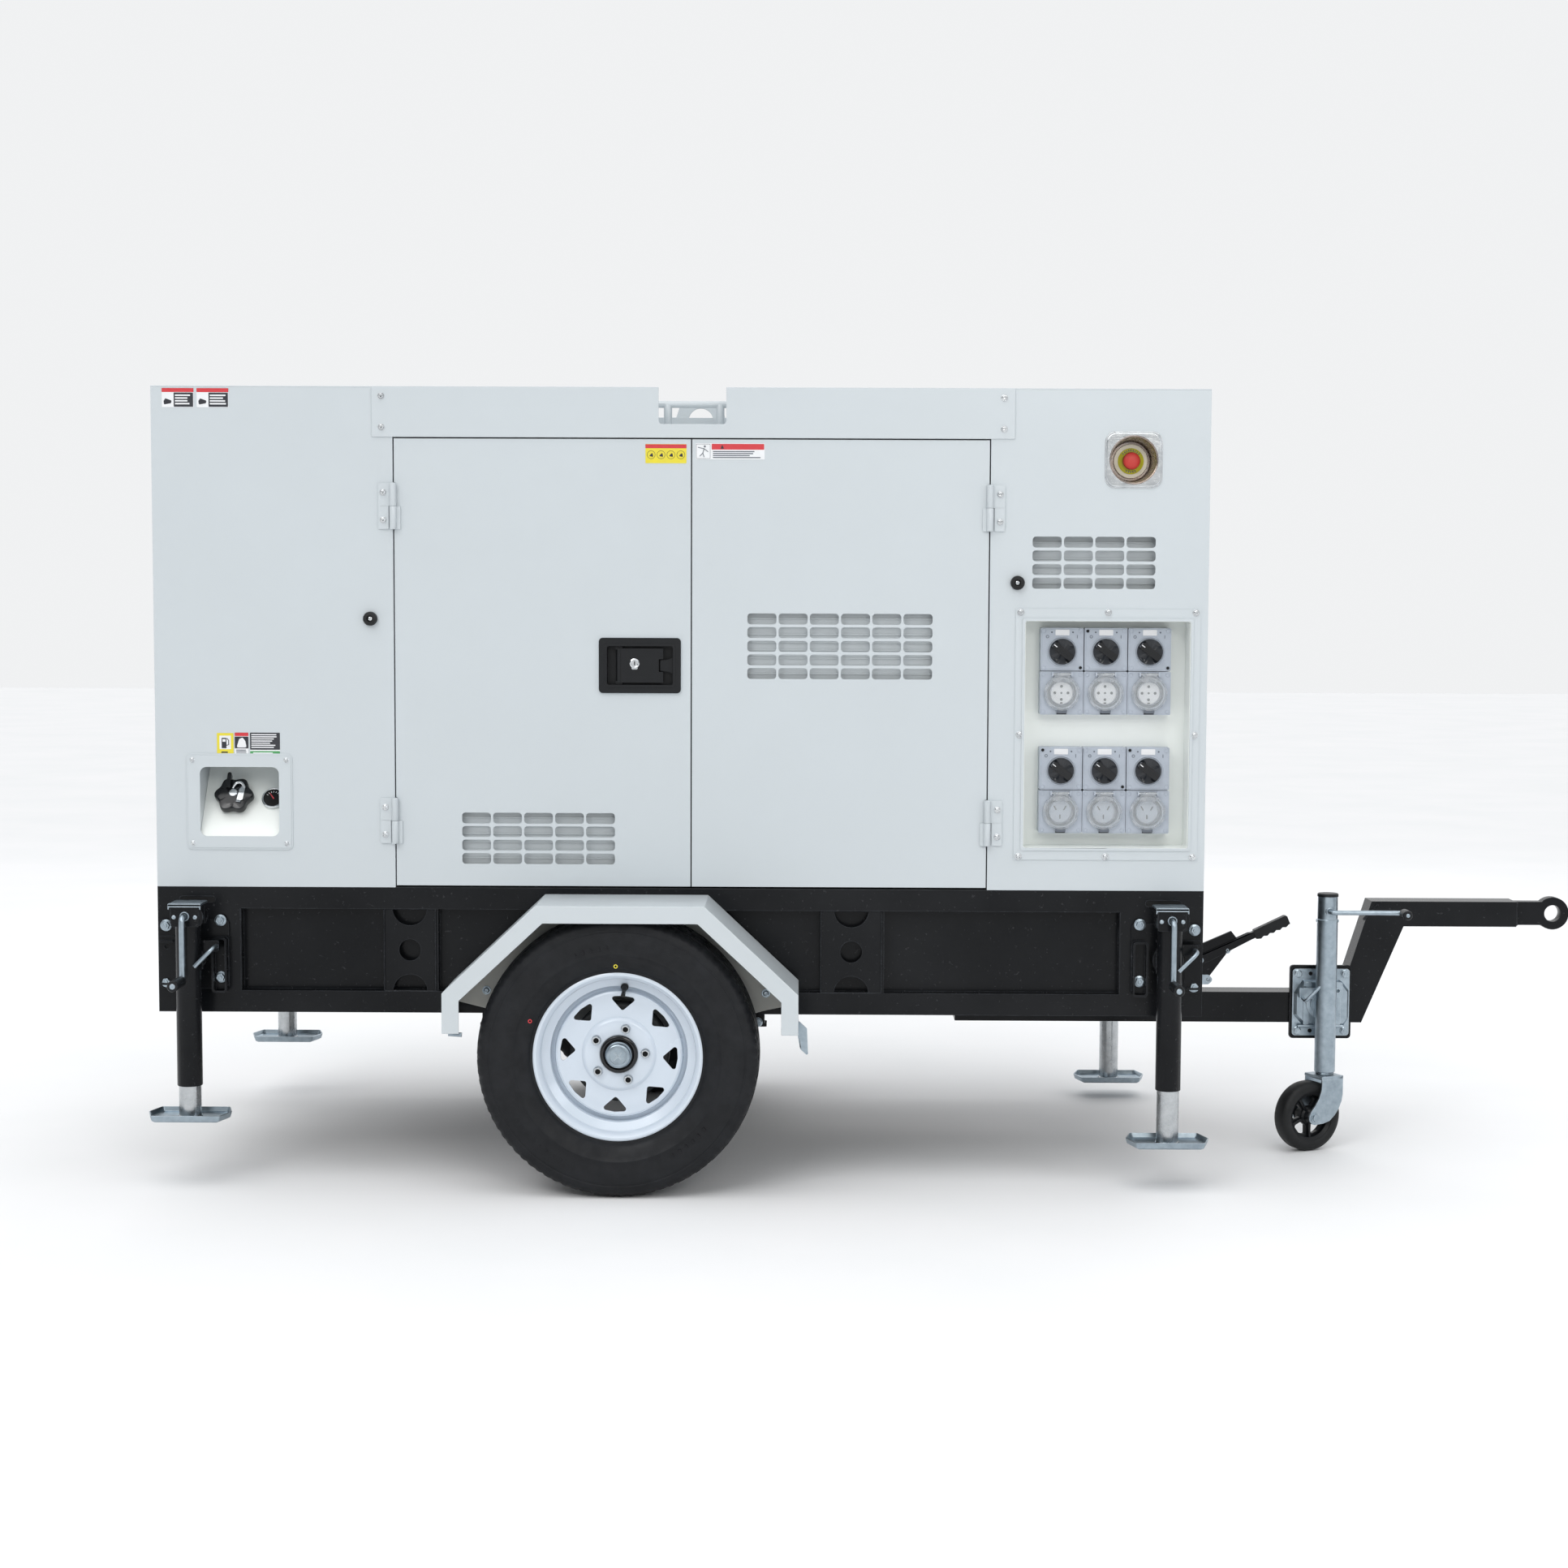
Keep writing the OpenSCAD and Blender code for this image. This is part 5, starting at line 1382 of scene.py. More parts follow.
    def fork(self, places: Frame, paint: Palette) -> None:
        """Builds the castor fork: crown, two curved cheeks, and the axle with its nuts."""
        foot = Vector((self.pivot.x, self.pivot.y, 0))
        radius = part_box("jockey_wheel")[1].z / MM / 2
        trail = (foot.to_2d() - places.joint("jockey_wheel_turn").to_2d()).length / MM
        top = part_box("jockey_leg")[0].z / MM - 0.6
        fork = Piece("jockey_fork_shell", foot).use(paint.zinc)
        fork.at(turn=self.castor)
        eye = [(-trail + 18 * math.cos(math.radians(t)), radius + 18 * math.sin(math.radians(t)))
               for t in range(-62, -200, -12)]
        cheek = [(30, top), (30, radius + 52), (27, radius + 36), (19, radius + 18), (7, radius + 2),
                 (-8, radius - 11), (-26, radius - 16)] + eye[1:] + [
                 (-62, radius + 16), (-50, radius + 30), (-40, radius + 46), (-33, radius + 66), (-31, top)]
        for y in (-35, 31):
            fork.slab(cheek, y, y + 4)
        fork.slab(span(-33, top - 8, 30, top, 2), -35, 35)
        fork.lathe([(0, top - 4), (12, top - 4), (12, top + 40), (0, top + 40)], UP, 32)
        for s in (-1, 1):
            axis = Vector((0, s, 0))
            fork.at(*(self.castor @ Vector((-trail, 0, radius))), self.castor)
            fork.lathe([(0, 34), (12.5, 35), (12.5, 36.8), (9, 37.2), (0, 37.2)], axis, 32)
            fork.slab(ring(10.4, 6, phase=12), 37 if s > 0 else -40.5, 40.5 if s > 0 else -37)
        fork.done("jockey_fork", 0.7, slot="zinc", replaces=["jockey_fork"])

    def wheel(self, places: Frame, paint: Palette) -> None:
        """Builds the solid tyre and the moulded five-spoke wheel."""
        centre = places.joint("jockey_wheel_turn")
        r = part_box("jockey_wheel")[1].z / MM / 2
        wheel = Piece("jockey_wheel_tyre", centre).use(paint.rubber)
        wheel.at(turn=self.castor)
        wheel.lathe([(60, 21), (64, 23.4), (72, 24), (78, 22.6), (82.5, 18.4), (r, 11), (r, -11), (82.5, -18.4),
                     (78, -22.6), (72, -24), (64, -23.4), (60, -21), (60, 21)], steps=96)
        wheel.done("jockey_wheel", slot="tyre", replaces=["jockey_wheel"])
        body = Piece("jockey_wheel_body", centre).use(paint.nylon)
        body.at(turn=self.castor)
        body.lathe([(52, 14), (60.6, 20), (60.6, -20), (52, -14), (51, 0), (52, 14)], steps=72)
        body.lathe([(6.1, 28), (14, 28), (17, 26), (17.5, 12), (22, 8), (22, -8), (17.5, -12), (17, -26),
                    (14, -28),
                    (6.1, -28), (6.1, 28)], steps=48)
        holes = []
        for i in range(5):
            middle = 90 + 72 * i
            corners = [(25, middle - 22), (25, middle + 22), (47, middle + 26), (48.6, middle), (47, middle - 26)]
            points = [(a * math.cos(math.radians(t)), a * math.sin(math.radians(t))) for a, t in corners]
            holes.append(rounded_outline(points, 5, 4)[::-1])
        body.slab(ring(53, 80), -5, 5, holes)
        for i in range(5):
            turn = math.radians(54 + 72 * i)
            spoke = Matrix.Rotation(-turn, 3, "Y")
            body.at(turn=self.castor @ spoke)
            body.slab(rounded_outline([(14, -3.2), (54, -2.2), (54, 2.2), (14, 3.2)], 0.8), -12.5, 12.5)
        body.done("jockey_wheel", 0.6, slot="tyre")

    def crank(self, places: Frame, paint: Palette) -> None:
        """Builds the winding handle with its round knob."""
        centre = places.joint("jockey_crank_turn")
        low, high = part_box("jockey_crank")
        reach = (high.x - centre.x) / MM - 12
        end = (centre.y - low.y) / MM
        arm = Piece("jockey_handle", centre).use(paint.zinc)
        arm.rod([(0, -8, 0), (0, -45, 0), (reach, -45, 0), (reach, -62, 0)], 5.8, 18, 11)
        arm.at(reach, 0, 0).lathe([(0, end - 6), (4.6, end - 6), (4.6, end - 0.6), (3.8, end), (0, end)],
                                  steps=20)
        arm.done("jockey_crank", slot="zinc", replaces=["jockey_crank"])
        knob = Piece("jockey_knob", centre).use(paint.nylon).at(reach, 0, 0)
        knob.lathe([(7, 53), (10.4, 53.4), (11.6, 56), (12, 70), (11.9, end - 6), (11.4, end - 3), (9.6, end - 1),
                    (5, end - 1.4), (4.8, end - 6)], steps=36)
        knob.done("jockey_crank", slot="black_plastic")


@dataclass
class Drawbar(SubAssembly):
    """Finish and welds of the drawbar, and the handbrake."""

    lever_angle: float = 25

    def build(self, places: Frame, paint: Palette) -> None:
        """Builds the welds and the lever."""
        places.dress("drawbar", paint.frame, 3.2)
        low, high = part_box("drawbar")
        eye = Vector((high.x - 0.040, 0, 0.569))
        beads = Piece("drawbar_welds", eye).use(paint.frame)
        for y in (-37.5, 37.5):
            beads.weld([(-94, y * 0.8, -29), (-94, y * 0.8, 29)], 3.6, int(y) + 60)
        beads.weld([(-473, -37.4, -15), (-436, -37.4, 26)], 4, 5)
        beads.done("trailer", slot="black_paint")
        self.lever(places, paint)

    def lever(self, places: Frame, paint: Palette) -> None:
        """Builds the handbrake lever with its moulded grip and its rod lug."""
        pivot = places.joint("handbrake_pull")
        tilt = spun(-self.lever_angle)
        arm = Piece("handbrake_arm", pivot).use(paint.frame).at(turn=tilt)
        side = rounded_outline([(-14, -10), (20, -12), (136, -6), (150, -6), (150, 8), (136, 12), (-14, 12)], 3)
        for y in (-9, 5):
            arm.slab(side, y, y + 4)
        arm.slab(rounded_outline([(-12, 8.6), (150, 7), (150, 10), (-12, 12)], 1), -9, 9)
        arm.done("handbrake_lever", 0.6, slot="black_paint", replaces=["handbrake_lever"])
        bumps = [(148, -9)]
        for i in range(5):
            bumps += [(160 + i * 17, -13.4), (168 + i * 17, -9.6)]
        grip = Piece("handbrake_grip", pivot).use(paint.nylon).at(turn=tilt)
        grip.slab(rounded_outline(bumps + [(240, -10), (241, 11), (236, 14), (151, 13)], 2.6, 4), -11, 11)
        grip.done("handbrake_lever", 1.6, slot="black_plastic", segments=3)
        bolts = Piece("handbrake_bolts", pivot).use(paint.zinc)
        bolts.at(turn=tilt).lathe([(0, 9), (8.5, 9), (8.5, 11), (5.5, 11), (5.2, 14), (0, 14.5)], steps=24)
        bolts.done("handbrake_lever", 0.3, slot="zinc")
        fixed = Piece("handbrake_fixings", pivot).use(paint.zinc)
        fixed.screw(67.5, 25.5, -4, 5, 3.5, 8.6)
        fixed.slab(rounded_outline([(-66, -62), (22, -60), (34, -48), (22, -36), (-66, -36)], 8), -9, -5,
                   [ring(5, 20, (21, -48))])
        fixed.screw(21, -48, -7, 4.8, 3, 0)
        fixed.done("trailer", 0.5, slot="zinc")
# Canopy


@dataclass
class Canopy(SubAssembly):
    """Sheet-steel canopy: skins, doors, hinges, screws, buffers, vent baffles and stickers."""

    screw_r: float = 7.5
    hinge_h: float = 104
    leaf_w: float = 34
    slot_pitch: Point2 = (71, 31)
    buffer_r: float = 16

    def build(self, places: Frame, paint: Palette) -> None:
        """Dresses the sheets and adds the small parts on both sides."""
        low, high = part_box("roof_panel")
        self.rear = Vector((low.x, 0, 0))
        self.length = (high.x - low.x) / MM
        self.top = high.z / MM
        self.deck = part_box("chassis_frame")[1].z / MM
        self.skin = -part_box("chassis_frame")[0].y / MM
        self.rear_l = (places.joint("door_rear_near_hinge").x - low.x) / MM
        self.front_x = (places.joint("door_front_near_hinge").x - low.x) / MM
        self.split = (self.rear_l + self.front_x) / 2
        for node in ("rear_canopy", "front_canopy", "roof_panel", "lifting_frame"):
            places.dress(node, paint.canopy, 1.2)
        for node in ("door_rear_near", "door_front_near", "door_rear_far", "door_front_far"):
            places.dress(node, paint.canopy, 1.6)
        for side in Side:
            self.hinges(side, paint)
            self.screws(side, paint)
            self.buffers(side, paint)
            self.seals(side, paint)
            self.baffles(side, paint)
        self.stickers(paint)
        self.tray_liner(paint)

    def piece(self, name: str, side: Side = Side.NEAR) -> Piece:
        """Starts a piece on the centre plane, with X counted from the rear face and Z from the ground."""
        return Piece(f"canopy_{name}_{side.value}", self.rear, side)

    def hinges(self, side: Side, paint: Palette) -> None:
        """Builds the fixed leaves, knuckles, pins and screws of four hinges."""
        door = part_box(f"door_rear_{side.value}")
        heights = (door[0].z / MM + 97, door[1].z / MM - 205)
        half = self.hinge_h / 2
        face = -self.skin
        leaf = self.piece("hinges", side).use(paint.canopy)
        for x, s in ((self.rear_l, -1), (self.front_x, 1)):
            for z in heights:
                plan = [(x + s * 3, z + half + 0.3), (x + s * self.leaf_w, z + half + 0.3),
                        (x + s * self.leaf_w, z + self.hinge_h), (x + s * 3, z + self.hinge_h)]
                lower = [(x + s * 10.5, z), (x + s * self.leaf_w, z), (x + s * self.leaf_w, z + half + 1),
                         (x + s * 10.5, z + half + 1)]
                leaf.at()
                for outline in (plan, lower):
                    outline = outline if s > 0 else outline[::-1]
                    leaf.slab(rounded_outline(outline, 3), face - 4, face)
                leaf.at(x, face - 8, 0)
                leaf.lathe([(0, z + half + 0.3), (7.1, z + half + 0.3), (7.5, z + half + 0.9),
                            (7.5, z + self.hinge_h - 0.8), (6.8, z + self.hinge_h), (3.4, z + self.hinge_h),
                            (3.2, z + self.hinge_h + 0.9), (0, z + self.hinge_h + 1.2)], UP, 28)
                leaf.lathe([(0, z - 0.8), (2.9, z - 0.6), (2.9, z + half), (0, z + half)], UP, 16)
        leaf.done("trailer", 0.5, slot="zinc", replaces=["hinges_and_screws"] if side is Side.NEAR else ())
        screws = self.piece("hinge_screws", side).use(paint.chrome)
        for x, s in ((self.rear_l, -1), (self.front_x, 1)):
            for z in heights:
                for share in (0.2, 0.8):
                    screws.screw(x + s * 23, z + share * self.hinge_h, face - 4, 5.6, 3.6, 7.4)
        screws.done("trailer", slot="zinc")

    def screws(self, side: Side, paint: Palette) -> None:
        """Builds the button screws of the header and, near side only, of the outlet tray and filler box."""
        heads = self.piece("screws", side).use(paint.chrome)
        face = -self.skin
        for x in (self.rear_l - 26, self.front_x + 30):
            for z in (self.top - 22, self.top - 92):
                heads.screw(x, z, face - 3, 5.4, 4, self.screw_r)
        if side is Side.NEAR:
            tray_x, tray_z = self.length - 227, self.deck + 357
            for i in (-1, 0, 1):
                for j in (-1, 0, 1):
                    if i or j:
                        heads.screw(tray_x + i * 199, tray_z + j * 278.5, face - 2, 5.6, 4.2, 8)
            filler_z = self.deck + 196
            for i in (-1, 1):
                for j in (-1, 1):
                    heads.screw(192 + i * 107.5, filler_z + j * 95.5, face - 2, 4.6, 3.8, 6)
        heads.done("trailer", slot="zinc")

    def buffers(self, side: Side, paint: Palette) -> None:
        """Builds the rubber buffers that stop the opened doors."""
        pads = self.piece("buffers", side)
        r = self.buffer_r
        for x, z in ((self.rear_l - 54, self.top - 525), (self.front_x + 64, self.top - 438)):
            pads.at(x, -self.skin, z).use(paint.rubber)
            pads.lathe([(0, 0), (r * 0.94, 0), (r, 2), (r, 9), (r * 0.9, 13), (r * 0.62, 14.5), (r * 0.46, 14.5),
                        (r * 0.42, 8), (0, 8)], steps=44)
            pads.use(paint.chrome).lathe([(0, 7), (5.6, 8), (5.4, 10.6), (3, 11.6), (2.8, 9.8), (0, 9.8)],
                                         steps=20)
        pads.done("trailer", slot="tyre")

    def seals(self, side: Side, paint: Palette) -> None:
        """Builds the foam-rubber seal that the closed doors press on."""
        seal = self.piece("door_seals", side).use(paint.rubber)
        y = -self.skin + 36
        x0, x1, z0, z1 = self.rear_l + 2, self.front_x - 2, self.deck + 1, self.top - 117
        for low, high in (((x0, y, z0), (x0 + 12, y + 14, z1)), ((x1 - 12, y, z0), (x1, y + 14, z1)),
                          ((x0, y, z1 - 14), (x1, y + 14, z1)), ((x0, y, z0), (x1, y + 14, z0 + 8)),
                          ((self.split - 16, y, z0), (self.split + 16, y + 14, z1))):
            seal.block(low, high)
        seal.done("trailer", 2.0, slot="tyre", segments=3)

    def baffles(self, side: Side, paint: Palette) -> None:
        """Builds the baffle panels, with folded edges, behind each block of ventilation slots; their grey is painted
        shade on white paint.
        """
        places = [("door_rear", self.rear_l + 327, self.deck + 114, 5, 4, 19),
                  ("door_front", self.split + 338, self.deck + 556, 6, 5, 19)]
        if side is Side.NEAR:
            places.append(("trailer", self.length - 261, self.deck + 748, 4, 4, 30))
        for body, x, z, columns, rows, depth in places:
            w, h = columns * self.slot_pitch[0] + 30, rows * self.slot_pitch[1] + 30
            y = -self.skin + depth
            # the panel's grey is painted shade behind the slots; its folded edges keep the canopy white
            panel = self.piece(f"{body}_baffle", side).use(paint.baffle)
            panel.slab(rectangle(w, h, 4, (x, z)), y, y + 1.5)
            for j in range(rows * 2):
                level = z - h / 2 + 12 + j * (h - 24) / (rows * 2 - 1)
                panel.slab(rectangle(w - 20, 3, 0, (x, level)), y - 3, y + 0.5)
            panel.use(paint.canopy)
            for i in (-1, 1):
                panel.block((x + i * w / 2 - 1, -self.skin + 3, z - h / 2), (x + i * w / 2 + 1, y + 1, z + h / 2))
            owner = body if body == "trailer" else f"{body}_{side.value}"
            panel.done(owner, 0.4, slot="white_paint")

    def stickers(self, paint: Palette) -> None:
        """Lays generic stickers: colour bands, plain signs and rows of short bars, with no words."""
        face = -self.skin - 0.6
        card = self.piece("stickers")

        def patch(material: Material, x0: float, x1: float, z0: float, z1: float, lift: float = 0,
                  radius: float = 1) -> None:
            """Adds one flat patch, raised above what is under it."""
            card.use(material).slab(rectangle(x1 - x0, z1 - z0, radius, ((x0 + x1) / 2, (z0 + z1) / 2)),
                                    face - lift, -self.skin)

        def bars(material: Material, x0: float, x1: float, z0: float, z1: float, rows: int,
                 seed: int) -> None:
            """Adds rows of thin bars that stand for small print."""
            draw = random.Random(seed)
            step = (z1 - z0) / rows
            for row in range(rows):
                z = z1 - (row + 0.5) * step
                patch(material, x0, x0 + (x1 - x0) * draw.uniform(0.7, 1.0), z - step * 0.26, z + step * 0.26,
                      0.3, 0.2)

        for x in (26, 105):
            patch(paint.vinyl_white, x, x + 72, 1766, 1809)
            patch(paint.vinyl_red, x, x + 72, 1800, 1809, 0.15)
            patch(paint.vinyl_black, x + 27, x + 71, 1767, 1799, 0.15)
            bars(paint.vinyl_white, x + 30, x + 67, 1771, 1796, 4, int(x))
            card.use(paint.vinyl_black).slab(rounded_outline([(x + 5, 1772), (x + 21, 1775), (x + 22, 1781),
                                                              (x + 8, 1786), (x + 4, 1780)], 2), face - 0.3, -self.skin)
        patch(paint.vinyl_yellow, 1121, 1214, 1644, 1687)
        patch(paint.vinyl_red, 1121, 1214, 1677.5, 1686.5, 0.15)
        for i in range(4):
            card.use(paint.vinyl_black)
            card.slab(ring(9.4, 28, (1134 + i * 22.4, 1663)), face - 0.3, -self.skin, [ring(8.6, 28,
                    (1134 + i * 22.4, 1663))])
            card.slab(rounded_outline([(1129 + i * 22.4, 1660), (1139 + i * 22.4, 1658),
                                       (1137 + i * 22.4, 1668)], 1.4),
                      face - 0.3, -self.skin)
        patch(paint.vinyl_white, 1235, 1391, 1653, 1689)
        patch(paint.vinyl_red, 1271, 1390, 1675, 1688, 0.15)
        bars(paint.print_grey, 1274, 1386, 1655, 1673, 4, 9)
        card.use(paint.vinyl_black).slab([(1291, 1677), (1299, 1677), (1295, 1686)], face - 0.4, -self.skin)
        card.use(paint.print_grey).slab(rectangle(32, 33, 1, (1252, 1671)), face - 0.3, -self.skin,
                                        [rectangle(30.6, 31.6, 1, (1252, 1671))])
        limbs = (((1240, 1680), (1254, 1677)), ((1254, 1677), (1263, 1670)), ((1254, 1677), (1251, 1667)),
                 ((1251, 1667), (1244, 1660)), ((1251, 1667), (1254, 1658)))
        for a, b in limbs:
            card.rod([(a[0], face, a[1]), (b[0], face, b[1])], 0.9, 6)
        card.slab(ring(2.4, 16, (1255.5, 1682)), face - 0.3, -self.skin)
        # a plain pump sign, a sign with a figure, and a table of small print
        patch(paint.vinyl_yellow, 141, 179, 978, 1028)
        patch(paint.vinyl_white, 147, 173, 991, 1022, 0.15)
        patch(paint.vinyl_black, 152, 163, 993, 1017, 0.3)
        patch(paint.vinyl_white, 154, 161, 1008, 1014, 0.4, 0.4)
        card.use(paint.vinyl_black).rod([(163, face, 1000), (168, face, 1001), (168, face, 1011),
                                         (164, face, 1016)], 1, 8)
        bars(paint.vinyl_black, 151, 170, 981, 987, 1, 4)
        patch(paint.vinyl_white, 182, 213, 977, 1029)
        patch(paint.vinyl_red, 182, 213, 1021, 1029, 0.15)
        patch(paint.vinyl_black, 182, 213, 993, 1020, 0.15)
        card.use(paint.vinyl_white).slab(rounded_outline([(186, 995), (209, 995), (206, 1010), (200, 1018),
                                                          (192, 1014)], 3),
                                         face - 0.3, -self.skin)
        bars(paint.print_grey, 185, 210, 979, 991, 3, 5)
        patch(paint.vinyl_white, 217, 285, 978, 1029)
        patch(paint.vinyl_black, 217, 285, 990, 1029, 0.15)
        patch(paint.vinyl_green, 217, 285, 978, 987, 0.15)
        bars(paint.vinyl_white, 220, 281, 993, 1027, 7, 6)
        bars(paint.vinyl_white, 224, 280, 980, 985, 1, 7)
        card.done("trailer", slot="white_paint")

    def tray_liner(self, paint: Palette) -> None:
        """Lines the outlet tray in a paler white whose extra brightness is painted light, and adds its raised flange
        line.
        """
        x, z = self.length - 227, self.deck + 357
        face = -self.skin
        tray = self.piece("outlet_tray").use(paint.canopy)
        tray.slab(rectangle(389, 530, 6, (x, z)), face - 4.4, face - 1.5, [rectangle(377, 518, 5, (x, z))])
        # the lining's paler white is painted light inside the recess
        tray.use(paint.cream)
        tray.slab(rectangle(376.5, 518.5, 5, (x, z)), face - 2.5, face + 73.5, [rectangle(374, 516, 4, (x, z))])
        tray.slab(rectangle(375, 517, 4, (x, z)), face + 73.6, face + 75.2)
        tray.done("trailer", 0.8, slot="white_paint")


@dataclass
class Latch(SubAssembly):
    """Flush paddle latch: pressed black cup on the door, paddle, and key lock."""

    side: Side
    flange: Point2 = (187, 126)
    cup: Point2 = (152, 90)
    paddle: Point2 = (106, 78)

    def build(self, places: Frame, paint: Palette) -> None:
        """Builds the cup, the paddle and the lock."""
        name = self.side.value
        pin = places.joint(f"latch_{name}_pull")
        sign = -1 if self.side is Side.NEAR else 1
        skin = abs(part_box("chassis_frame")[0].y)
        middle = Vector((pin.x + self.paddle[0] / 2 * MM - 0.005, sign * skin, pin.z))
        door = f"door_rear_{name}"
        cup = Piece(f"latch_cup_{name}", middle, self.side).use(paint.nylon)
        w, h = self.cup
        rim = rectangle(w - 2, h - 2, 5)
        cup.slab(rectangle(*self.flange, 9), -5.6, -4, [rim])
        cup.slab(rectangle(w + 10, h + 10, 7), -6.6, -5, [rectangle(w - 1, h - 1, 5)])
        cup.slab(rectangle(w - 0.2, h - 0.2, 5), -5, 19.6, [rectangle(w - 2.4, h - 2.4, 4)])
        cup.slab(rectangle(w - 1, h - 1, 5), 18.4, 19.8)
        # tongue of the cup that reaches into the paddle's notch
        cup.slab(rounded_outline([(46, -12), (66, -14), (75.6, -20), (75.6, 20), (66, 14), (46, 12)], 3), 2, 19)
        for z in (-39.5, 39.5):
            cup.slab(rectangle(16, 8, 2, (-48, z)), 2, 19)
        cup.done(door, 1.0, slot="black_paint", segments=3)
        pull = Piece(f"latch_paddle_{name}", middle, self.side).use(paint.nylon)
        x, z = self.paddle[0] / 2, self.paddle[1] / 2
        notch = [(x - 10, -14.5), (x - 10, 14.5)]
        plate = [(-x + 3, -z), (x, -z), (x, -14.5)] + notch + [(x, 14.5), (x, z), (-x + 3, z)]
        pull.slab(rounded_outline(plate, 1.6, 3), -2.6, 5)
        pull.slab(span(-x + 2, -z, -x + 8, z, 1.5), -4.4, 5)
        pull.at(-x + 5, 9, 0).lathe([(3.1, -z), (7, -z), (7, z), (3.1, z), (3.1, -z)], UP, 28)
        pull.done(f"latch_{name}", 0.9, slot="black_plastic", replaces=[f"latch_{name}"])
        lock = Piece(f"latch_lock_{name}", middle, self.side).use(paint.chrome).at(-12, 0, 5)
        lock.lathe([(0, 2), (12, 2), (12, 3.4), (11, 5.2), (9, 6), (7.4, 5.4), (7, 4.6), (0, 4.6)], steps=48)
        # a dark slot for the keyway: painted shade
        lock.use(paint.dark).slab(rectangle(2.4, 9, 1), -4.9, -4.2)
        lock.use(paint.chrome).slab(rounded_outline([(-6, -14), (6, -14), (8, -8), (-8, -8)], 2.4), -4.6, -2)
        lock.done(f"latch_{name}", 0.4, slot="black_plastic")


# Controls


@dataclass
class Outlets(SubAssembly):
    """Six rotary switches over six sockets, in two rows."""

    module: float = 100
    knob_r: float = 29.6
    columns: int = 3

    def build(self, places: Frame, paint: Palette) -> None:
        """Builds every module with its knob and flap."""
        for i in range(2 * self.columns):
            knob = places.joint(f"switch_{i + 1}_turn")
            flap = places.joint(f"flap_{i + 1}_lift")
            lower = i >= self.columns
            self.body(i, knob, flap, paint, lower)
            self.knob(i, knob, paint)
            self.flap(i, flap, paint)

    def body(self, i: int, knob: Vector, flap: Vector, paint: Palette, lower: bool) -> None:
        """Builds the switch housing and the socket housing of one outlet."""
        h = self.module
        switch = Piece(f"switch_{i + 1}_housing", knob).use(paint.outlet_grey)
        switch.slab(rectangle(98, 98, 3.4, (0, 5)), -2.2, 37)
        switch.slab(rectangle(92, 92, 3, (0, 5)), -3.2, 0, taper=0.985)
        switch.lathe([(0, -1), (36, -1), (36, 3.4), (34.6, 4.8), (32.6, 4.8), (31.6, 3.6), (0, 3.6)], steps=64)
        for x in (-42, 42):
            for z in (-37, 47):
                switch.at(x, 0, z).lathe([(5.2, 3), (5.2, 3.9), (4.4, 4.3), (4.1, 3.4), (0, 3.2)], steps=24)
        switch.at().use(paint.outlet_white).slab(rectangle(32, 13, 1.5, (0, 43.5)), -4.2, -2)
        # a dark disc in the hollow of one corner screw per switch: painted shade
        switch.use(paint.dark)
        for x, z in ((42, -37), (-42, 47)):
            if (i + (x > 0)) % 2:
                switch.slab(ring(3.6, 16, (x, z)), -3.7, -3)
        switch.use(paint.print_grey)
        for s in (-1, 1):
            switch.slab(ring(2, 14, (s * 24, 44)), -3.9, -3)
        switch.slab(ring(3.6, 18, (-34, 34)), -3.9, -3, [ring(2.4, 18, (-34, 34))])
        switch.slab(rectangle(1.2, 7.4, 0, (34, 34)), -3.9, -3)
        switch.done("trailer", 0.7, slot="grey_plastic", replaces=["outlet_modules"])
        at = Vector((flap.x, knob.y, flap.z - (h / 2 - 7) * MM))
        face = paint.outlet_grey if lower else paint.outlet_white
        socket = Piece(f"socket_{i + 1}_housing", at).use(paint.outlet_grey)
        socket.slab(rectangle(99, 99, 3.4), -2.2, 37, [ring(34, 48)])
        socket.slab(rectangle(93, 93, 3), -3.2, 0, [ring(36, 48)])
        socket.lathe([(37, 1), (37, 4.2), (36, 4.8), (34.8, 4.8), (34, 3.8), (34, -22), (0, -22), (0, -24),
                      (36, -24), (37, 1)], steps=64)
        for x in (-42, 42):
            for z in (-42, 42):
                socket.at(x, 0, z).lathe([(4.8, 2), (4.8, 3.9), (4, 4.3), (3.8, 3.4), (0, 3.2)], steps=24)
        socket.at()
        for s in (-1, 1):
            socket.slab(rectangle(4, 9, 1, (s * 22, h / 2 - 7)), -12, 1)
        socket.use(paint.chrome).rod([(-24, -8, h / 2 - 7), (24, -8, h / 2 - 7)], 1.9, 12)
        socket.use(face).lathe([(26, -23), (26, -5.4), (25, -4.4), (0, -4.4)], steps=56)
        # dark patches on the face for the pin holes: painted shade, the holes are not cut
        socket.use(paint.dark)
        if lower:
            for turn in (-60, 60):
                tilt = spun(turn)
                socket.at(math.copysign(11, -turn), 0, 8, tilt).slab(rectangle(11, 3, 1), 3.9, 4.6)
            socket.at().slab(rectangle(3, 10, 1, (0, -12)), 3.9, 4.6)
        else:
            for x, z, r in ((0, 15, 3.3), (-15, 0, 3.3), (15, 0, 3.3), (0, -15, 3.3), (0, 0, 2.5)):
                socket.slab(ring(r, 18, (x, z)), 3.9, 4.6)
            socket.slab(rectangle(6, 3.2, 0.8, (0, -23)), 3.9, 4.6)
        socket.slab(rectangle(23, 4, 1, (0, -46.5)), -3.6, 0)
        socket.done("trailer", 0.6, slot="grey_plastic")

    def knob(self, i: int, at: Vector, paint: Palette) -> None:
        """Builds a knob: disc with dished quadrants and a grip bar."""
        r = self.knob_r
        name = f"switch_knob_{i + 1}"
        knob = Piece(f"{name}_shell", at).use(paint.knob_grey)

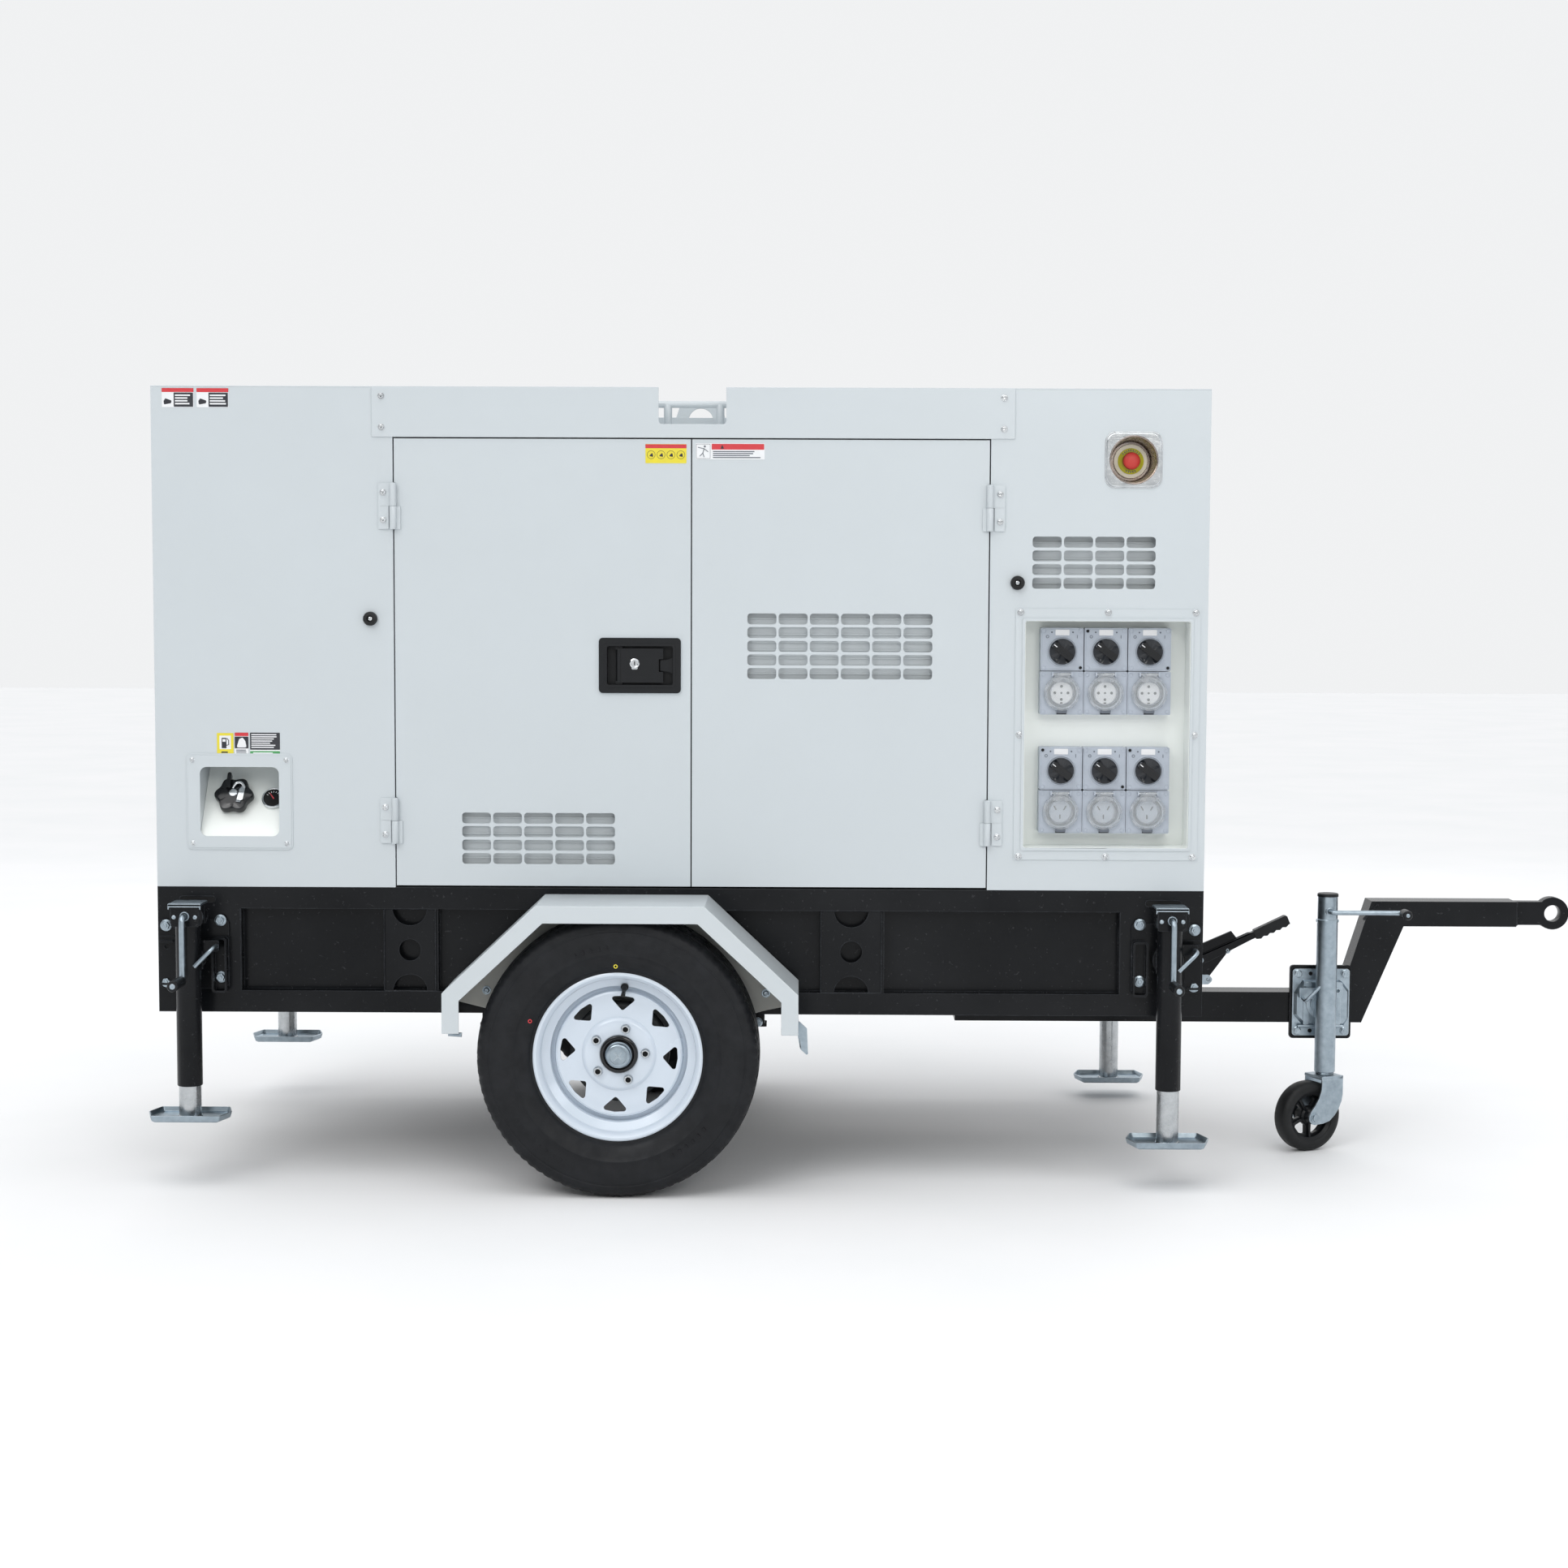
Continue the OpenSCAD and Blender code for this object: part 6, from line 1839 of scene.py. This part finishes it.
        def dish(k: int, step: int) -> tuple[float, float]:
            """Presses the top between the grip bar and the rim."""
            return (0, -1.8) if k in (5, 6) and step % 12 in (4, 5, 6, 7, 8) else (0, 0)

        knob.lathe([(0, 2), (r - 0.6, 2), (r, 3), (r, 10.4), (r - 1, 12), (r - 4, 12), (r - 9, 11.4), (0, 11)],
                   steps=48, shape=dish)
        knob.lathe([(0, -14), (5, -14), (5, 3), (0, 3)], steps=20)
        tilt = spun(38)
        knob.use(paint.gloss_black).at(turn=tilt)
        grip = span(-r + 1.4, -8.7, r - 1.4, 8.7, 5, 5)
        knob.slab(grip, -25, -10, taper=0.93)
        knob.use(paint.outlet_white).slab(rectangle(9, 2, 0.8, (-r + 8, 0)), -25.3, -24.6)
        knob.done(name, 1.3, slot="black_plastic", replaces=[name], segments=3)

    def flap(self, i: int, at: Vector, paint: Palette) -> None:
        """Builds a clear flap with its hinge bar, thick rim and latch tab."""
        drop = -(self.module / 2 - 7)
        name = f"socket_flap_{i + 1}"
        flap = Piece(f"{name}_shell", at).use(paint.clear)
        flap.slab(ring(36.5, 64, (0, drop)), -4.6, -2.4)
        flap.use(paint.smoked).at(0, 0, drop)
        flap.lathe([(36.3, -2), (41, -2), (41, 3.6), (39.8, 5), (37.2, 5), (36.3, 4), (36.3, -2)], steps=72)
        flap.lathe([(25.4, 2.2), (27, 2.2), (27, 4.9), (25.4, 4.9), (25.4, 2.2)], steps=64)
        flap.at().slab(rounded_outline([(-17, 3), (17, 3), (19, -18), (-19, -18)], 3), -5, -1.2)
        flap.rod([(-18.8, 0, 0), (18.8, 0, 0)], 4.4, 20)
        flap.use(paint.print_grey)
        flap.slab(rectangle(23, 9, 2.4, (0, drop - 41.5)), -4.9, 1.8)
        flap.done(name, 0.5, slot="clear_plastic", replaces=[name])


@dataclass
class EmergencyStop(SubAssembly):
    """Recessed emergency stop: chrome bezel and cup, two discs, and a mushroom button."""

    width: float = 130
    height: float = 128
    cup_r: float = 52
    depth: float = 60

    def build(self, places: Frame, paint: Palette) -> None:
        """Builds the bezel, the cup, the discs and the button."""
        low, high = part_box("estop_housing")
        at = Vector(((low.x + high.x) / 2, low.y + 0.006, (low.z + high.z) / 2))
        r, d = self.cup_r, self.depth
        bezel = Piece("estop_bezel", at).use(paint.chrome)
        bezel.slab(rectangle(self.width, self.height, 24), -2.2, 0, [ring(r + 3, 72)])
        bezel.slab(rectangle(self.width - 5, self.height - 5, 22), -4.6, -2, [ring(r + 3, 72)], taper=0.97)
        bezel.done("trailer", 1.6, slot="chrome", replaces=["estop_housing"], segments=4)
        # the cup's darker, brownish chrome is painted shade inside the recess
        cup = Piece("estop_cup", at).use(paint.dull_chrome)
        cup.lathe([(r + 5, 3.2), (r + 2, 5.6), (r - 0.4, 4.4), (r - 1, 1), (r - 2, -6), (r - 6, -d + 4),
                   (r - 8, -d + 1),
                   (0, -d + 1), (0, -d - 2), (r + 2.6, -d - 2), (r + 2.8, -2), (r + 5, 3.2)], steps=96)
        cup.lathe([(0, -d - 40), (22, -d - 40), (22, -d - 1), (0, -d - 1)], steps=36)
        cup.done("trailer", slot="chrome")
        discs = Piece("estop_discs", at).use(paint.ivory)
        discs.lathe([(0, -d), (39.4, -d), (39.4, -d + 4), (38, -d + 6.4), (31, -d + 7), (0, -d + 7)], steps=80)
        discs.use(paint.yellow).lathe([(0, -d + 6), (29.5, -d + 6), (29.5, -d + 8.4), (28.6, -d + 9),
                                       (0, -d + 9)],
                                      steps=72)
        # ring of short marks in place of words
        discs.use(paint.print_grey)
        for i in list(range(-4, 5)) + list(range(14, 19)):
            turn = math.radians(i * 12 + (0 if i < 9 else -12))
            spin = Matrix.Rotation(turn, 3, "Y")
            discs.at(24.6 * math.sin(turn), 0, 24.6 * math.cos(turn), spin)
            discs.slab(rectangle(2.2, 4.2, 0.4), d - 9.4, d - 8.8)
        discs.done("trailer", 0.2, slot="chrome")
        button = Piece("estop_mushroom", at).use(paint.red)
        button.lathe([(0, -d - 12), (8, -d - 12), (8, -d + 15), (19, -d + 15.4), (20, -d + 17.4), (20, -d + 22),
                      (18.6, -d + 26.5), (14, -d + 29.4), (7, -d + 30.4), (0, -d + 30.6)], steps=64)
        button.done("estop_button", slot="red_plastic", replaces=["estop_button"])


@dataclass
class FuelFiller(SubAssembly):
    """Filler box lining, lobed cap with its lock flap, and the round gauge."""

    depth: float = 112
    opening: Point2 = (185, 163)
    cap_r: float = 38

    def build(self, places: Frame, paint: Palette) -> None:
        """Builds the lining, the cap and the gauge on the tilted plate."""
        cap_at = places.joint("fuel_cap_turn")
        axis = Vector(places.joints["fuel_cap_turn"]["axis"]).normalized()
        tilt = axis.angle(UP)
        turn = Matrix.Rotation(tilt - math.pi / 2, 3, "X")
        # the lining's paler white is painted light inside the filler recess
        lining = Piece("filler_lining", cap_at).use(paint.cream)
        lining.at(turn=turn).slab(rectangle(184, 196, 4, (22, 0)), -0.9, -0.1, [ring(25, 36)])
        lining.at()
        # cover plate whose opening has rounded corners
        skin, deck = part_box("chassis_frame")[0].y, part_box("chassis_frame")[1].z
        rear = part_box("roof_panel")[0].x
        plate = Piece("filler_cover_plate", Vector((rear + 192 * MM, skin, deck + 196 * MM))).use(paint.canopy)
        plate.slab(rectangle(236, 212, 5), -3.4, -1.6, [rectangle(self.opening[0] - 4, self.opening[1] - 4, 16)])
        plate.done("trailer", 0.8, slot="white_paint")
        lining.done("trailer", 0.3, slot="white_paint")
        cap = Piece("fuel_cap_body", cap_at).use(paint.gloss_black)

        def lobes(k: int, i: int) -> tuple[float, float]:
            """Pushes the rim out in six lobes."""
            return (3.5 + 3.5 * math.cos(math.radians(i * 6 * 360 / 96)), 0) if 2 <= k <= 6 else (0, 0)

        r = self.cap_r
        cap.lathe([(0, -8), (18, -8), (r - 4, 9), (r, 10), (r + 0.5, 14), (r, 25), (r - 1.5, 28), (r - 7, 30.5),
                   (r - 16, 31.4), (0, 31.6)], axis, 96, lobes)
        cap.at(turn=turn)
        for i in range(6):
            spin = turn @ spun(60 * i + 30)
            cap.at(turn=spin).slab(rounded_outline([(20, -2.4), (33, -3.4), (33, 3.4), (20, 2.4)], 1.6), -32.2,
                                   -30)
        cap.at(turn=turn).slab(rounded_outline([(-17, 8), (-6, 8), (-7, 46), (-11.5, 50), (-16, 46)], 3), -42,
                               -29)
        cap.done("fuel_cap", 1.0, slot="black_plastic", replaces=["fuel_cap"])
        lock = Piece("fuel_cap_lock", cap_at).use(paint.chrome).at(turn=turn)
        lock.lathe([(0, 30), (9.6, 30), (9.6, 33), (8.4, 34), (0, 34)], steps=36)
        lock.slab(rounded_outline([(10, -24), (24, -20), (27, 14), (20, 17), (14, 8)], 3), -34.6, -32.6)
        lock.rod([(-2, -33, 12), (6, -40, 22), (18, -38, 24), (24, -34, 14)], 3.4, 14, 7)
        lock.rod([(10, -34, -22), (20, -34, -24)], 2.6, 10)
        lock.done("fuel_cap", 0.5, slot="black_plastic")
        gauge = Piece("fuel_gauge", cap_at).use(paint.chrome)
        shift = turn @ Vector((88, 0, 0))
        gauge.at(shift.x, shift.y, shift.z)
        gauge.lathe([(0, 1), (25.5, 1), (26.5, 5), (26, 9), (24.6, 10.4), (22.6, 10), (22, 8.2), (0, 8.2)],
                    axis, 56)
        gauge.at(shift.x, shift.y, shift.z, turn).use(paint.dark).slab(ring(22, 48), -8.8, -8)
        gauge.use(paint.vinyl_white)
        for i in range(7):
            a = math.radians(150 - i * 20)
            gauge.at(shift.x, shift.y, shift.z, turn @ Matrix.Rotation(math.pi / 2 - a, 3, "Y"))
            gauge.slab(rectangle(1.2, 4, 0, (0, 16)), -9.1, -8.4)
        gauge.at(shift.x, shift.y, shift.z, turn @ spun(-35))
        gauge.use(paint.vinyl_red).slab(rounded_outline([(-1.6, -3), (1.6, -3), (0.5, 15), (-0.5, 15)], 0.4),
                                        -9.6, -8.6)
        gauge.done("trailer", 0.3, slot="tank_plastic")


# Chassis and power unit


@dataclass
class Chassis(SubAssembly):
    """Finish of the frame, axle, tank and mudguards, with the small parts on the frame's ends."""

    rail: float = 50

    def build(self, places: Frame, paint: Palette) -> None:
        """Dresses the chassis and adds its small parts."""
        places.dress("chassis_frame", paint.frame, 2.6)
        places.dress("axle_and_springs", paint.frame, 1.6)
        places.dress("mudguards", paint.canopy, 1.4)
        places.dress("fuel_tank", paint.tank, 3.0)
        low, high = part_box("chassis_frame")
        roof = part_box("roof_panel")
        rear = Vector((roof[0].x, 0, 0))
        length = (roof[1].x - roof[0].x) / MM
        skin = -low.y / MM
        deck = high.z / MM
        floor = low.z / MM
        for side in Side:
            trim = Piece(f"chassis_trim_{side.value}", rear, side)
            for x in (92, length - 92):
                trim.use(paint.frame).slab(rectangle(84, 17, 8, (x, deck - 29.5)), -skin - 1.6, -skin,
                                           [rectangle(80, 13, 6, (x, deck - 29.5))])
                # a dark fill inside each rim: painted shade of the slot in the rail
                trim.use(paint.dark).slab(rectangle(80.4, 13.4, 6, (x, deck - 29.5)), -skin - 0.4, -skin + 0.2)
            trim.use(paint.frame)
            # welds where the plates meet the rails
            for i, x in enumerate((190, 520, 638, length - 876, length - 737, length - 190)):
                trim.weld([(x, -skin + 3, floor + self.rail + 1), (x, -skin + 3, deck - self.rail - 1)], 2.4,
                          i + 3)
            for i, (x0, x1) in enumerate(((520, 640), (length - 876, length - 736))):
                trim.weld([(x0, -skin + 3.6, deck - self.rail), (x1, -skin + 3.6, deck - self.rail)], 2.2, i + 20)
                trim.weld([(x0, -skin + 3.6, floor + self.rail), (x1, -skin + 3.6, floor + self.rail)], 2.2,
                          i + 30)
            trim.done("trailer", 0.5, slot="black_paint")
            bolts = Piece(f"spring_bolts_{side.value}", rear, side).use(paint.zinc)
            axle = (places.joint(f"wheel_{side.value}_turn").x - rear.x) / MM
            for x in (axle - 310, axle + 310):
                bolts.bolt(x, floor - 18, -skin, 17, 8, 11)
            bolts.done("trailer", slot="zinc")
        gasket = Piece("deck_gasket", rear).use(paint.rubber)
        for s in (-1, 1):
            y0, y1 = sorted((s * (skin - 0.5), s * (skin - 6)))
            gasket.block((1, y0, deck - 0.6), (length - 1, y1, deck + 1.2))
        gasket.done("trailer", slot="tyre")


@dataclass
class PowerUnit(SubAssembly):
    """Engine, alternator, radiator, fan and silencer, with the fittings that the CAD blocks leave out."""

    fins: int = 46

    def build(self, places: Frame, paint: Palette) -> None:
        """Dresses the power unit and adds its fittings."""
        places.dress("engine", paint.engine, 6.0)
        places.dress("alternator", paint.alternator, 4.0)
        places.dress("radiator", paint.radiator, 3.0)
        places.dress("muffler", paint.exhaust, 3.0)
        places.dress("cooling_fan", paint.nylon, 1.6)
        self.engine(paint)
        self.alternator(paint)
        self.radiator(paint)
        self.services(paint)

    def engine(self, paint: Palette) -> None:
        """Adds ports, bolts, an oil filter and injector pipes to the block."""
        low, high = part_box("engine")
        at = Vector((low.x, 0, 0))
        top = high.z / MM
        head = Piece("engine_fittings", at).use(paint.engine)
        length = (high.x - low.x) / MM
        for side in (-1, 1):
            for i in range(6):
                x = 330 + i * (length - 560) / 5
                head.block((x, side * 150 - 7, top - 380), (x + 14, side * 150 + 7, top - 180))
        for i in range(4):
            x = 360 + i * (length - 620) / 3
            head.at(x, -98, top - 110).lathe([(0, -10), (22, -10), (22, 14), (14, 18), (14, 40)], steps=28)
            head.at(x, 0, top).lathe([(0, -4), (26, -4), (26, 5), (20, 9), (0, 9)], UP, 32)
        head.done("trailer", 2.0, slot="engine_paint")
        bolts = Piece("engine_bolts", at).use(paint.zinc)
        for i in range(6):
            x = 350 + i * (length - 600) / 5
            for y in (-52, 52):
                bolts.at(x, y, top).lathe([(0, -1), (10, -1), (10, 1.5), (7, 2), (7, 9), (0, 9.4)], UP, 12)
        bolts.at()
        for i in range(4):
            x = 372 + i * (length - 620) / 3
            bolts.rod([(x, -70, top - 40), (x + 6, -130, top - 50), (x + 20, -166, top - 160),
                       (300 + i * 16, -176, top - 300)],
                      3.2, 10, 24)
        bolts.done("trailer", slot="engine_paint")
        filters = Piece("engine_filters", at).use(paint.vinyl_white)
        filters.at(470, -215, top - 420).lathe([(0, 0), (40, 0), (44, 4), (44, 108), (40, 112), (0, 112)], UP, 48)
        filters.use(paint.vinyl_black).at(470, -215, top - 420).lathe(
            [(20, 110), (34, 110), (34, 130), (0, 130)], UP, 32)
        filters.done("trailer", 1.0, slot="engine_paint")

    def alternator(self, paint: Palette) -> None:
        """Adds a ribbed frame and the terminal box's lid."""
        low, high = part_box("alternator")
        at = Vector(((low.x + high.x) / 2, 0, low.z + 0.285))
        half = (high.x - low.x) / MM / 2
        ribs = Piece("alternator_ribs", at).use(paint.alternator)
        for i in range(28):
            turn = math.radians(i * 360 / 28)
            if 0.35 < math.sin(turn) < 2 and abs(math.cos(turn)) < 0.86:
                continue
            y, z = 204 * math.cos(turn), 204 * math.sin(turn)
            ribs.at(0, y, z, Matrix.Rotation(turn, 3, "X"))
            ribs.block((-half + 40, -2, -3), (half - 90, 8, 3))
        ribs.at()
        box_top = high.z / MM - at.z / MM
        ribs.slab(rectangle(2 * half - 236, 150, 6, (0, box_top - 85)), -156, -149)
        ribs.done("trailer", 1.0, slot="alternator_paint")
        screws = Piece("alternator_screws", at).use(paint.zinc)
        for x in (-half + 130, half - 130):
            for z in (box_top - 150, box_top - 20):
                screws.screw(x, z, -156, 7, 5, 10)
        screws.done("trailer", slot="zinc")

    def radiator(self, paint: Palette) -> None:
        """Adds the core's fins and tubes, the filler neck and the top hose."""
        low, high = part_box("radiator")
        at = Vector((low.x, 0, 0))
        top = high.z / MM
        core = Piece("radiator_core", at).use(paint.radiator)
        for i in range(self.fins):
            y = -300 + 600 * i / (self.fins - 1)
            for x in (7.5, 80):
                core.block((x, y - 1.2, top - 790), (x + 3, y + 1.2, top - 90))
        for i in range(24):
            z = top - 780 + i * 29
            core.block((8, -302, z), (11, 302, z + 3))
        core.at(45, 120, top).lathe([(0, -2), (30, -2), (30, 16), (34, 16), (34, 28), (0, 28)], UP, 40)
        core.done("trailer", 0.4, slot="radiator_black")
        hose = Piece("radiator_hose", at).use(paint.rubber)
        hose.rod([(88, -60, top - 60), (190, -60, top - 60), (260, -70, top - 180), (330, -60, top - 240)], 24,
                 28, 60)
        hose.done("trailer", slot="tyre")
        clips = Piece("radiator_clips", at).use(paint.zinc)
        clips.at(110, -60, top - 60).lathe([(24.4, -6), (26, -6), (26, 6), (24.4, 6)], FORWARD, 36)
        clips.done("trailer", slot="zinc")

    def services(self, paint: Palette) -> None:
        """Adds the battery on the deck beside the alternator, and its leads."""
        low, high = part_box("alternator")
        deck = low.z / MM
        at = Vector((high.x, 0, 0))
        box = Piece("battery", at).use(paint.tank)
        x, y = 70, -250
        box.block((x, y, deck), (x + 190, y + 170, deck + 175))
        box.use(paint.nylon).block((x - 2, y - 2, deck + 175), (x + 192, y + 172, deck + 196))
        for i in range(6):
            box.at(x + 24 + i * 28, y + 85, deck + 196).lathe([(0, -1), (9, -1), (9, 4), (0, 5)], UP, 20)
        box.done("trailer", 2.0, slot="tank_plastic")
        posts = Piece("battery_posts", at)
        for k, material in enumerate((paint.red, paint.nylon)):
            spot = (x + 30 + k * 130, y + 30)
            posts.use(material).at(spot[0], spot[1], deck + 196)
            posts.lathe([(0, -1), (13, -1), (13, 14), (9, 18), (0, 18)], UP, 24)
            posts.at().rod([(spot[0], spot[1], deck + 206), (spot[0], spot[1] - 26, deck + 206),
                            (spot[0] - 40, spot[1] - 30, deck + 120), (spot[0] - 60, spot[1] + 30, deck + 8)],
                           6, 14, 26)
        posts.done("trailer", slot="tank_plastic")


# Studio


@dataclass
class Studio:
    """Camera, soft lights, pale world and plain floor."""

    eye: Point3 = (-0.211, -6.204, 1.342)
    yaw: float = -0.358
    pitch: float = -4.249
    roll: float = 0.226
    lens: float = 57.66

    def camera(self) -> None:
        """Adds the camera and makes it the scene's camera."""
        yaw, pitch, roll = (math.radians(a) for a in (self.yaw, self.pitch, self.roll))
        ahead = Vector((math.sin(yaw) * math.cos(pitch), math.cos(yaw) * math.cos(pitch), math.sin(pitch)))
        right = Vector((math.cos(yaw), -math.sin(yaw), 0))
        up = right.cross(ahead)
        across = right * math.cos(roll) + up * math.sin(roll)
        over = up * math.cos(roll) - right * math.sin(roll)
        data = bpy.data.cameras.new("camera")
        data.sensor_width = 36
        data.lens = self.lens
        thing = bpy.data.objects.new("camera", data)
        turn = Matrix((across, over, -ahead)).transposed().to_4x4()
        thing.matrix_world = Matrix.Translation(self.eye) @ turn
        bpy.context.scene.collection.objects.link(thing)
        bpy.context.scene.camera = thing

    def light(self, name: str, spot: Point3, aim: Point3, size: Point2, power: float, colour: str) -> None:
        """Adds a soft rectangular light.

        Args:
            name: its name.
            spot: where it is, in metres.
            aim: what it points at.
            size: width and height in metres.
            power: its power in watts.
            colour: its sRGB colour.
        """
        data = bpy.data.lights.new(name, "AREA")
        data.shape = "RECTANGLE"
        data.size, data.size_y = size
        data.energy = power
        data.color = linear(colour)[:3]
        thing = bpy.data.objects.new(name, data)
        thing.location = spot
        thing.rotation_euler = (Vector(aim) - Vector(spot)).to_track_quat("-Z", "Y").to_euler()
        bpy.context.scene.collection.objects.link(thing)

    def build(self) -> None:
        """Adds the lights, the world and the floor."""
        self.light("key_high_left", (-3.6, -6.4, 5.2), (0, 0, 0.8), (3.4, 2.6), 104, "#ffffff")
        self.light("front_soft", (1.6, -7.4, 3.6), (0.3, 0, 0.8), (2.6, 1.8), 85, "#fffdf8")
        self.light("fill_right", (5.4, -4.6, 3.2), (0.6, 0, 0.8), (2.6, 2.2), 45, "#f4f8ff")
        self.light("back_rim", (0.5, 5.5, 4.2), (0, 0, 1.2), (6.0, 2.0), 60, "#ffffff")
        # one wide, very soft source that lights the floor evenly out to the horizon
        sky = bpy.data.lights.new("sky_panel", "SUN")
        sky.energy, sky.angle = 1.0, math.radians(60)
        lamp = bpy.data.objects.new("sky_panel", sky)
        lamp.rotation_euler = Vector((0.25, 0.35, -1)).to_track_quat("-Z", "Y").to_euler()
        bpy.context.scene.collection.objects.link(lamp)
        world = bpy.data.worlds.new("studio")
        world.use_nodes = True
        tree = world.node_tree
        tree.nodes.clear()
        # a white tent overhead and behind the trailer, and a dim hall on the working side for metal to reflect
        ray = add_node(tree, "SeparateXYZ", None, {0: add_node(tree, "TexCoord").outputs["Generated"]})
        behind = spread(tree, ray.outputs[1], 0.0, 1.0, -0.55, 0.05)
        above = spread(tree, ray.outputs[2], 0.0, 1.0, 0.22, 0.62)
        level = add_node(tree, "Math", {"operation": "ABSOLUTE"}, {0: ray.outputs[2]})
        band = spread(tree, level.outputs[0], 0.85, 0.0, 0.07, 0.13)
        share = add_node(tree, "Math", {"operation": "MAXIMUM"}, {0: behind, 1: above})
        share = add_node(tree, "Math", {"operation": "MAXIMUM"}, {0: share.outputs[0], 1: band})
        colour = blend_colour(tree, share.outputs[0], linear("#5d6266"), linear("#f6f7f8"))
        glow = add_node(tree, "Background", None, {"Color": colour, "Strength": 0.95})
        add_node(tree, "OutputWorld", None, {"Surface": glow.outputs[0]})
        bpy.context.scene.world = world
        bpy.context.scene.view_settings.view_transform = "Standard"
        floor = Piece("studio_floor", Vector((0, 0, 0))).use(StudioFloor("floor_pale").build())
        floor.block((-30000, -30000, -20), (30000, 30000, 0))
        thing = floor.done("trailer")


@dataclass(frozen=True)
class StudioFloor(Finish):
    """Matt painted concrete, rolled in a pale grey."""

    name: str
    colour: str = "#ececed"

    def mix(self, tree: NodeTree) -> None:
        """Lays out a plain matt floor with a hardly visible change of tone."""
        colour = blend_colour(tree, spread(tree, waves(tree, 700, 3), 0.0, 1.0), linear(self.colour),
                              linear("#e8e9ea"))
        surface(tree, {"Base Color": colour, "Roughness": 0.75, "IOR": 1.45,
                       "Normal": bump(tree, waves(tree, 40, 3), 0.2, 0.1)})


def main() -> None:
    """Builds the camera, then every sub-assembly."""
    logging.basicConfig(level=logging.INFO, format="%(message)s")
    studio = Studio()
    studio.camera()
    places = Frame(frame)
    paint = Palette()
    crew = [Chassis(), Drawbar(), Canopy(), Outlets(), EmergencyStop(), FuelFiller(), PowerUnit(), JockeyWheel()]
    for side in Side:
        crew += [RoadWheel(side), Mudguards(side), Latch(side), CornerJack("rear", side), CornerJack("front",
                side)]
    for worker in crew:
        worker.build(places, paint)
        LOG.info("built %s", worker)
    studio.build()


if __name__ == "__main__":
    main()
